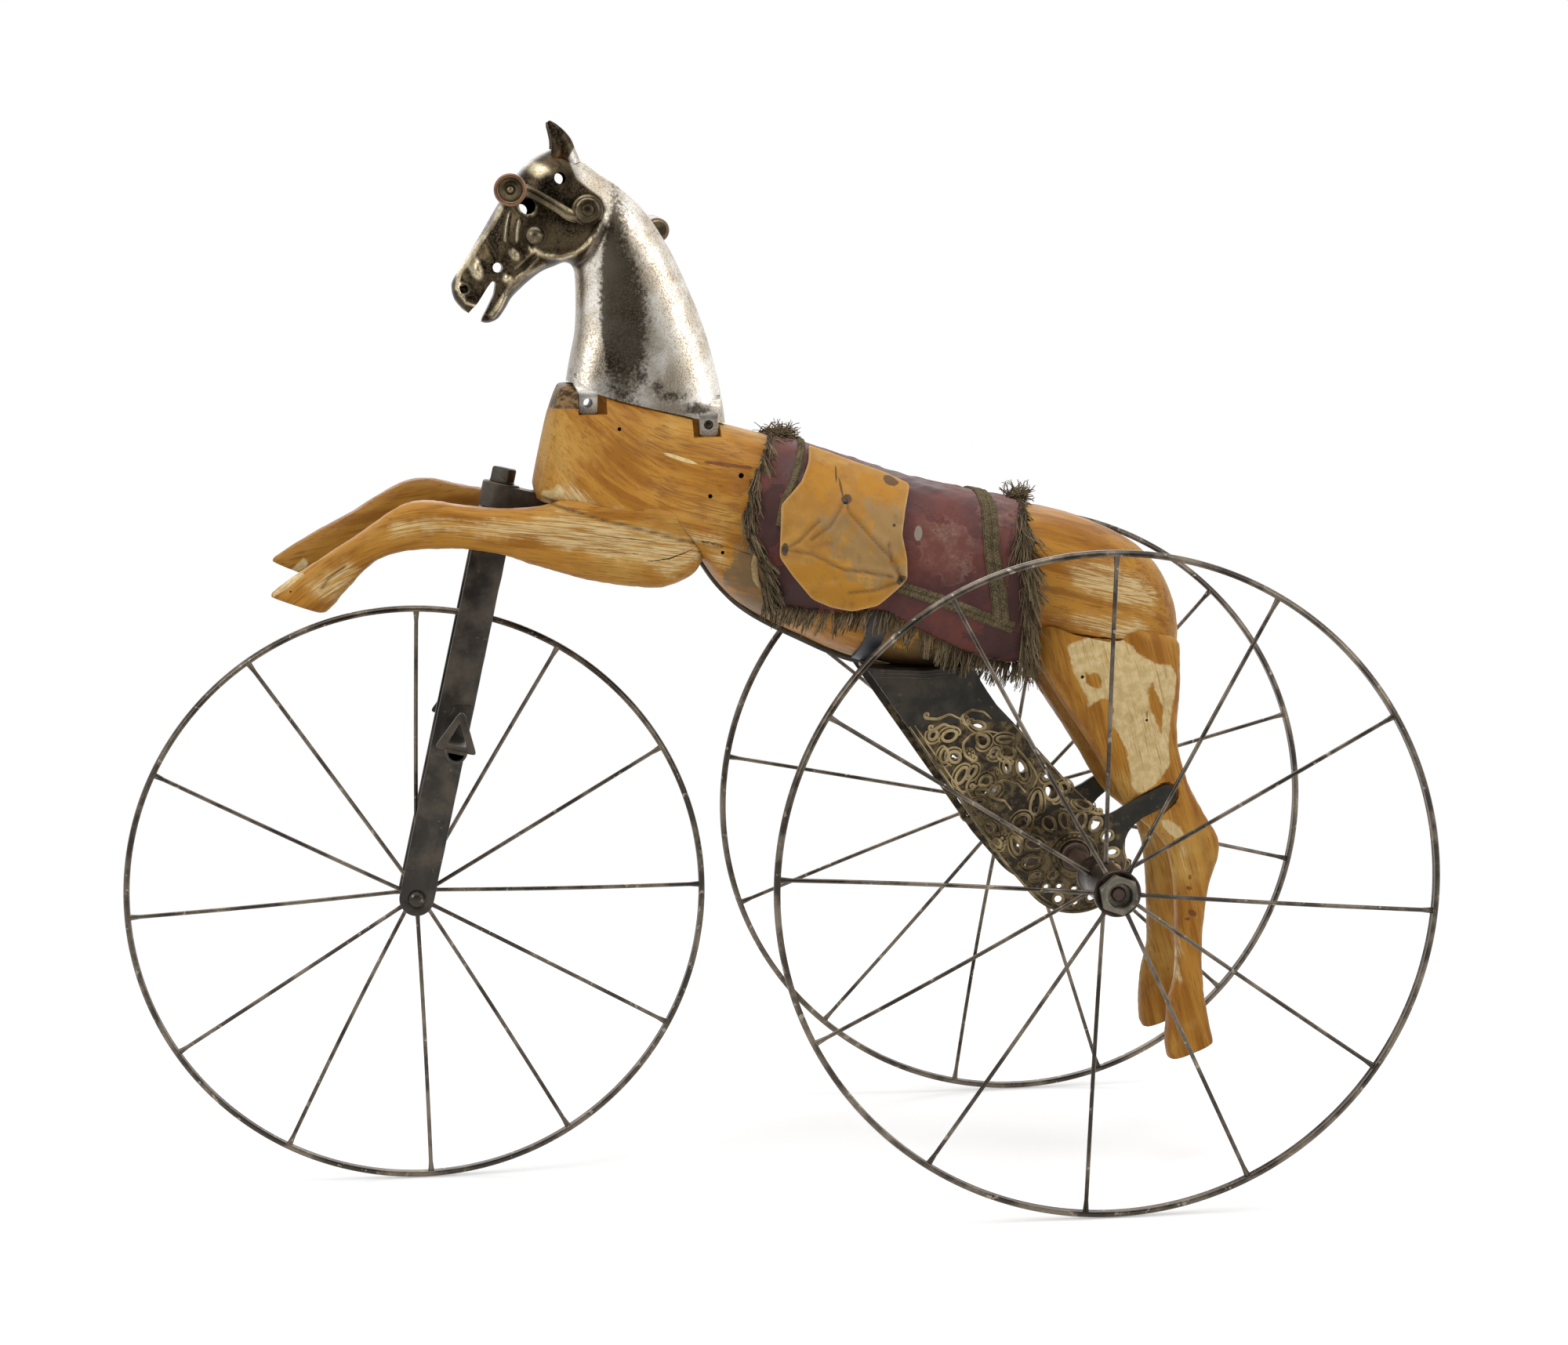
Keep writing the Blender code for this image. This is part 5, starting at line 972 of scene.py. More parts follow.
casting = {
    # back x, back z, front x, front z, half width as a share of the neck's, squareness
    "rows": [
        (274, 355, 408, 380, 1.00, 3.6), (276, 375, 404, 398, 0.985, 3.0), (280, 398, 401, 414, 0.97, 2.6),
        (289, 434, 396, 438, 0.94, 2.3), (301, 467, 394.5, 466, 0.93, 2.2), (319, 506, 395.5, 487, 0.95, 2.2),
        (345, 544, 402, 493, 1.00, 2.2), (377, 569, 412, 490, 1.08, 2.3), (402, 586, 422, 486, 1.12, 2.4),
        (424, 579, 432, 479, 1.10, 2.4), (439, 566, 440, 472, 1.02, 2.4), (456, 541, 447, 465, 0.86, 2.4),
        (472, 515, 452, 457, 0.68, 2.4), (484, 496, 458, 449, 0.57, 2.5), (494, 481, 464, 445.8, 0.50, 2.6),
        (495.4, 473, 469, 445.3, 0.46, 2.6), (493.2, 464.5, 473.5, 447, 0.42, 2.5),
        (487.5, 457, 478, 450.5, 0.34, 2.4)],
    "halfWidth": 31, "wall": 4, "steps": 250, "sides": 132, "hollowRows": 12,
    # raised and sunken forms on each side: x, z, half length, half width, turn, height
    "forms": [(424, 568, 13, 7.5, 25, 2.8), (433, 540, 12, 10, 0, -2.2), (401, 560, 9, 9, 0, -2.2),
              (410, 580, 10, 2.6, 90, -2.2), (445, 500.5, 5.6, 3.4, 50, 4.2), (476, 490.5, 10, 5, 72, 4.6),
              (484, 461.5, 5.5, 4.5, 0, 2.0), (450.7, 480.7, 4.6, 3.6, 0, 3.2), (404, 519, 17, 15, 0, 2.0),
              (463, 508, 13, 3, 63, -2.2), (433, 495, 9, 2, -42, -1.6)],
    # ridges and grooves on each side: half width, height, a line in side view
    "ridges": [(2.4, 2.8, [(431.6, 504.9), (421.4, 499), (407, 496.8), (394.6, 500.1), (384.1, 508.1),
                           (377.6, 517.2), (373.2, 529.4)]),
               (3.0, -2.8, [(392.8, 490.8), (382.2, 498.8), (375.8, 509), (370.9, 521.2)]),
               (2.4, 2.9, [(454, 538), (461.4, 525), (476.4, 504.5), (489.3, 486), (491, 474)]),
               (2.0, 2.2, [(478, 459.5), (484, 462), (489, 469)]), (1.8, 2.0, [(462, 450.5), (457, 457), (453, 467)]),
               (3.4, 2.0, [(464.6, 451), (457, 461.2), (449.5, 472.3), (435.8, 483.4), (421, 491.3)]),
               (1.7, 1.9, [(448.3, 533), (450.6, 522.7), (451.9, 512)]),
               (1.7, 2.1, [(440.2, 527), (441.8, 520.4), (442.6, 511)]),
               (1.5, 1.9, [(440.5, 538.8), (438, 534), (433.9, 532), (428.7, 533), (426.2, 537)]),
               (1.4, -1.6, [(453, 495), (452, 502.2), (446.9, 507), (440, 506.5), (436, 502)]),
               (1.6, 1.6, [(429.6, 501.8), (438, 493.8), (444, 489)]),
               (1.6, 1.6, [(425.6, 496), (434, 488), (442.4, 482)])],
    "nostril": (485.5, 473, 4.2),
    # where the bronze of the head ends towards the neck: height, distance ahead
    "bronzeEdge": [(430, 432), (466, 425), (478, 404), (490, 394), (499, 386), (519, 375.5), (535, 369), (544, 372),
                   (560, 392), (577, 398), (590, 390)],
    # the painted dark reflection band down the neck: height, its front edge, its rear edge
    "band": [(385, 372, 344), (415, 376, 339), (447, 377, 336), (478, 376.5, 339), (506, 374, 349), (535, 367, 355),
             (560, 366, 362)],
    # dark places along the foot: x, z, half length, half height
    "footSpots": [(360, 386, 14, 7), (331, 390, 7, 9), (320, 383, 16, 6), (300, 372, 16, 6), (345, 400, 9, 10)],
    "mouth": [(459.5, 478), (462.5, 479.5), (466.5, 474.5), (474.5, 462), (482.5, 453.8), (486, 447), (479, 439),
              (472.5, 443), (471.8, 448.6), (467.5, 456), (461.3, 468)],
    "holes": [(406, 561, 4.8), (458, 490, 4.1)],
    "eyes": [(433, 539, 6.6, 0, 60), (436.6, 535.8, 5.4, -60, 0)],
    "crank": (386, 534.5), "crankBore": 5.9, "bossRadius": 12.5, "bossY": 46.5,
    "cheek": (427.8, 515.3, 8.2, 40.5), "seamGap": 0.3,
    "earRoot": (403, 580), "earTip": (413.5, 607.2), "earY": 17,
    # the ear at each share of its height: half depth, half width
    "earDepth": [(-0.35, 11), (0, 10.5), (0.35, 8.2), (0.7, 5.2), (0.9, 3.0), (1, 1.0)],
    "earWidth": [(-0.35, 7), (0, 6.8), (0.4, 5.6), (0.75, 3.6), (1, 0.8)],
}


def formHeight(x, z, forms):
    # Sum of oval hills and hollows, each height * exp(-(distance in its own half sizes) ** 2).
    total = np.zeros(x.shape)
    for middleX, middleZ, long, wide, turn, height in forms:
        angle = math.radians(turn)
        along = (x - middleX) * math.cos(angle) + (z - middleZ) * math.sin(angle)
        across = (z - middleZ) * math.cos(angle) - (x - middleX) * math.sin(angle)
        total += height * np.exp(-(along / long) ** 2 - (across / wide) ** 2)
    return total


def ridgeHeight(x, z):
    # Each ridge or groove is height * exp(-(distance to its line / half width) ** 2), and the nostril
    # a raised ring round a deep hole.
    total = sum(height * lineShare(x, z, [line], wide) for wide, height, line in casting["ridges"])
    middleX, middleZ, radius = casting["nostril"]
    away = np.hypot(x - middleX, z - middleZ)
    return total + 1.7 * np.exp(-((away - radius) / 1.7) ** 2) - 1.9 * np.exp(-(away / 2.6) ** 2)


def castingRings(steps, rows=None, grow=0.0):
    table = splineRows(casting["rows"][:rows], steps)
    return superRings(np.column_stack([table[:, :4], np.zeros(steps), table[:, 4] * casting["halfWidth"],
                                       np.ones(steps), table[:, 5], table[:, 5]]), casting["sides"], grow)


def modelledCasting():
    # The casting's outer skin with the forms of the face pushed out or in across the machine.
    rings = castingRings(casting["steps"])
    x, y, z = np.moveaxis((rings - rearAxle) / mm, -1, 0)
    facing = smoothStep(np.abs(y) / np.abs(y).max(axis=1, keepdims=True), 0.15, 0.95)
    height = formHeight(x, z, casting["forms"]) + ridgeHeight(x, z)
    rings[..., 1] += np.sign(y) * height * facing * mm
    rings[-1] = rings[-1].mean(0) + (rings[-1] - rings[-1].mean(0)) * 0.8
    return closedLoft("casting", rings)


def ear(side):
    # An upright pointed ear with a sharp ridge outside and a hollow towards the front. Its table
    # gives depth and width at each share of its height.
    share = np.linspace(-0.35, 1.0, 40)
    depth = np.interp(share, *np.transpose(casting["earDepth"]))
    width = np.interp(share, *np.transpose(casting["earWidth"]))
    (rootX, rootZ), (tipX, tipZ) = casting["earRoot"], casting["earTip"]
    turn = fullTurn(48)[None, :]
    bow = -3.0 * np.sin(np.clip(share, 0, 1) * math.pi)[:, None]
    lobe = 1 - 0.42 * np.exp(-((turn - 0.9) / 0.45) ** 2) * np.clip(share + 0.1, 0, 1)[:, None]
    share, depth, width = share[:, None], depth[:, None], width[:, None]
    x = rootX + (tipX - rootX) * share + bow + depth * np.cos(turn) * lobe
    z = rootZ + (tipZ - rootZ) * share - 0.35 * depth * np.cos(turn)
    y = side * (casting["earY"] + width * np.sin(turn) * lobe)
    return closedLoft("ear", np.stack([x, y, z], -1) * mm + rearAxle)


def dome(x, z, radius, startY, topY, side, flat=0.0):
    # A round knob that ends in half a ball, or in a flat face where flat is its share.
    turn = np.linspace(0, math.pi / 2, 12)
    top = max(startY, topY - radius * (1 - flat))
    radii = radius * np.concatenate([[1], np.maximum(np.cos(turn), 0.02)])
    along = np.concatenate([[startY], top + (topY - top) * np.sin(turn)])
    return lathe("dome", np.column_stack([radii, along]), 40, np.array([x, 0, z]) * mm + rearAxle, side)


def lug(row, side):
    # A flat tongue with a rounded foot in its pocket in the wood, which runs up into the casting:
    # its outer face falls back from the lug's to just under the neck's skin.
    holeX, holeZ, lowZ, _, _, rise, skin = row
    half, corner, top, edge = trunk["lugWidth"] / 2, 2.8, holeZ + rise, 0.7
    z = np.concatenate([lowZ + corner * np.array([0, 0.12, 0.4, 1.0]), np.linspace(lowZ + 4, top, 14)])
    foot = np.clip((lowZ + corner - z) / corner, 0, 1)
    spread = np.minimum(0.035 * np.maximum(z - holeZ - 5, 0) ** 2, 3.2)
    width = half - corner * (1 - np.sqrt(1 - foot ** 2)) + spread
    outer = trunk["lugOuter"] + (skin - trunk["lugOuter"]) * smoothStep(z, holeZ + 5.5, top)
    inner = np.minimum(trunk["lugInner"], outer - 3)
    x = np.stack([-width, width, width, width - edge, edge - width, -width], 1) + holeX
    y = side * np.stack([inner, inner, outer - edge, outer, outer, outer - edge], 1)
    return closedLoft("lug", np.stack([x, y, np.repeat(z[:, None], 6, 1)], -1) * mm + rearAxle)


def bronzeShare(x, y, z):
    # One on the head, a little on the neck's front edge and along its foot.
    head = smoothStep(x - np.interp(z, *np.transpose(casting["bronzeEdge"])), -5, 6)
    front = 0.44 * smoothStep(x, 381, 393)
    foot = 0.42 * smoothStep(-z, -392, -372) + 0.30 * smoothStep(x, 392, 399)
    return np.maximum.reduce([head, front, foot])


def reflectionBandShare(x, y, z):
    # One in the painted dark reflection band down the neck, with a sharper front edge and a soft rear one, and in the
    # dark spots along the foot.
    heights, front, rear = np.transpose(casting["band"])
    front, rear = np.interp(z, heights, front), np.interp(z, heights, rear)
    streak = smoothStep(front + 5 - x, 0, 12) * smoothStep(x - rear + 12, 0, 26)
    spots = [0.75 * np.exp(-((x - spotX) / long) ** 2 - ((z - spotZ) / high) ** 2)
             for spotX, spotZ, long, high in casting["footSpots"]]
    return np.maximum.reduce([streak * (0.55 + 0.45 * smoothStep(z, 380, 425))] + spots)


def polishShare(x, y, z):
    # The heights of the face, rubbed bright, with painted highlights on them and on the cheek's ball.
    rise = formHeight(x, z, [row for row in casting["forms"] if row[5] > 2.5]) + ridgeHeight(x, z)
    x0, z0, radius = casting["cheek"][:3]
    bulb = np.exp(-(np.hypot(x - x0, z - z0) / radius) ** 4)
    return smoothStep(x, 372, 380) * np.maximum(0.9 * smoothStep(rise, 0.9, 2.8), 0.35 * bulb)


def hollowShade(x, y, z):
    # Painted shade, with some dirt, in the hollows of the face and round the bosses.
    rings = [(casting["cheek"], casting["cheek"][2] + 1.2, 1.6, 1.0),
             (casting["crank"], casting["bossRadius"] + 1.5, 1.8, 0.8)]
    shades = [share * np.exp(-((np.hypot(x - place[0], z - place[1]) - radius) / wide) ** 2)
              for place, radius, wide, share in rings]
    low = np.clip(-(formHeight(x, z, casting["forms"]) + ridgeHeight(x, z)) / 2.2, 0, 1)
    return np.maximum.reduce(shades + [low])


def addHead():
    whole = modelledCasting()
    x, z, radius, top = casting["cheek"]
    carve(whole, [ear(1), ear(-1)] + [dome(x, z, radius, 20, top, side) for side in (1, -1)], "UNION")
    inner = castingRings(90, casting["hollowRows"], -casting["wall"])
    inner[0] -= np.array([0, 0, 12]) * mm
    carve(whole, closedLoft("hollow", inner))
    x, z = casting["crank"]
    carve(whole, [dome(x, z, casting["bossRadius"], 22, casting["bossY"], side, 0.82) for side in (1, -1)],
          "UNION")
    carve(whole, [drill(*row, -60, 60) for row in casting["holes"]]
          + [drill(*row) for row in casting["eyes"] + [(x, z, casting["crankBore"], -60, 60)]]
          + [prism("mouth", roundedPath(casting["mouth"], 60, True, 1), -40, 40)])
    carve(whole, trunkSeat(trunk["neckGap"]))
    carve(whole, [lug(row, side) for row in trunk["lugs"] for side in (1, -1)], "UNION")
    carve(whole, [drill(row[0], row[1], trunk["lugHole"], side * 26 - 8, side * 26 + 8)
                  for row in trunk["lugs"] for side in (1, -1)])
    for side, word in reversed(bothSides):
        half = linked("castHead" + word, whole.data.copy())
        carve(half, boxCutter(150, 700, side * casting["seamGap"] / 2, side * 200, 200, 800), "INTERSECT")
        paintVertices(half, bronze=bronzeShare, band=reflectionBandShare, polish=polishShare, dirt=hollowShade)
        finished(half, "platedCasting", "frame", "head_half_" + word.lower(), 42)
    bpy.data.objects.remove(whole)


def addScrew(name, x, z, y, side, radius=3.4, turn=25):
    # A countersunk screw head with a slot across it.
    head = dome(x, z, radius, y - 3, y, side, 0.75)
    cut = prism("slot", [(-radius, -0.45), (radius, -0.45), (radius, 0.45), (-radius, 0.45)], -1, 1, False)
    cut.data.transform(Matrix.Translation(np.array([x, side * y, z]) * mm + rearAxle)
                       @ Matrix.Rotation(math.radians(turn), 4, "Y"))
    carve(head, cut)
    head.name = name
    finished(head, "wheelIron", "frame", smooth=False)


addHead()
for side, word in bothSides:
    addScrew("lugScrew" + word, *trunk["lugs"][1][:2], 29.4, side)
print("cast head")


# ---- wheels and axles

wheels = {
    "rearRadius": 265.0, "frontRadius": 240.3, "rearCentre": (-257.15, 0, 265.0),
    "frontCentre": (281.85, 0, 240.3), "track": 461.7, "rimDepth": 5.0, "rimHalfWidth": 4.5,
    "rimSteps": 240, "spokeRadius": 1.7, "spokeStep": 29.5, "spokeCount": 12,
    "first": {"Front": 91.7, "Left": 186.3, "Right": 134.8},
    "rearHub": 16.5, "rearInboard": 55, "rearOutboard": 33, "flangeRadius": 18.5, "flangeWidth": 5,
    "rearSpokeInboard": 18, "frontHub": 12.5, "frontHubHalf": 20, "frontSpokeOffset": 16,
    "axleRadius": 7.5, "axleEnd": 5.4, "frontAxle": 5.0, "nutAcross": 27.6, "nutLength": 9.5,
}


def addRim(name, radius, centre, body, node, seed):
    # A half-round tyre of iron: flat inside, oval outside, a little out of true.
    turn = np.linspace(0, math.pi, 17)
    half, depth = wheels["rimHalfWidth"], wheels["rimDepth"]
    low = radius - depth
    outer = np.column_stack([low + 0.7 + (depth - 0.7) * np.sin(turn) ** 0.8, half * np.cos(turn)])
    inner = [(low, -half * 0.86), (low + 0.5, -half * 0.3), (low + 0.5, half * 0.3), (low, half * 0.86)]
    profile = np.vstack([outer, inner])
    angle = fullTurn(wheels["rimSteps"])
    phase = np.random.default_rng(seed).uniform(0, math.tau, 4)
    wave = sum(0.22 / k * np.sin(k * angle + phase[k - 2]) for k in (2, 3, 5))
    lean = sum(0.35 / k * np.sin(k * angle + phase[k - 1]) for k in (2, 3))
    reach = profile[:, :1] - 0.3 + wave * 0.6
    points = np.stack([reach * np.cos(angle), profile[:, 1:] + lean, reach * np.sin(angle)], -1) * mm
    piece = meshObject(name, points + metres(centre), gridFaces(len(profile), len(angle), True, True))
    finished(piece, "wheelIron", body, node, 50)


def spokeTubes(rimRadius, hubRadius, first, offsets, centre, seed):
    # Rods from the hub's two ends to the middle of the rim, thicker where they are riveted.
    slack = np.random.default_rng(seed)
    tubes = []
    share = np.linspace(0, 1, 26)
    swell = 1 + 0.55 * np.exp(-((share - 1) / 0.018) ** 2) + 0.35 * np.exp(-(share / 0.02) ** 2)
    for index in range(wheels["spokeCount"]):
        angle = math.radians(first + index * wheels["spokeStep"])
        out = np.array([math.cos(angle), 0, math.sin(angle)])
        start = out * hubRadius * 0.8 + np.array([0, offsets[index % 2], 0])
        end = out * (rimRadius - wheels["rimDepth"] + 1.0)
        bow = slack.normal(0, 0.8) * np.sin(share * math.pi)
        path = start + (end - start) * share[:, None] + np.array([-out[2], 0, out[0]]) * bow[:, None]
        tubes.append(addTube("spoke", path * mm + metres(centre), wheels["spokeRadius"] * swell * mm))
    return tubes


def addHub(name, profile, side, reach, tubes, centre, body, node):
    # The barrel and its flanges are brown out to the given reach, the spokes bright.
    piece = joined(name, [lathe("barrel", profile, 96, metres(centre), side, closed=True)] + tubes)
    middle = (metres(centre) - rearAxle) / mm
    paintVertices(piece, hub=lambda x, y, z: np.hypot(x - middle[0], z - middle[2]) < reach)
    finished(piece, "wheelIron", body, node, 42)


def addRearWheel(side, word, body):
    centre = np.array(wheels["rearCentre"]) + np.array([0, side * wheels["track"] / 2, 0])
    addRim("rearRim" + word, wheels["rearRadius"], centre, body, "rear_rim_" + word.lower(), 21 + side)
    hub, inboard, outboard = wheels["rearHub"], wheels["rearInboard"], wheels["rearOutboard"]
    flange, bore = wheels["flangeRadius"], wheels["axleRadius"] + 0.3
    shoulder = outboard - wheels["flangeWidth"]
    profile = [(bore, -inboard), (hub - 1.2, -inboard), (hub, -inboard + 1.2), (hub, -inboard + 7),
               (hub - 0.9, -inboard + 8), (hub - 0.9, -10), (hub - 0.4, 6), (hub - 0.1, shoulder - 3),
               (hub + 0.6, shoulder - 0.4), (flange - 0.5, shoulder), (flange, shoulder + 0.6),
               (flange, outboard - 1.0), (flange - 0.9, outboard), (hub - 1.5, outboard),
               (hub - 2.4, outboard - 0.5), (bore, outboard - 0.5)]
    offsets = (side * (outboard - wheels["flangeWidth"] / 2), -side * wheels["rearSpokeInboard"])[::side]
    tubes = spokeTubes(wheels["rearRadius"], hub, wheels["first"][word], offsets, centre, 31 + side)
    addHub("rearHub" + word, profile, side, flange + 0.6, tubes, centre, body, "rear_hub_" + word.lower())
    addNut(side, word, metres(centre))


def addNut(side, word, centre):
    # A worn six-sided nut, chamfered and hollow at its end round the axle.
    start = wheels["rearOutboard"] + 0.3
    end = start + wheels["nutLength"]
    outline = circle(np.linspace(0, math.tau, 7)[:-1] + 0.35, wheels["nutAcross"] / math.sqrt(3))
    nut = prism("rearNut" + word, outline, side * start, side * end, False)
    nut.data.transform(Matrix.Translation(centre))
    chamfer = [(13.0, end + 0.6), (16.2, end - 1.5), (20, end - 3.4), (20, start - 1), (8, start - 1)]
    carve(nut, lathe("chamfer", chamfer, 72, centre, side), "INTERSECT")
    carve(nut, lathe("bore", [(5.7, start - 5), (5.7, end + 5)], 40, centre, side))
    carve(nut, lathe("cup", [(8.6, end - 8.6), (9.4, end - 7.8), (10.1, end + 1.5)], 48, centre, side))
    bevelled(nut, 0.5, 2, 35)
    finished(nut, "wornNut", "rear_axle", "rear_nut_" + word.lower(), 40)


def addRearAxle():
    centre = metres(wheels["rearCentre"])
    shoulder = wheels["track"] / 2 + wheels["rearOutboard"]
    end = shoulder + 0.3 + wheels["nutLength"] - 6.0
    thin, thick = wheels["axleEnd"], wheels["axleRadius"]
    half = np.array([(thin * 0.55, end), (thin - 0.9, end), (thin, end - 0.9), (thin, shoulder),
                     (thick - 0.4, shoulder), (thick, shoulder - 0.4), (thick, shoulder - 86),
                     (thick + 0.35, shoulder - 88), (thick + 0.35, shoulder - 96), (thick, shoulder - 98),
                     (thick, 0.1)])
    piece = lathe("rearAxleBar", np.vstack([half * (1, -1), half[::-1]]), 64, centre)
    finished(piece, "brownIron", "rear_axle", "rear_axle", 40)
    # The chain wheel: round teeth, a collar, and five windows.
    teeth, perTooth, windowCount, middle, rise, half = 19, 8, 5, 31.4, 2.4, 2.6
    turn = fullTurn(teeth * perTooth)
    outline = circle(turn, middle + rise * np.clip(1.4 * np.cos(turn * teeth), -1, 1))
    wheel = prism("chainWheel", outline, -half, half, False)
    wheel.data.transform(Matrix.Translation(centre))
    carve(wheel, lathe("collar", [(13.4, -7.1), (14, -6.5), (14, 6.5), (13.4, 7.1)], 60, centre), "UNION")
    carve(wheel, lathe("bore", [(7.8, -20), (7.8, 20)], 48, centre))
    angles = fullTurn(windowCount) + 0.3
    carve(wheel, [lathe("window", [(4.6, -20), (4.6, 20)], 24,
                        centre + np.array([math.cos(angle), 0, math.sin(angle)]) * 21.5 * mm) for angle in angles])
    bevelled(wheel, 0.3, 1, 40)
    finished(wheel, "brownIron", "rear_axle", "chain_wheel", 40)


def addFrontWheel():
    centre = wheels["frontCentre"]
    addRim("frontRim", wheels["frontRadius"], centre, "front_wheel", "front_rim", 41)
    end, hub, bore = wheels["frontHubHalf"], wheels["frontHub"], wheels["frontAxle"] + 0.3
    half = np.array([(bore, end), (hub - 0.8, end), (hub, end - 0.8), (hub, end * 0.62), (hub - 0.6, end * 0.55),
                     (hub * 0.82, end * 0.4), (hub * 0.8, 0)])
    offsets = (wheels["frontSpokeOffset"], -wheels["frontSpokeOffset"])
    tubes = spokeTubes(wheels["frontRadius"], hub, wheels["first"]["Front"], offsets, centre, 51)
    addHub("frontHub", np.vstack([half * (1, -1), half[-2::-1]]), 1, hub + 0.6, tubes, centre, "front_wheel",
           "front_hub")


for (side, word), body in zip(bothSides, ("rear_axle", "right_wheel")):
    addRearWheel(side, word, body)
addRearAxle()
addFrontWheel()
print("wheels and axles")


# ---- steering fork, its bracket and the footrests

fork = {
    "origin": (281.85, 0, 240.3), "up": (-0.229834, 0, 0.97323), "headEye": 15.5, "eyeHeight": 22,
    "head": (461.5, 303.5), "outerHalf": 29, "bladeWidth": 28.5, "bladeThickness": 4.8,
    "crownThickness": 7, "crownLow": 318.2, "bolt": 6.0, "boltHead": 15.5, "boltHeadHeight": 11.8,
    "boltTurn": 20, "footHeight": 138.5, "footReach": 122, "pegX": -3, "pegHalf": 8.8, "pegDepth": 10.4,
    "pegWall": 2.4, "pegRoot": 12, "stirrupY": 116.5, "stirrupThickness": 4.5,
    "stirrup": [(15, -1), (0.5, 31), (-3, 31), (-19.5, -1)],
    "stirrupGap": [(5.5, 3.6), (-1, 22.5), (-10.5, 3.6)],
    "strapWidth": 30, "strapThickness": 4.5,
    "pegPlate": [(3.5, 163), (-12.5, 166), (-13.5, 160), (-12, 120), (9, 120), (10, 150), (3, 158)],
}
fork["length"] = fork["crownLow"] + fork["crownThickness"] + 1.0 + fork["eyeHeight"] / 2


def forkSpace(piece):
    # Moves a mesh from the fork's own millimetres to its place on the machine.
    up = Vector(fork["up"])
    turn = Matrix((Vector((up.z, 0, -up.x)), (0, 1, 0), up)).transposed().to_4x4()
    piece.data.transform(Matrix.Translation(metres(fork["origin"])) @ turn)
    return piece


def forkPrism(name, outline, lowY, highY):
    return forkSpace(prism(name, outline, lowY, highY, False))


def forkRod(name, profile):
    # A profile of radius and height spun round the steering axis.
    profile = np.asarray(profile, float)
    turn = fullTurn(48)
    points = np.stack([profile[:, :1] * np.cos(turn), profile[:, :1] * np.sin(turn),
                       np.repeat(profile[:, 1:], len(turn), 1)], -1) * mm
    return forkSpace(closedLoft(name, points))


def pegOutline(wall):
    half, depth, top = fork["pegHalf"] - wall, fork["pegDepth"] - 2 * wall, fork["footHeight"] - wall
    turn = np.linspace(0, math.pi, 22)[1:-1]
    return [(fork["pegX"] - half, top), (fork["pegX"] + half, top)] + [
        (fork["pegX"] + half * math.cos(t), top - depth * math.sin(t)) for t in turn]


def addFork():
    low, top = fork["crownLow"], fork["crownLow"] + fork["crownThickness"]
    half, outer, gap = fork["bladeWidth"] / 2, fork["outerHalf"], 0.3
    crown = forkPrism("forkCrown", [(-half, low), (half, low), (half, top), (-half, top)], -outer, outer)
    carve(crown, forkRod("hole", [(fork["bolt"] + gap, low - 10), (fork["bolt"] + gap, top + 10)]))
    bevelled(crown, 1.2, 3)
    finished(crown, "darkIron", "fork", "fork_crown")
    rear = evenPath([(-half, low - gap), (-half, 0)], 30)[1:-1]
    rear += np.random.default_rng(2).normal(0, 0.10, (28, 1)) * (1, 0)
    outline = np.vstack([[(half, low - gap), (-half, low - gap)], rear,
                         circle(np.linspace(math.pi, math.tau, 28), half)])
    for side, word in bothSides:
        blade = forkPrism("forkBlade" + word, outline, side * (outer - fork["bladeThickness"]), side * outer)
        carve(blade, forkPrism("hole", circle(fullTurn(39), wheels["frontAxle"] + gap), side * 10, side * 60))
        bevelled(blade, 0.9)
        finished(blade, "darkIron", "fork", "fork_blade_" + word.lower())
        start, reach = outer + gap, fork["footReach"]
        peg = forkPrism("footrest" + word, pegOutline(0), side * start, side * reach)
        bevelled(peg, 0.6, 2, 50)
        lift, middle, thin = (0, fork["footHeight"]), fork["stirrupY"], fork["stirrupThickness"] / 2
        loop = forkPrism("stirrup", roundedPath(np.array(fork["stirrup"]) + lift, 44, True, 2),
                         side * (middle - thin), side * (middle + thin))
        carve(loop, forkPrism("gap", roundedPath(np.array(fork["stirrupGap"]) + lift, 36, True, 1),
                              side * (reach - 12), side * (reach + 12)))
        bevelled(loop, 0.7, 2, 40)
        carve(peg, loop, "UNION")
        carve(peg, forkPrism("hollow", pegOutline(fork["pegWall"]), side * (start + fork["pegRoot"]),
                             side * reach * 1.1))
        finished(peg, "darkIron", "fork", "footrest_" + word.lower())
        plate = forkPrism("pegPlate" + word, roundedPath(fork["pegPlate"], 60, True, 2),
                          side * (start - 0.4), side * (start + 2.2))
        bevelled(plate, 0.5)
        finished(plate, "darkIron", "fork")


def addFrontAxle():
    outer, pin, gap = fork["outerHalf"], wheels["frontAxle"], 0.3
    reach = outer + 4.5
    half = np.array([(3.6, reach), (4.7, reach - 0.5), (6.6, outer + 1.8), (7.0, outer + 0.9), (7.0, outer + gap),
                     (pin, outer + gap), (pin, 0.1)])
    axle = lathe("frontAxlePin", np.vstack([half * (1, -1), half[::-1]]), 56, metres(fork["origin"]))
    finished(axle, "wornNut", "fork", "front_axle", 40)


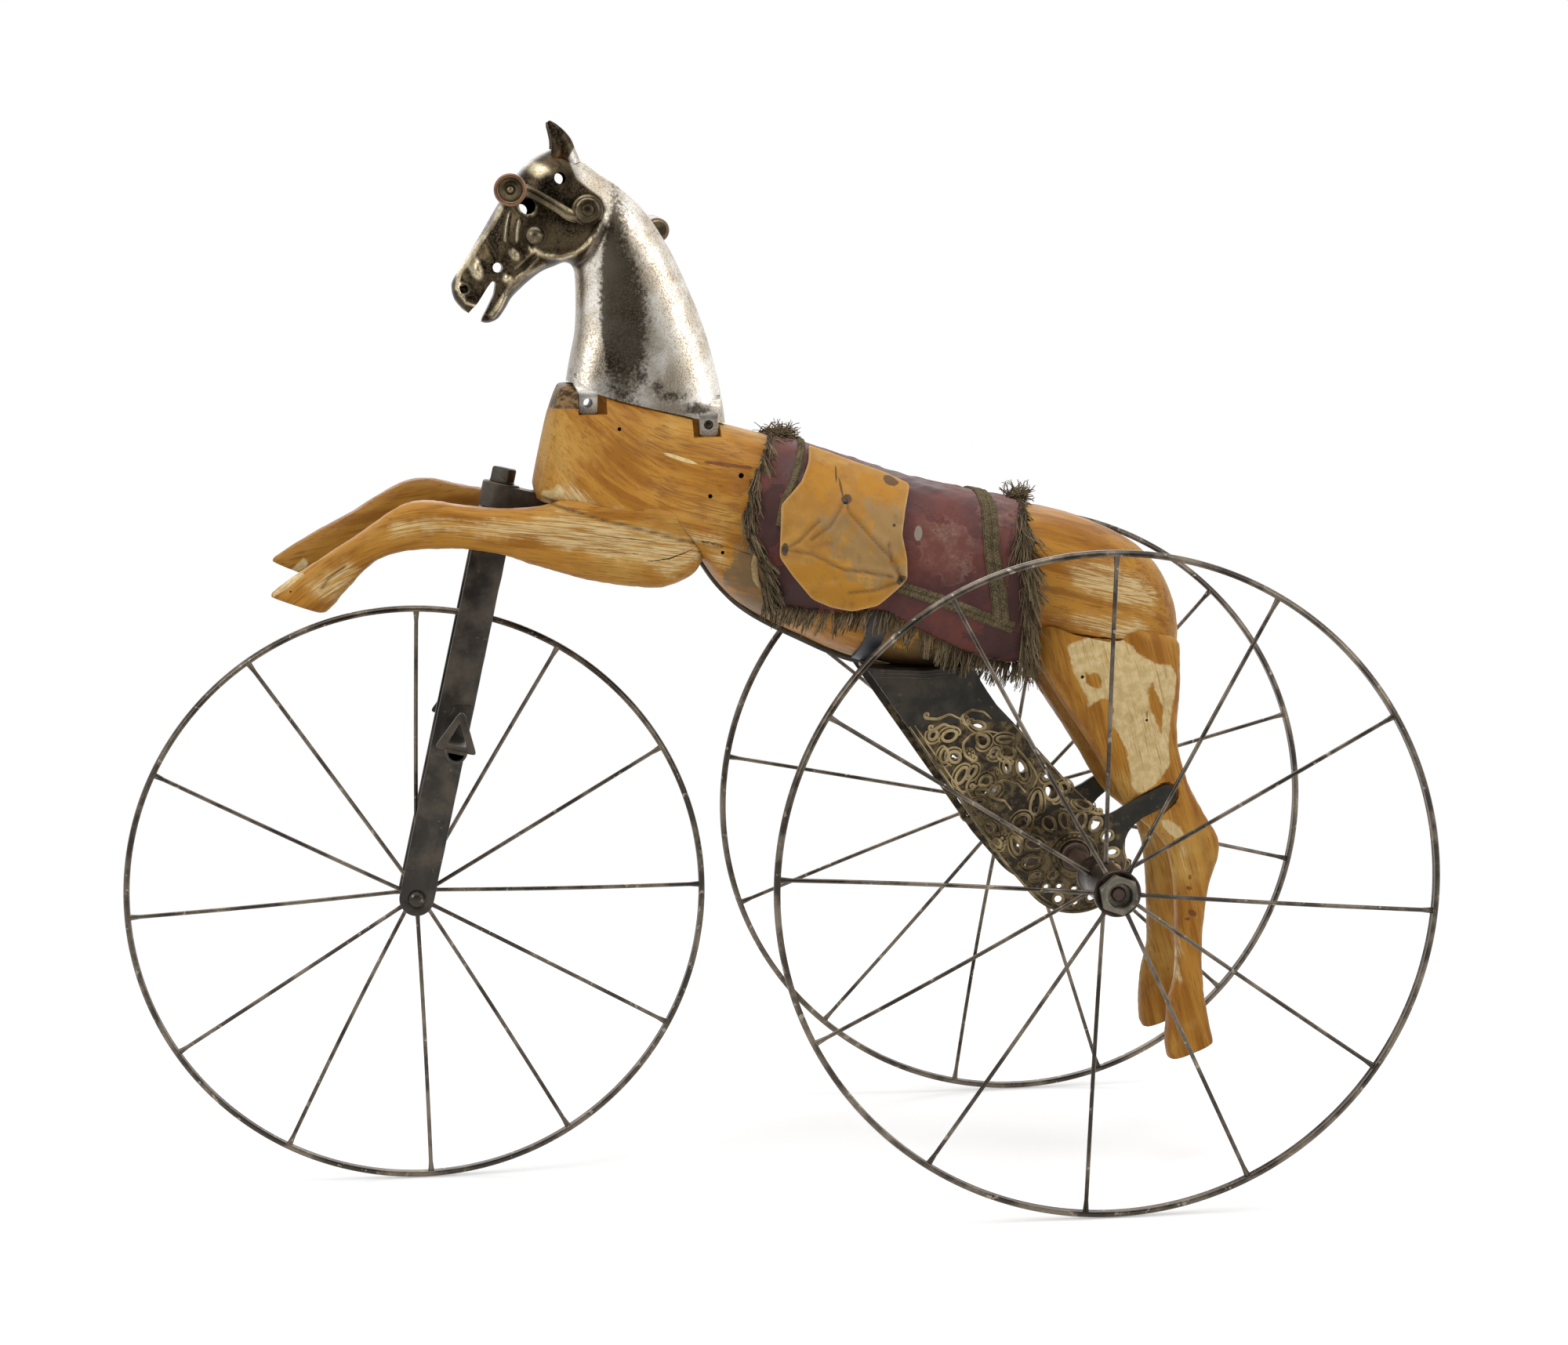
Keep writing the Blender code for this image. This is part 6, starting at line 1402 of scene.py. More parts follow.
def addBolt():
    # A worn square-headed bolt through the bracket's eye, riveted over under the crown.
    low, headLow = fork["crownLow"], fork["length"] + fork["eyeHeight"] / 2 + 1.0
    headTop = headLow + fork["boltHeadHeight"]
    shank = forkRod("steeringBolt", [(4.6, low - 4), (fork["bolt"], low - 3), (fork["bolt"], headLow + 5)])
    turn = math.radians(fork["boltTurn"]) + np.arange(4) * math.pi / 2
    wide = fork["boltHead"] / math.sqrt(2)
    rings = [np.column_stack([circle(turn, r), np.full(4, h)])
             for r, h in ((wide, headLow), (wide, headTop - 1.2), (wide - 1.4, headTop))]
    head = forkSpace(closedLoft("head", np.array(rings) * mm))
    bevelled(head, 1.1, 3, 25)
    carve(shank, head, "UNION")
    carve(shank, forkRod("washer", [(9.6, headLow - 0.7), (10.4, headLow - 0.4), (10.4, headLow + 0.5),
                                    (9.6, headLow + 0.8)]), "UNION")
    finished(shank, "darkIron", "fork", "steering_bolt")


def addBracket():
    # The steering eye, whose flat tail runs back under the chest and belly.
    lows = splineRows(np.array(trunk["rows"])[3:12, 2:4], 90)
    drop = (0, fork["strapThickness"] + 0.3)
    headX, headZ = fork["head"]
    shoulder, half = fork["eyeHeight"] * 0.45, fork["strapWidth"] / 2
    strap = prism("steeringBracket", np.vstack([[(headX, headZ + shoulder), (headX, headZ - shoulder)],
                                                lows - drop, lows[::-1] + drop]), -half, half)
    carve(strap, trunkSeat(0.3))
    bevelled(strap, 0.9, 2, 40)
    middle, eye, bore = fork["length"], fork["headEye"], fork["bolt"] + 0.3
    carve(strap, forkRod("eye", [(eye - 1.2, middle - 11), (eye, middle - 9.8), (eye, middle + 9.8),
                                 (eye - 1.2, middle + 11)]), "UNION")
    carve(strap, forkRod("bore", [(bore, middle - 30), (bore, middle + 30)]))
    finished(strap, "darkIron", "frame", "steering_bracket")


addFork()
addBolt()
addFrontAxle()
addBracket()
print("fork")


# ---- hand crank

crank = {
    "centre": (386, 534.5), "radius": 66, "turn": 14.5, "bossY": 46.5, "armGap": 1.0, "armThickness": 9.5,
    "armWidth": 10.5, "axleRadius": 5.5, "nutRadius": 10.2, "nutHeight": 5.5,
    "handleRadius": 12.8, "handleLength": 72,
    "bow": [(0, 0), (0.10, -0.09), (0.21, -0.10), (0.36, -0.052), (0.56, 0.01), (0.74, 0.055), (0.88, 0.05), (1, 0)],
    # the handle's turning: share of its radius, share of its length
    "turning": [(0.30, 0.0), (0.70, 0.0), (0.80, 0.03), (0.80, 0.055), (0.66, 0.085), (0.62, 0.11), (0.66, 0.16),
                (0.78, 0.30), (0.87, 0.46), (0.94, 0.62), (0.985, 0.76), (1.0, 0.86), (1.0, 0.935), (0.985, 0.965),
                (0.93, 0.992), (0.88, 1.0), (0.80, 1.0), (0.755, 0.985), (0.745, 0.95), (0.73, 0.88), (0.45, 0.875)],
    # the copper ring and the cupped cap at its end: radius, distance beyond the grip
    "ring": [(9.4, -1.2), (9.7, 0.25), (10.6, 0.75), (11.7, 0.55), (12.6, -1.0), (12.95, -3.5), (12.95, -6),
             (12.4, -6.2), (9.6, -3)],
    "cup": [(0.4, -2.2), (1.8, -2.5), (3.0, -3.4), (3.4, -5.4), (4.6, -6.2), (8.2, -6.0), (9.3, -1.6),
            (9.55, -1.6), (9.55, -8.6), (0.4, -8.6)],
}


def addArm(side, word):
    angle = math.radians(crank["turn"]) + (0 if side > 0 else math.pi)
    along, across = np.array([math.cos(angle), math.sin(angle)]), np.array([-math.sin(angle), math.cos(angle)])
    bow = splineRows(crank["bow"], 60)
    spine = (bow[:, :1] * along + bow[:, 1:] * across) * crank["radius"]
    low = crank["bossY"] + crank["armGap"]
    high = low + crank["armThickness"]
    centre = np.array([crank["centre"][0], 0, crank["centre"][1]])
    path = np.insert(spine, 1, side * (low + crank["armThickness"] / 2), axis=1) + centre
    share = np.linspace(0, 1, 60)
    thick = crank["armWidth"] / 2 * (1 + 0.10 * np.cos(share * math.tau) - 0.06 * share)
    arm = closedLoft("crankArm" + word, tubePoints(path * mm + rearAxle, thick * mm, 28,
                                                   flat=crank["armThickness"] / crank["armWidth"]))
    tip = (centre + np.array([along[0], 0, along[1]]) * crank["radius"]) * mm + rearAxle
    hub, bore = centre * mm + rearAxle, crank["axleRadius"] + 0.3
    carve(arm, lathe("eye", [(11.4, low), (12.5, low + 1.2), (12.5, high - 1.8), (11.0, high), (9.0, high)], 64,
                     hub, side), "UNION")
    carve(arm, lathe("knob", [(7.2, low), (8.4, low + 1.4), (8.4, high - 1.2), (7.4, high)], 48, tip, side), "UNION")
    carve(arm, lathe("hole", [(bore, 20), (bore, 90)], 40, hub, side))
    finished(arm, "bronzeBar", "crank", "crank_arm_" + word.lower())
    addHandle(side, word, tip, high + 0.3)


def addHandle(side, word, tip, start):
    # The turned grip, a copper ring round its end and the cupped cap inside the ring.
    grip = splineRows(crank["turning"], 150) * (crank["handleRadius"], crank["handleLength"]) + (0, start)
    handle = lathe("handle" + word, grip, 64, tip, side)
    finished(handle, "turnedWood", "crank", "handle_" + word.lower(), 40)
    end = (0, start + crank["handleLength"])
    ring = lathe("handleRing" + word, np.array(crank["ring"]) + end, 72, tip, side, closed=True)
    finished(ring, "copperRing", "crank", angle=60)
    cup = lathe("handleCup" + word, np.array(crank["cup"]) + end, 60, tip, side)
    finished(cup, "bronzeBar", "crank", angle=50)


def addCrankAxle():
    seat = crank["bossY"] + crank["armGap"] + crank["armThickness"] + 0.3
    nut, height, bar = crank["nutRadius"], crank["nutHeight"], crank["axleRadius"]
    half = np.array([(1.2, seat + height), (3.0, seat + height - 0.15), (4.4, seat + height - 0.7),
                     (4.9, seat + height * 0.62), (nut * 0.80, seat + height * 0.58),
                     (nut * 0.93, seat + height * 0.48), (nut, seat + height * 0.28), (nut, seat + 0.2),
                     (nut - 0.4, seat), (bar, seat), (bar, 0.1)])
    centre = np.array([crank["centre"][0], 0, crank["centre"][1]]) * mm + rearAxle
    axle = lathe("crankAxle", np.vstack([half * (1, -1), half[::-1]]), 64, centre)
    finished(axle, "bronzeBar", "crank", "crank_axle")


for side, word in bothSides:
    addArm(side, word)
addCrankAxle()
print("hand crank")


# ---- pierced side plates with raised scrollwork

plates = {
    "middleY": 78.0, "thickness": 4.0, "footRadius": 48, "bearingWidth": 16,
    "front": [(170, 161), (60, -2.5)],
    "rear": [(-43.5, -4), (-42, 4), (-42.5, 12), (-25, 33.5), (7, 64), (27, 87), (46, 108.5), (63, 127),
             (71, 139), (77, 149), (82, 161)],
    "top": [(99, 158.5), (122, 157), (147, 158.5)],
    "stayUpper": [(-28.5, 33), (-36, 36.5), (-45, 42)], "stayLower": [(-57, 29.5), (-49.5, 23.5), (-45, 18)],
    # openings: centre x, centre z, length, width, tilt, taper
    "fan": [
        (20.5, 27, 11, 8, 53, -0.2), (8, 29, 11.5, 6, 74, -0.2), (-5.5, 29, 11.5, 6.5, 101, -0.2),
        (-17.5, 25.5, 11, 7.5, 123, -0.2), (-27, 15.5, 9, 6.5, 148, -0.2), (-31.5, 2, 8.5, 5.5, 176, 0),
        (33, 10.5, 13, 7, 17, -0.2), (36, -3.5, 14, 8, -6, -0.2), (32.5, -15.5, 10, 6, -25, -0.2),
        (18.5, -14.5, 7.5, 5, -38, 0)],
    "foot": [
        (24, -25.5, 5.5, 4, 120, 0), (13, -25, 4.5, 4, 8, 0), (0.5, -27.5, 5, 3.6, 0, 0),
        (14, -35.5, 7, 6.5, 15, 0), (0, -38, 6.5, 5.2, 80, 0), (-13.5, -35, 7, 6, -20, 0),
        (-13, -25.7, 5, 4, -12, 0), (-25.5, -26.5, 7, 6, 45, 0), (-33, -12.5, 8, 6, 20, 0)],
    "scrolls": [
        (18.5, 54, 13.5, 10, 60, 0), (-7.5, 42.5, 13, 4.5, 22, 0.2), (31.5, 45, 18, 7, 100, 0.2),
        (44, 29.5, 14, 10, -40, 0), (48.5, 10.5, 15, 5, 68, 0.2), (70, 26, 9, 5, 55, 0.2),
        (79.5, 48, 9, 4, 8, 0), (76, 55.5, 9, 4.2, 0, 0), (73.5, 64.5, 9, 6, -30, 0.2),
        (93, 70, 13, 5.5, 122, 0), (84, 73, 8, 3.6, 120, 0), (66, 57, 8, 5, -35, 0),
        (55.5, 76, 8.5, 3.6, 82, 0), (65.5, 88, 7, 4.4, 125, 0), (54.5, 87.5, 11, 8, 10, 0),
        (56.5, 98.5, 12, 3.2, 3, 0), (75.5, 98.5, 9.5, 7.5, 45, 0.2), (79, 111, 10.5, 4.6, 15, 0.2),
        (102.5, 103, 10.5, 6.5, -20, 0), (107, 87, 10, 5, 100, 0.2), (98.5, 85.5, 8, 7, 30, 0),
        (43, 73, 15, 5.5, 72, 0), (22.5, 66.5, 5, 4, 0, 0), (8, 57, 7, 6, 47, 0),
        (64, 13, 6, 3.2, 60, 0), (116, 104, 6, 4, -50, 0)],
    # raised ornament: rosettes (x, z, radius, petals) and scroll lines
    "rosettes": [(60, 16.7, 6.0, 8), (68.9, 42, 4.6, 7), (36, 79, 3.0, 6), (8, 45.5, 3.4, 6), (66.5, 72, 4.2, 7),
                 (86.5, 88, 4.4, 7), (90, 116, 3.6, 6)],
    "lines": [
        [(57, 22), (62, 33), (74, 39), (86, 52), (90, 61), (86, 66)],
        [(52, 40), (58, 48), (64, 49.5), (70, 52)],
        [(40, 54), (47, 62), (58, 65), (64, 63)],
        [(34, 58), (30, 66), (33, 73), (41, 84), (47, 91)],
        [(62, 104), (70, 106), (84, 104), (92, 96), (90, 86), (84, 82)],
        [(98, 109), (107, 113), (116, 108)], [(68, 116), (74, 122), (84, 124), (92, 119), (90, 113)],
        [(92, 116), (102, 121), (112, 117), (121, 118)],
        [(98, 60), (92, 56), (84, 58)], [(56, 30), (50, 20), (44, 16)],
        [(12, 40), (2, 37), (-10, 37.5), (-20, 34)], [(28, 34), (34, 30), (36, 22)]],
    "ridge": 1.45, "lift": 0.1,
    # rings round the bearing (radius, half width) and the beads between them
    "bearingRings": [(13.4, 0.8), (19.6, 0.7)], "bearingBeads": 24, "beadsRadius": 16.5,
    # the part of the plate that is modelled and brassy, and lines of raised work along its top
    "brassZone": [(137, 112), (124, 124), (104, 123), (88, 129), (74, 127), (60, 117), (44, 108), (18, 84), (-8, 62),
                  (-27, 36), (-25, 24), (-38, 14), (-48, 2), (-60, -20), (-40, -60), (30, -60), (62, -20), (104, 52)],
}


def openingPath(x, z, length, width, tilt, taper, count, grow=0.0):
    # An oval along its tilt, narrower towards one end where it tapers, grown outwards evenly.
    turn = fullTurn(count)
    far = np.cos(turn) * (length / 2 + grow)
    wide = np.sin(turn) * (width / 2 + grow) * (1 - taper * np.cos(turn))
    angle = math.radians(tilt)
    return np.column_stack([x + math.cos(angle) * far - math.sin(angle) * wide,
                            z + math.sin(angle) * far + math.cos(angle) * wide])


def arcPoints(centre, radius, start, stop, count):
    return circle(np.radians(np.linspace(start, stop, count)), radius, *centre)


def plateOutline():
    foot = arcPoints((0, 0), plates["footRadius"], -34, -174, 60)
    stay = arcPoints(legs["stayEnd"], legs["stayWidth"] / 2, legs["staySlope"] + 90, legs["staySlope"] + 270, 26)
    rear = np.vstack([plates["rear"][:3], plates["stayLower"][::-1], stay[::-1], plates["stayUpper"][::-1],
                      plates["rear"][3:]])
    return np.vstack([plates["front"], foot, rear, plates["top"]])


def inset(path, distance):
    # A closed line moved to its left by a distance, worked out from its neighbours.
    run = unit(np.roll(path, -1, 0) - np.roll(path, 1, 0))
    return path + np.column_stack([-run[:, 1], run[:, 0]]) * distance


def piercedSheet(name, outline, holes, lowY, highY):
    # A flat sheet with openings: both faces triangulated round them, and walls along each edge.
    loops = [outline] + holes
    triangles = np.array(tessellate_polygon([[Vector((x, z, 0)) for x, z in loop] for loop in loops]))
    points = np.vstack(loops)
    count, start = len(points), 0
    faces = triangles.tolist() + (triangles[:, ::-1] + count).tolist()
    for loop in loops:
        index = np.arange(len(loop))
        after = (index + 1) % len(loop)
        faces += (np.stack([index, after, after + count, index + count], 1) + start).tolist()
        start += len(loop)
    both = np.vstack([np.insert(points, 1, y, axis=1) for y in (lowY, highY)])
    piece = meshObject(name, both * mm + rearAxle, faces, smooth=False, outward=False)
    faceOutward(piece.data, mend=True)
    return piece


def ridge(path, y, radius, closed=True):
    # A half-buried round bead along a line in side view, which thins towards its ends where it is open.
    share = 1.0 if closed else 0.25 + 0.75 * np.sin(np.linspace(0.12, math.pi - 0.12, len(path))) ** 0.6
    return addTube("ridge", np.insert(path, 1, y, axis=1) * mm + rearAxle, radius * share * mm, 8, closed=closed)


def rosette(x, z, radius, petals, y, side):
    # A ring of round petals about a domed middle.
    low = abs(y) - 0.8
    beads = [dome(x, z, radius * 0.32, low, abs(y) + 1.1, side)]
    beads += [dome(*spot, radius * 0.25, low, abs(y) + 0.7, side)
              for spot in circle(fullTurn(petals), radius * 0.66, x, z)]
    return beads + [ridge(arcPoints((x, z), radius, 0, 360, 33)[:-1], y, 0.55)]


def scrollEye(path, radius, turns, hand, count=34):
    # Lengthens a line's end into a spiral that closes in on itself.
    run = path[-1] - path[-2]
    start = math.atan2(run[1], run[0]) - hand * math.pi / 2
    share = np.linspace(0, 1, count)[1:]
    centre = path[-1] - radius * np.array([math.cos(start), math.sin(start)])
    return np.vstack([path, circle(start + hand * turns * math.tau * share, radius * (1 - 0.85 * share), *centre)])


def runsWhere(line, keep):
    # The unbroken stretches of a line whose points are kept.
    stretches = np.split(np.arange(len(line)), np.nonzero(np.diff(keep.astype(int)))[0] + 1)
    return [line[part] for part in stretches if keep[part[0]] and len(part) > 4]


def addSidePlate(side, word):
    middle, half = side * plates["middleY"], plates["thickness"] / 2
    rows = plates["fan"] + plates["foot"] + plates["scrolls"]
    sheet = piercedSheet("sidePlate" + word, evenPath(plateOutline(), 320, True),
                         [openingPath(*row, 20) for row in rows], middle - half, middle + half)
    paintVertices(sheet, brass=lambda x, y, z: markShare(x, z, [plates["brassZone"]], soft=8))
    finished(sheet, "plateIron", "frame", "side_plate_" + word.lower(), 30)
    reach = plates["bearingWidth"] / 2
    bearing = [(7.8, middle - reach), (10.4, middle - reach), (11.5, middle - reach + 1),
               (11.5, middle + reach - 1), (10.4, middle + reach), (7.8, middle + reach)]
    finished(lathe("plateBearing" + word, bearing, 72, rearAxle, closed=True), "brownIron", "frame")
    y = side * (plates["middleY"] + half + plates["lift"])
    pieces = [ridge(openingPath(*row, 26, 1.0), y, plates["ridge"] * (0.7 if row[2] < 6 else 1.0)) for row in rows]
    for number, row in enumerate(plates["scrolls"] + plates["fan"][6:8] + plates["foot"][6:]):
        arc = np.roll(openingPath(*row, 44, 4.2), -17 * number, 0)[:25]
        pieces.append(ridge(scrollEye(arc, 2.2, 1.0, 1), y, 1.05, closed=False))
    for number, line in enumerate(plates["lines"]):
        path = scrollEye(roundedPath(line, 40, soften=5), 2.6, 1.1, 1 if number % 2 else -1)
        pieces.append(ridge(path, y, 1.5, closed=False))
    for row in plates["rosettes"]:
        pieces += rosette(*row, y, side)
    # Round the bearing: two rings with beads between them.
    pieces += [ridge(arcPoints((0, 0), radius, 0, 360, 73)[:-1], y, bead)
               for radius, bead in plates["bearingRings"]]
    pieces += [dome(*spot, 1.15, plates["middleY"] + 1, plates["middleY"] + half + 0.8, side)
               for spot in circle(fullTurn(plates["bearingBeads"]), plates["beadsRadius"])]
    # Beads along the modelled part of the edge, inside the foot and along the front.
    edge = inset(roundedPath(plateOutline(), 300, True), -1.3)
    modelled = markShare(edge[:, 0], edge[:, 1], [plates["brassZone"]]) > 0.5
    pieces += [ridge(part, y, 0.95, closed=False) for part in runsWhere(edge, modelled)]
    pieces.append(ridge(arcPoints((0, 0), 43.2, -30, -178, 60), y, 0.7, closed=False))
    high, low = np.array(plates["front"], float)
    along = unit(low - high)
    across = np.array([along[1], -along[0]]) * 5.2
    pieces.append(ridge(evenPath([high + across + along * 62, low + across - along * 6], 40), y, 0.9, closed=False))
    top = np.vstack([[(86, 159)], plates["top"], [(163, 159)]])
    borders = [ridge(roundedPath(top - (0, drop), 40), y, 0.6, closed=False) for drop in (3.0, 6.0)]
    finished(joined("plateBorder" + word, borders), "darkIron", "frame", angle=60)
    finished(joined("plateRelief" + word, pieces), "scrollBrass", "frame", angle=60)


for side, word in bothSides:
    addSidePlate(side, word)
    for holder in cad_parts["plate_shelf_" + word.lower()].material_slots:
        holder.material = bpy.data.materials["darkIron"]
print("side plates")


# ---- saddlery: leathercloth blanket, ochre flaps, braids and fringe

saddle = {
    "blanket": [(231, 400), (238, 352), (250, 331), (258, 316), (265, 290), (265, 272), (254, 250), (250, 232),
                (251, 221), (236, 212), (212, 209), (192, 208), (156, 209), (135, 196), (111, 183), (84, 171),
                (56, 162), (41, 158), (40, 175), (39.5, 197), (40.5, 223), (41, 247), (40, 266), (36, 285),
                (30, 300), (27, 400)],
    "flap": [(209, 341), (190, 334), (171, 326.5), (148, 318), (130, 309), (137, 290), (141, 270), (137.5, 250),
             (138, 234), (147, 225), (162, 213), (182, 208.5), (199, 212), (214, 219), (230, 239), (240, 254),
             (237.5, 296), (220, 314), (213, 328)],
    "strapRow": [(186, 140), (168, 140), (151, 200), (152, 207), (166, 207), (171, 180)],
    "blanketGap": 0.3, "blanketThick": 2.2, "flapThick": 2.6, "flapGap": 0.5, "curl": 1.5,
    "nails": [(185, 299), (236, 260), (142, 233)], "smallNails": [(146, 290), (147, 277), (147, 262)],
    "creases": [[(185, 299), (183, 288), (165, 267), (147, 247), (142, 233)], [(185, 299), (199, 278), (214, 268)],
                [(236, 260), (225, 266), (208, 282)], [(236, 260), (214, 256), (190, 243), (170, 240), (150, 236)],
                [(142, 233), (162, 226), (185, 224)], [(142, 233), (150, 246), (152, 262)]],
    "ribbon": [(256, 81, 266), (260, 80, 248), (259, 78, 234), (253, 73, 222)],
    "frontEdge": [(236, 6, 352), (239, 28, 349), (250, 64, 331), (258, 72, 316), (265, 77, 289), (264, 79, 273),
                  (254, 82, 252), (250, 78, 233), (251, 71, 222)],
    "frontBraid": [(211, 2, 345), (213, 19, 343), (220, 62, 328), (227, 76, 312), (235, 82, 296), (239, 84, 279)],
    "sideBraid": [(64, 0, 296), (65, 42, 295), (66, 73, 280), (67, 84, 266), (67, 90, 249), (64, 91, 232),
                  (62, 91, 215), (60, 89, 194)],
    "lowBraid": [(145, 92, 228), (128, 93, 222), (111, 93, 216), (94, 92, 209), (73, 91, 200), (50, 88, 191)],
    "rearEdge": [(33, 2, 290), (35, 42, 288), (38, 62, 280), (40, 80, 266), (41, 88, 247), (40, 90, 223),
                 (39, 89, 197), (40, 79, 174), (38, 60, 163)],
    "bottomEdge": [(251, 71, 222), (236, 71, 213), (212, 76, 209), (192, 82, 208), (172, 87, 208), (156, 90, 209),
                   (135, 88, 196), (111, 85, 183), (84, 77, 170), (56, 67, 162), (38, 55, 158)],
    # braids: edge, width, the middle of each lane as a share of the width, seed
    "braids": [("frontBraid", 6.0, (0,), 3), ("sideBraid", 13.0, (-0.25, 0.25), 5),
               ("lowBraid", 9.5, (-0.25, 0.25), 7)],
    # fringes: name, edge, its first point, threads, extra gap, spread, lean, share of the outward way,
    # share of the edge's run, length
    "fringes": [("Front", "frontEdge", 0, 400, 0.0, 1.0, (-0.62, 0, -0.62), 0.08, 0.15, 0.019),
                ("FrontOver", "frontEdge", 1, 230, 1.2, 1.4, (-0.30, 0, -0.25), 0.10, 0.85, 0.024),
                ("Low", "bottomEdge", 0, 460, 0.0, 0.8, (0.36, 0, -0.85), 0.16, 0.0, 0.017),
                ("Rear", "rearEdge", 0, 400, 0.0, 1.2, (-0.42, 0, -0.75), 0.12, 0.1, 0.021),
                ("RearOver", "rearEdge", 2, 300, 1.6, 1.8, (-0.14, 0, -0.1), 0.08, 0.95, 0.033)],
}
skinTrees = {}


def skinRings(gap, firstRow=0, lastRow=20, steps=160, sides=120):
    # The trunk's own surface, or one at an even distance outside it, over part of its length.
    fine = 4001
    place = np.linspace(firstRow, lastRow, steps) / (len(trunk["rows"]) - 1) * (fine - 1)
    table = fullTable(trunk["rows"], fine)[place.round().astype(int)]
    return roughened(superRings(table, sides, gap), *trunk["roughness"])


def onSkin(points, gap):
    # The nearest places, and the outward directions there, on the surface at that distance.
    if gap not in skinTrees:
        rings = skinRings(gap)
        faces = gridFaces(*rings.shape[:2], False, True).tolist()
        skinTrees[gap] = BVHTree.FromPolygons([Vector(p) for p in rings.reshape(-1, 3)], faces)
    places, ways = [], []
    for point in metres(points) + rearAxle:
        found, normal, _, _ = skinTrees[gap].find_nearest(Vector(point))
        outward = Vector((0, found.y, found.z - rearAxle[2] - 0.24)).dot(normal)
        places.append(found)
        ways.append(normal if outward >= 0 else -normal)
    return np.array(places), np.array(ways)


def skinSheet(name, outline, ends, gap, thick, rows, shapeRule, steps, sides):
    # A sheet that follows the trunk, cut to an outline in side view. shapeRule gives how far each
    # place (x, y, z in mm) is pushed out from the surface beneath.
    shells = []
    for distance in (gap + thick, gap):
        rings = skinRings(distance, *rows, steps, sides)
        local = (rings - rearAxle) / mm
        push = shapeRule(*np.moveaxis(local, -1, 0))[..., None]
        shells.append(closedLoft(name, rings + unit(local - local.mean(axis=1, keepdims=True)) * push * mm))
    carve(shells[0], shells[1])
    carve(shells[0], prism("outline", outline, *ends), "INTERSECT")
    return shells[0]


def sheetArea(piece):
    # Half of a thin shell's surface, in square metres.
    return sum(polygon.area for polygon in piece.data.polygons) / 2


def blanketShape(x, y, z):
    points = np.stack([x, y, z], -1) * mm
    return 0.5 + np.clip(unevenness(points, 0.045, 0.5, 61) + unevenness(points, 0.016, 0.22, 62), -0.4, 1.2)


def flapShape(x, y, z):
    # Folds run between the nails as shallow grooves, and the leather lifts along its cut edge.
    points = np.stack([x, y, z], -1) * mm
    push = 0.7 + unevenness(points, 0.05, 0.7, 71) + unevenness(points, 0.013, 0.16, 72)
    for line in saddle["creases"]:
        away = distanceToLine(x, z, line)
        push += 0.9 * np.exp(-((away - 3.2) / 2.6) ** 2) - 1.0 * np.exp(-(away / 1.3) ** 2)
    for nailX, nailZ in saddle["nails"]:
        push -= 1.6 * np.exp(-(np.hypot(x - nailX, z - nailZ) / 5.0) ** 2)
    push += saddle["curl"] * lineShare(x, z, [saddle["flap"] + saddle["flap"][:1]], 3.0)
    push += 1.4 * np.exp(-((z - 231 + 0.13 * (x - 190)) / 5.0) ** 2)
    return np.maximum(push, 0.0)


def addBlanket():
    outline = roundedPath(saddle["blanket"], 240, True)
    outline += np.random.default_rng(8).normal(0, 0.35, outline.shape)
    piece = skinSheet("clothBlanket", outline, (-130, 130), saddle["blanketGap"], saddle["blanketThick"],
                      (6.2, 14.0), blanketShape, 190, 260)
    return finished(piece, "oxbloodCloth", "frame", "saddle_cloth", 50)


def tackHead(spot, way, radius):
    # A low domed nail head that faces along the given direction.
    share = np.linspace(0, math.pi / 2, 7)
    turn = fullTurn(14)[None, :]
    across = unit(np.cross(way, (0.1, 0.0, 1.0)))
    other = np.cross(way, across)
    reach = np.concatenate([[radius * 0.5], radius * np.cos(share)])[:, None] + 0.02
    rise = np.concatenate([[-1.5], radius * 0.45 * np.sin(share)])[:, None]
    rings = (reach * np.cos(turn))[..., None] * across + (reach * np.sin(turn))[..., None] * other
    return closedLoft("tack", rings * mm + (rise * np.ones_like(turn))[..., None] * way * mm + spot)


def addFlap(side, word):
    gap = saddle["blanketGap"] + saddle["blanketThick"] + saddle["flapGap"] + 0.6
    piece = skinSheet("saddleFlap" + word, roundedPath(saddle["flap"], 220, True), (side * 16, side * 130), gap,
                      saddle["flapThick"], (6.6, 12.0), flapShape, 170, 300)
    closed = saddle["flap"] + saddle["flap"][:1]
    # the creases are darkened by dirt and painted shade
    paintVertices(piece, dirt=lambda x, y, z: lineShare(x, z, saddle["creases"], 1.1),
                  rawEdge=lambda x, y, z: lineShare(x, z, [closed], 0.8))
    finished(piece, "ochreLeather", "frame", "saddle_flap_" + word.lower(), 50)
    heads = []
    for key, rise, radius in (("nails", 2.4, 3.0), ("smallNails", 3.2, 1.3)):
        for x, z in saddle[key]:
            spots, ways = onSkin([(x, side * 90, z)], gap)
            heads.append(tackHead(spots[0] + ways[0] * rise * mm, ways[0], radius))
    return piece, finished(joined("flapTacks" + word, heads), "darkIron", "frame", angle=60)


def addStrap(side, word):
    piece = skinSheet("flankStrap" + word, roundedPath(saddle["strapRow"], 90, True, 1), (side * 34, side * 130),
                      0.3, 2.2, (9.0, 12.0), lambda x, y, z: np.full(x.shape, 0.3), 60, 200)
    return finished(piece, "strapHide", "frame", "flank_strap_" + word.lower(), 50)


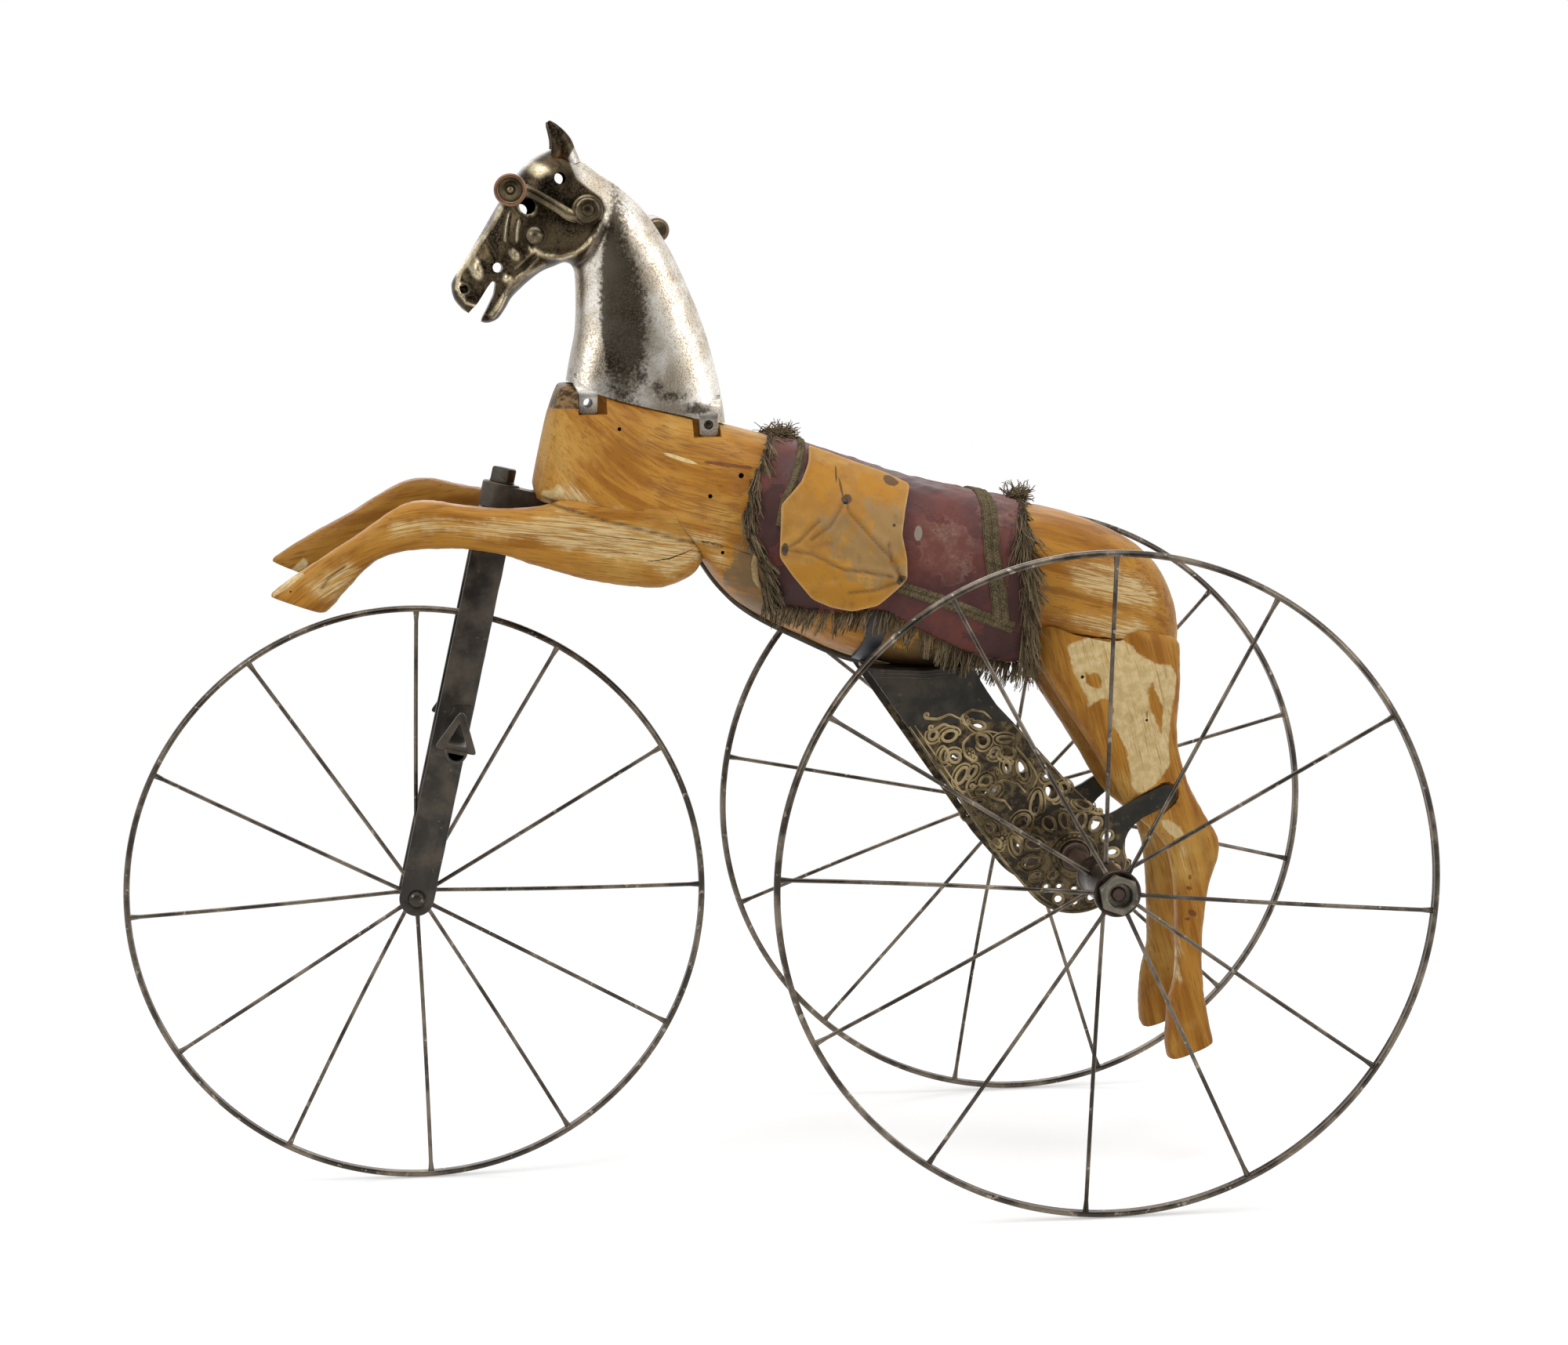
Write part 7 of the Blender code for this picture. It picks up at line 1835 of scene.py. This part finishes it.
def braidStrands(path, way, width, thick, pitch):
    # Three strands plaited over a path: each swings from side to side, and lifts as it crosses.
    along = np.concatenate([[0], np.cumsum(np.linalg.norm(np.diff(path, axis=0), axis=1))]) / mm
    side = unit(np.cross(way, unit(np.gradient(path, axis=0))))
    strands = []
    for strand in range(3):
        phase = along / pitch * math.tau + strand * math.tau / 3
        swing = np.sin(phase) * (width / 2 - thick)
        lift = (np.sin(2 * phase) * 0.45 + 0.9) * thick
        centre = path + side * (swing * mm)[:, None] + way * (lift * mm)[:, None]
        strands.append(addTube("strand", centre, thick * mm, 7, up=way, flat=0.75))
    return strands


def addBraid(name, points, width, gap, thick, lanes, seed):
    # A braid of one lane, or of two side by side, with a cord along each lane's edges.
    places, ways = onSkin(roundedPath(points, 150, soften=8), gap)
    for _ in range(6):
        ways[1:-1] = unit(ways[:-2] + 2 * ways[1:-1] + ways[2:])
    side = unit(np.cross(ways, unit(np.gradient(places, axis=0))))
    pieces = []
    for lane in lanes:
        path = places + side * lane * width * mm
        pieces += braidStrands(path, ways, width / len(lanes) - 0.8, thick, 7.5)
        for rim in (-0.5, 0.5):
            cord = path + side * rim * (width / len(lanes) - 0.6) * mm + ways * thick * 0.5 * mm
            pieces.append(addTube("cord", cord, 0.5 * mm, 6, up=ways))
    braid = joined(name, pieces)
    paintShade(braid, seed)
    return finished(braid, "braidThread", "frame", angle=80)


def paintShade(piece, seed):
    # A paler or darker shade for each place, in patches a few millimetres long.
    points = pointsOf(piece)
    writeLayer(piece, "shade", 0.45 + unevenness(points, 0.003, 0.45, seed) + unevenness(points, 0.03, 0.2, seed + 1))


def addFringe(name, base, direction, length, seed, curl=0.06):
    # Loose threads in small bunches: each leaves its root, drops and curls a little, and the threads
    # of a bunch draw together towards their ends.
    draw = np.random.default_rng(seed)
    count, sides, knots, clump, radius = len(base), 4, 9, 6, 0.55
    bunch = np.arange(count) // clump
    bunches = bunch[-1] + 1
    share = np.linspace(0, 1, knots)[None, :, None]
    length = (length * draw.uniform(0.82, 1.12, bunches)[bunch] * draw.uniform(0.8, 1.1, count))[:, None, None]
    lean = draw.normal(0, 0.16, (bunches, 3))[bunch] + draw.normal(0, 0.07, (count, 3))
    direction = unit(direction + lean)[:, None, :]
    swing = (draw.normal(0, 1.0, (bunches, 3))[bunch] + draw.normal(0, 0.6, (count, 3)))[:, None, :] * curl
    twist = draw.normal(0, 1, (count, 1, 3)) * curl * 0.5
    path = base[:, None, :] + length * (direction * share + swing * share ** 2
                                        + twist * np.sin(share * draw.uniform(4, 9, (count, 1, 1))))
    path = path + length * share ** 2 * np.array([0, 0, -0.12])
    middle = np.stack([np.bincount(bunch, base[:, k]) / np.bincount(bunch) for k in range(3)], 1)[bunch]
    path = path + (middle - base)[:, None, :] * share * 0.5
    forward = unit(np.gradient(path, axis=1))
    across = unit(np.cross(forward, draw.normal(size=(count, 1, 3))))
    other = np.cross(forward, across)
    turn = fullTurn(sides)[:, None]
    thick = radius * mm * (1.0 - 0.4 * share[..., 0]) * draw.uniform(0.8, 1.25, (count, 1))
    rings = path[:, :, None, :] + thick[..., None, None] * (np.cos(turn) * across[:, :, None, :]
                                                            + np.sin(turn) * other[:, :, None, :])
    one = gridFaces(knots, sides, False, True)
    one = np.vstack([one, [[3, 2, 1, 0], np.arange(sides) + (knots - 1) * sides]])
    faces = (one[None] + (np.arange(count) * knots * sides)[:, None, None]).reshape(-1, 4)
    piece = meshObject(name, rings, faces.tolist())
    tint = 0.45 * draw.uniform(0.0, 1.0, bunches)[bunch] + 0.55 * draw.uniform(0.0, 1.0, count)
    # each thread's own tint, darker towards its root as painted shade
    shade = tint[:, None, None] * (0.25 + 0.75 * smoothStep(share, 0.0, 0.45)) * np.ones((1, 1, sides))
    writeLayer(piece, "shade", shade.reshape(-1))
    return finished(piece, "fringeThread", "frame", angle=180)


def edgeRoots(points, count, gap, spread, seed, side):
    # Seeded roots along an edge: a place on the skin, its outward direction and the edge's run.
    draw = np.random.default_rng(seed)
    path = roundedPath(points, 160, soften=6) * (1, side, 1)
    share = np.sort(draw.uniform(0, 159, count))
    picked, run = (np.stack([np.interp(share, np.arange(160), column) for column in rows.T], 1)
                   for rows in (path, unit(np.gradient(path, axis=0))))
    return *onSkin(picked + draw.normal(0, spread, picked.shape), gap), run


def addFringes(side, word):
    pieces = []
    layer = saddle["blanketGap"] + saddle["blanketThick"] + 1.2
    for number, row in enumerate(saddle["fringes"]):
        name, edge, first, count, more, spread, lean, out, along, length = row
        places, ways, run = edgeRoots(saddle[edge][first:], count, layer + more, spread, 91 + number, side)
        pieces.append(addFringe("fringe" + name + word, places, np.array(lean) + ways * out + run * along, length,
                                101 + 2 * number + side))
    # The blanket's raw front edge, and the twisted ribbon in front of it.
    path, ways = onSkin(roundedPath(saddle["frontEdge"], 120, soften=6) * (1, side, 1), layer - 0.4)
    cords = [addTube("edge", path, 0.75 * mm, 6, up=ways)]
    path, ways = onSkin(roundedPath(saddle["ribbon"], 60, soften=6) * (1, side, 1), 1.6)
    share = np.linspace(0, 1, 60)
    cords.append(addTube("ribbon", path + ways * (0.9 * np.sin(share * 11) * mm)[:, None],
                         (0.8 + 1.9 * np.sin(share * math.pi)) * mm, 8, up=ways, flat=0.25))
    edging = joined("rawEdge" + word, cords)
    paintShade(edging, 17)
    return pieces + [finished(edging, "rawThread", "frame", angle=80)]


def addTuft(name, x, z, spread, count):
    # An upright tuft where the fringes cross the spine, in front of or behind the saddle.
    draw = np.random.default_rng(count)
    base = np.column_stack([x + draw.normal(0, spread, count), draw.normal(0, 12, count), np.full(count, z)])
    places, ways = onSkin(base[np.argsort(base[:, 1])], 3.2)
    lean = ways * 0.40 + draw.normal(0, 0.50, (count, 3)) * (1, 0.6, 0.5) + np.array([-0.30, 0, 0.0])
    return addFringe(name, places, lean, 0.014, 130 + count, 0.16)


blanket = addBlanket()
print("blanket area", round(sheetArea(blanket), 5))
flaps = [addFlap(side, word) for side, word in bothSides]
straps = [addStrap(side, word) for side, word in bothSides]
soft = []
for side, word in bothSides:
    for key, width, lanes, seed in saddle["braids"]:
        soft.append(addBraid(key + word, np.array(saddle[key]) * (1, side, 1), width,
                             saddle["blanketGap"] + saddle["blanketThick"] + 0.8, 1.0, lanes, seed))
for side, word in bothSides:
    soft += addFringes(side, word)
soft += [addTuft("tuftFront", 229, 352, 7, 120), addTuft("tuftRear", 32, 291, 4, 110)]
print("saddlery")
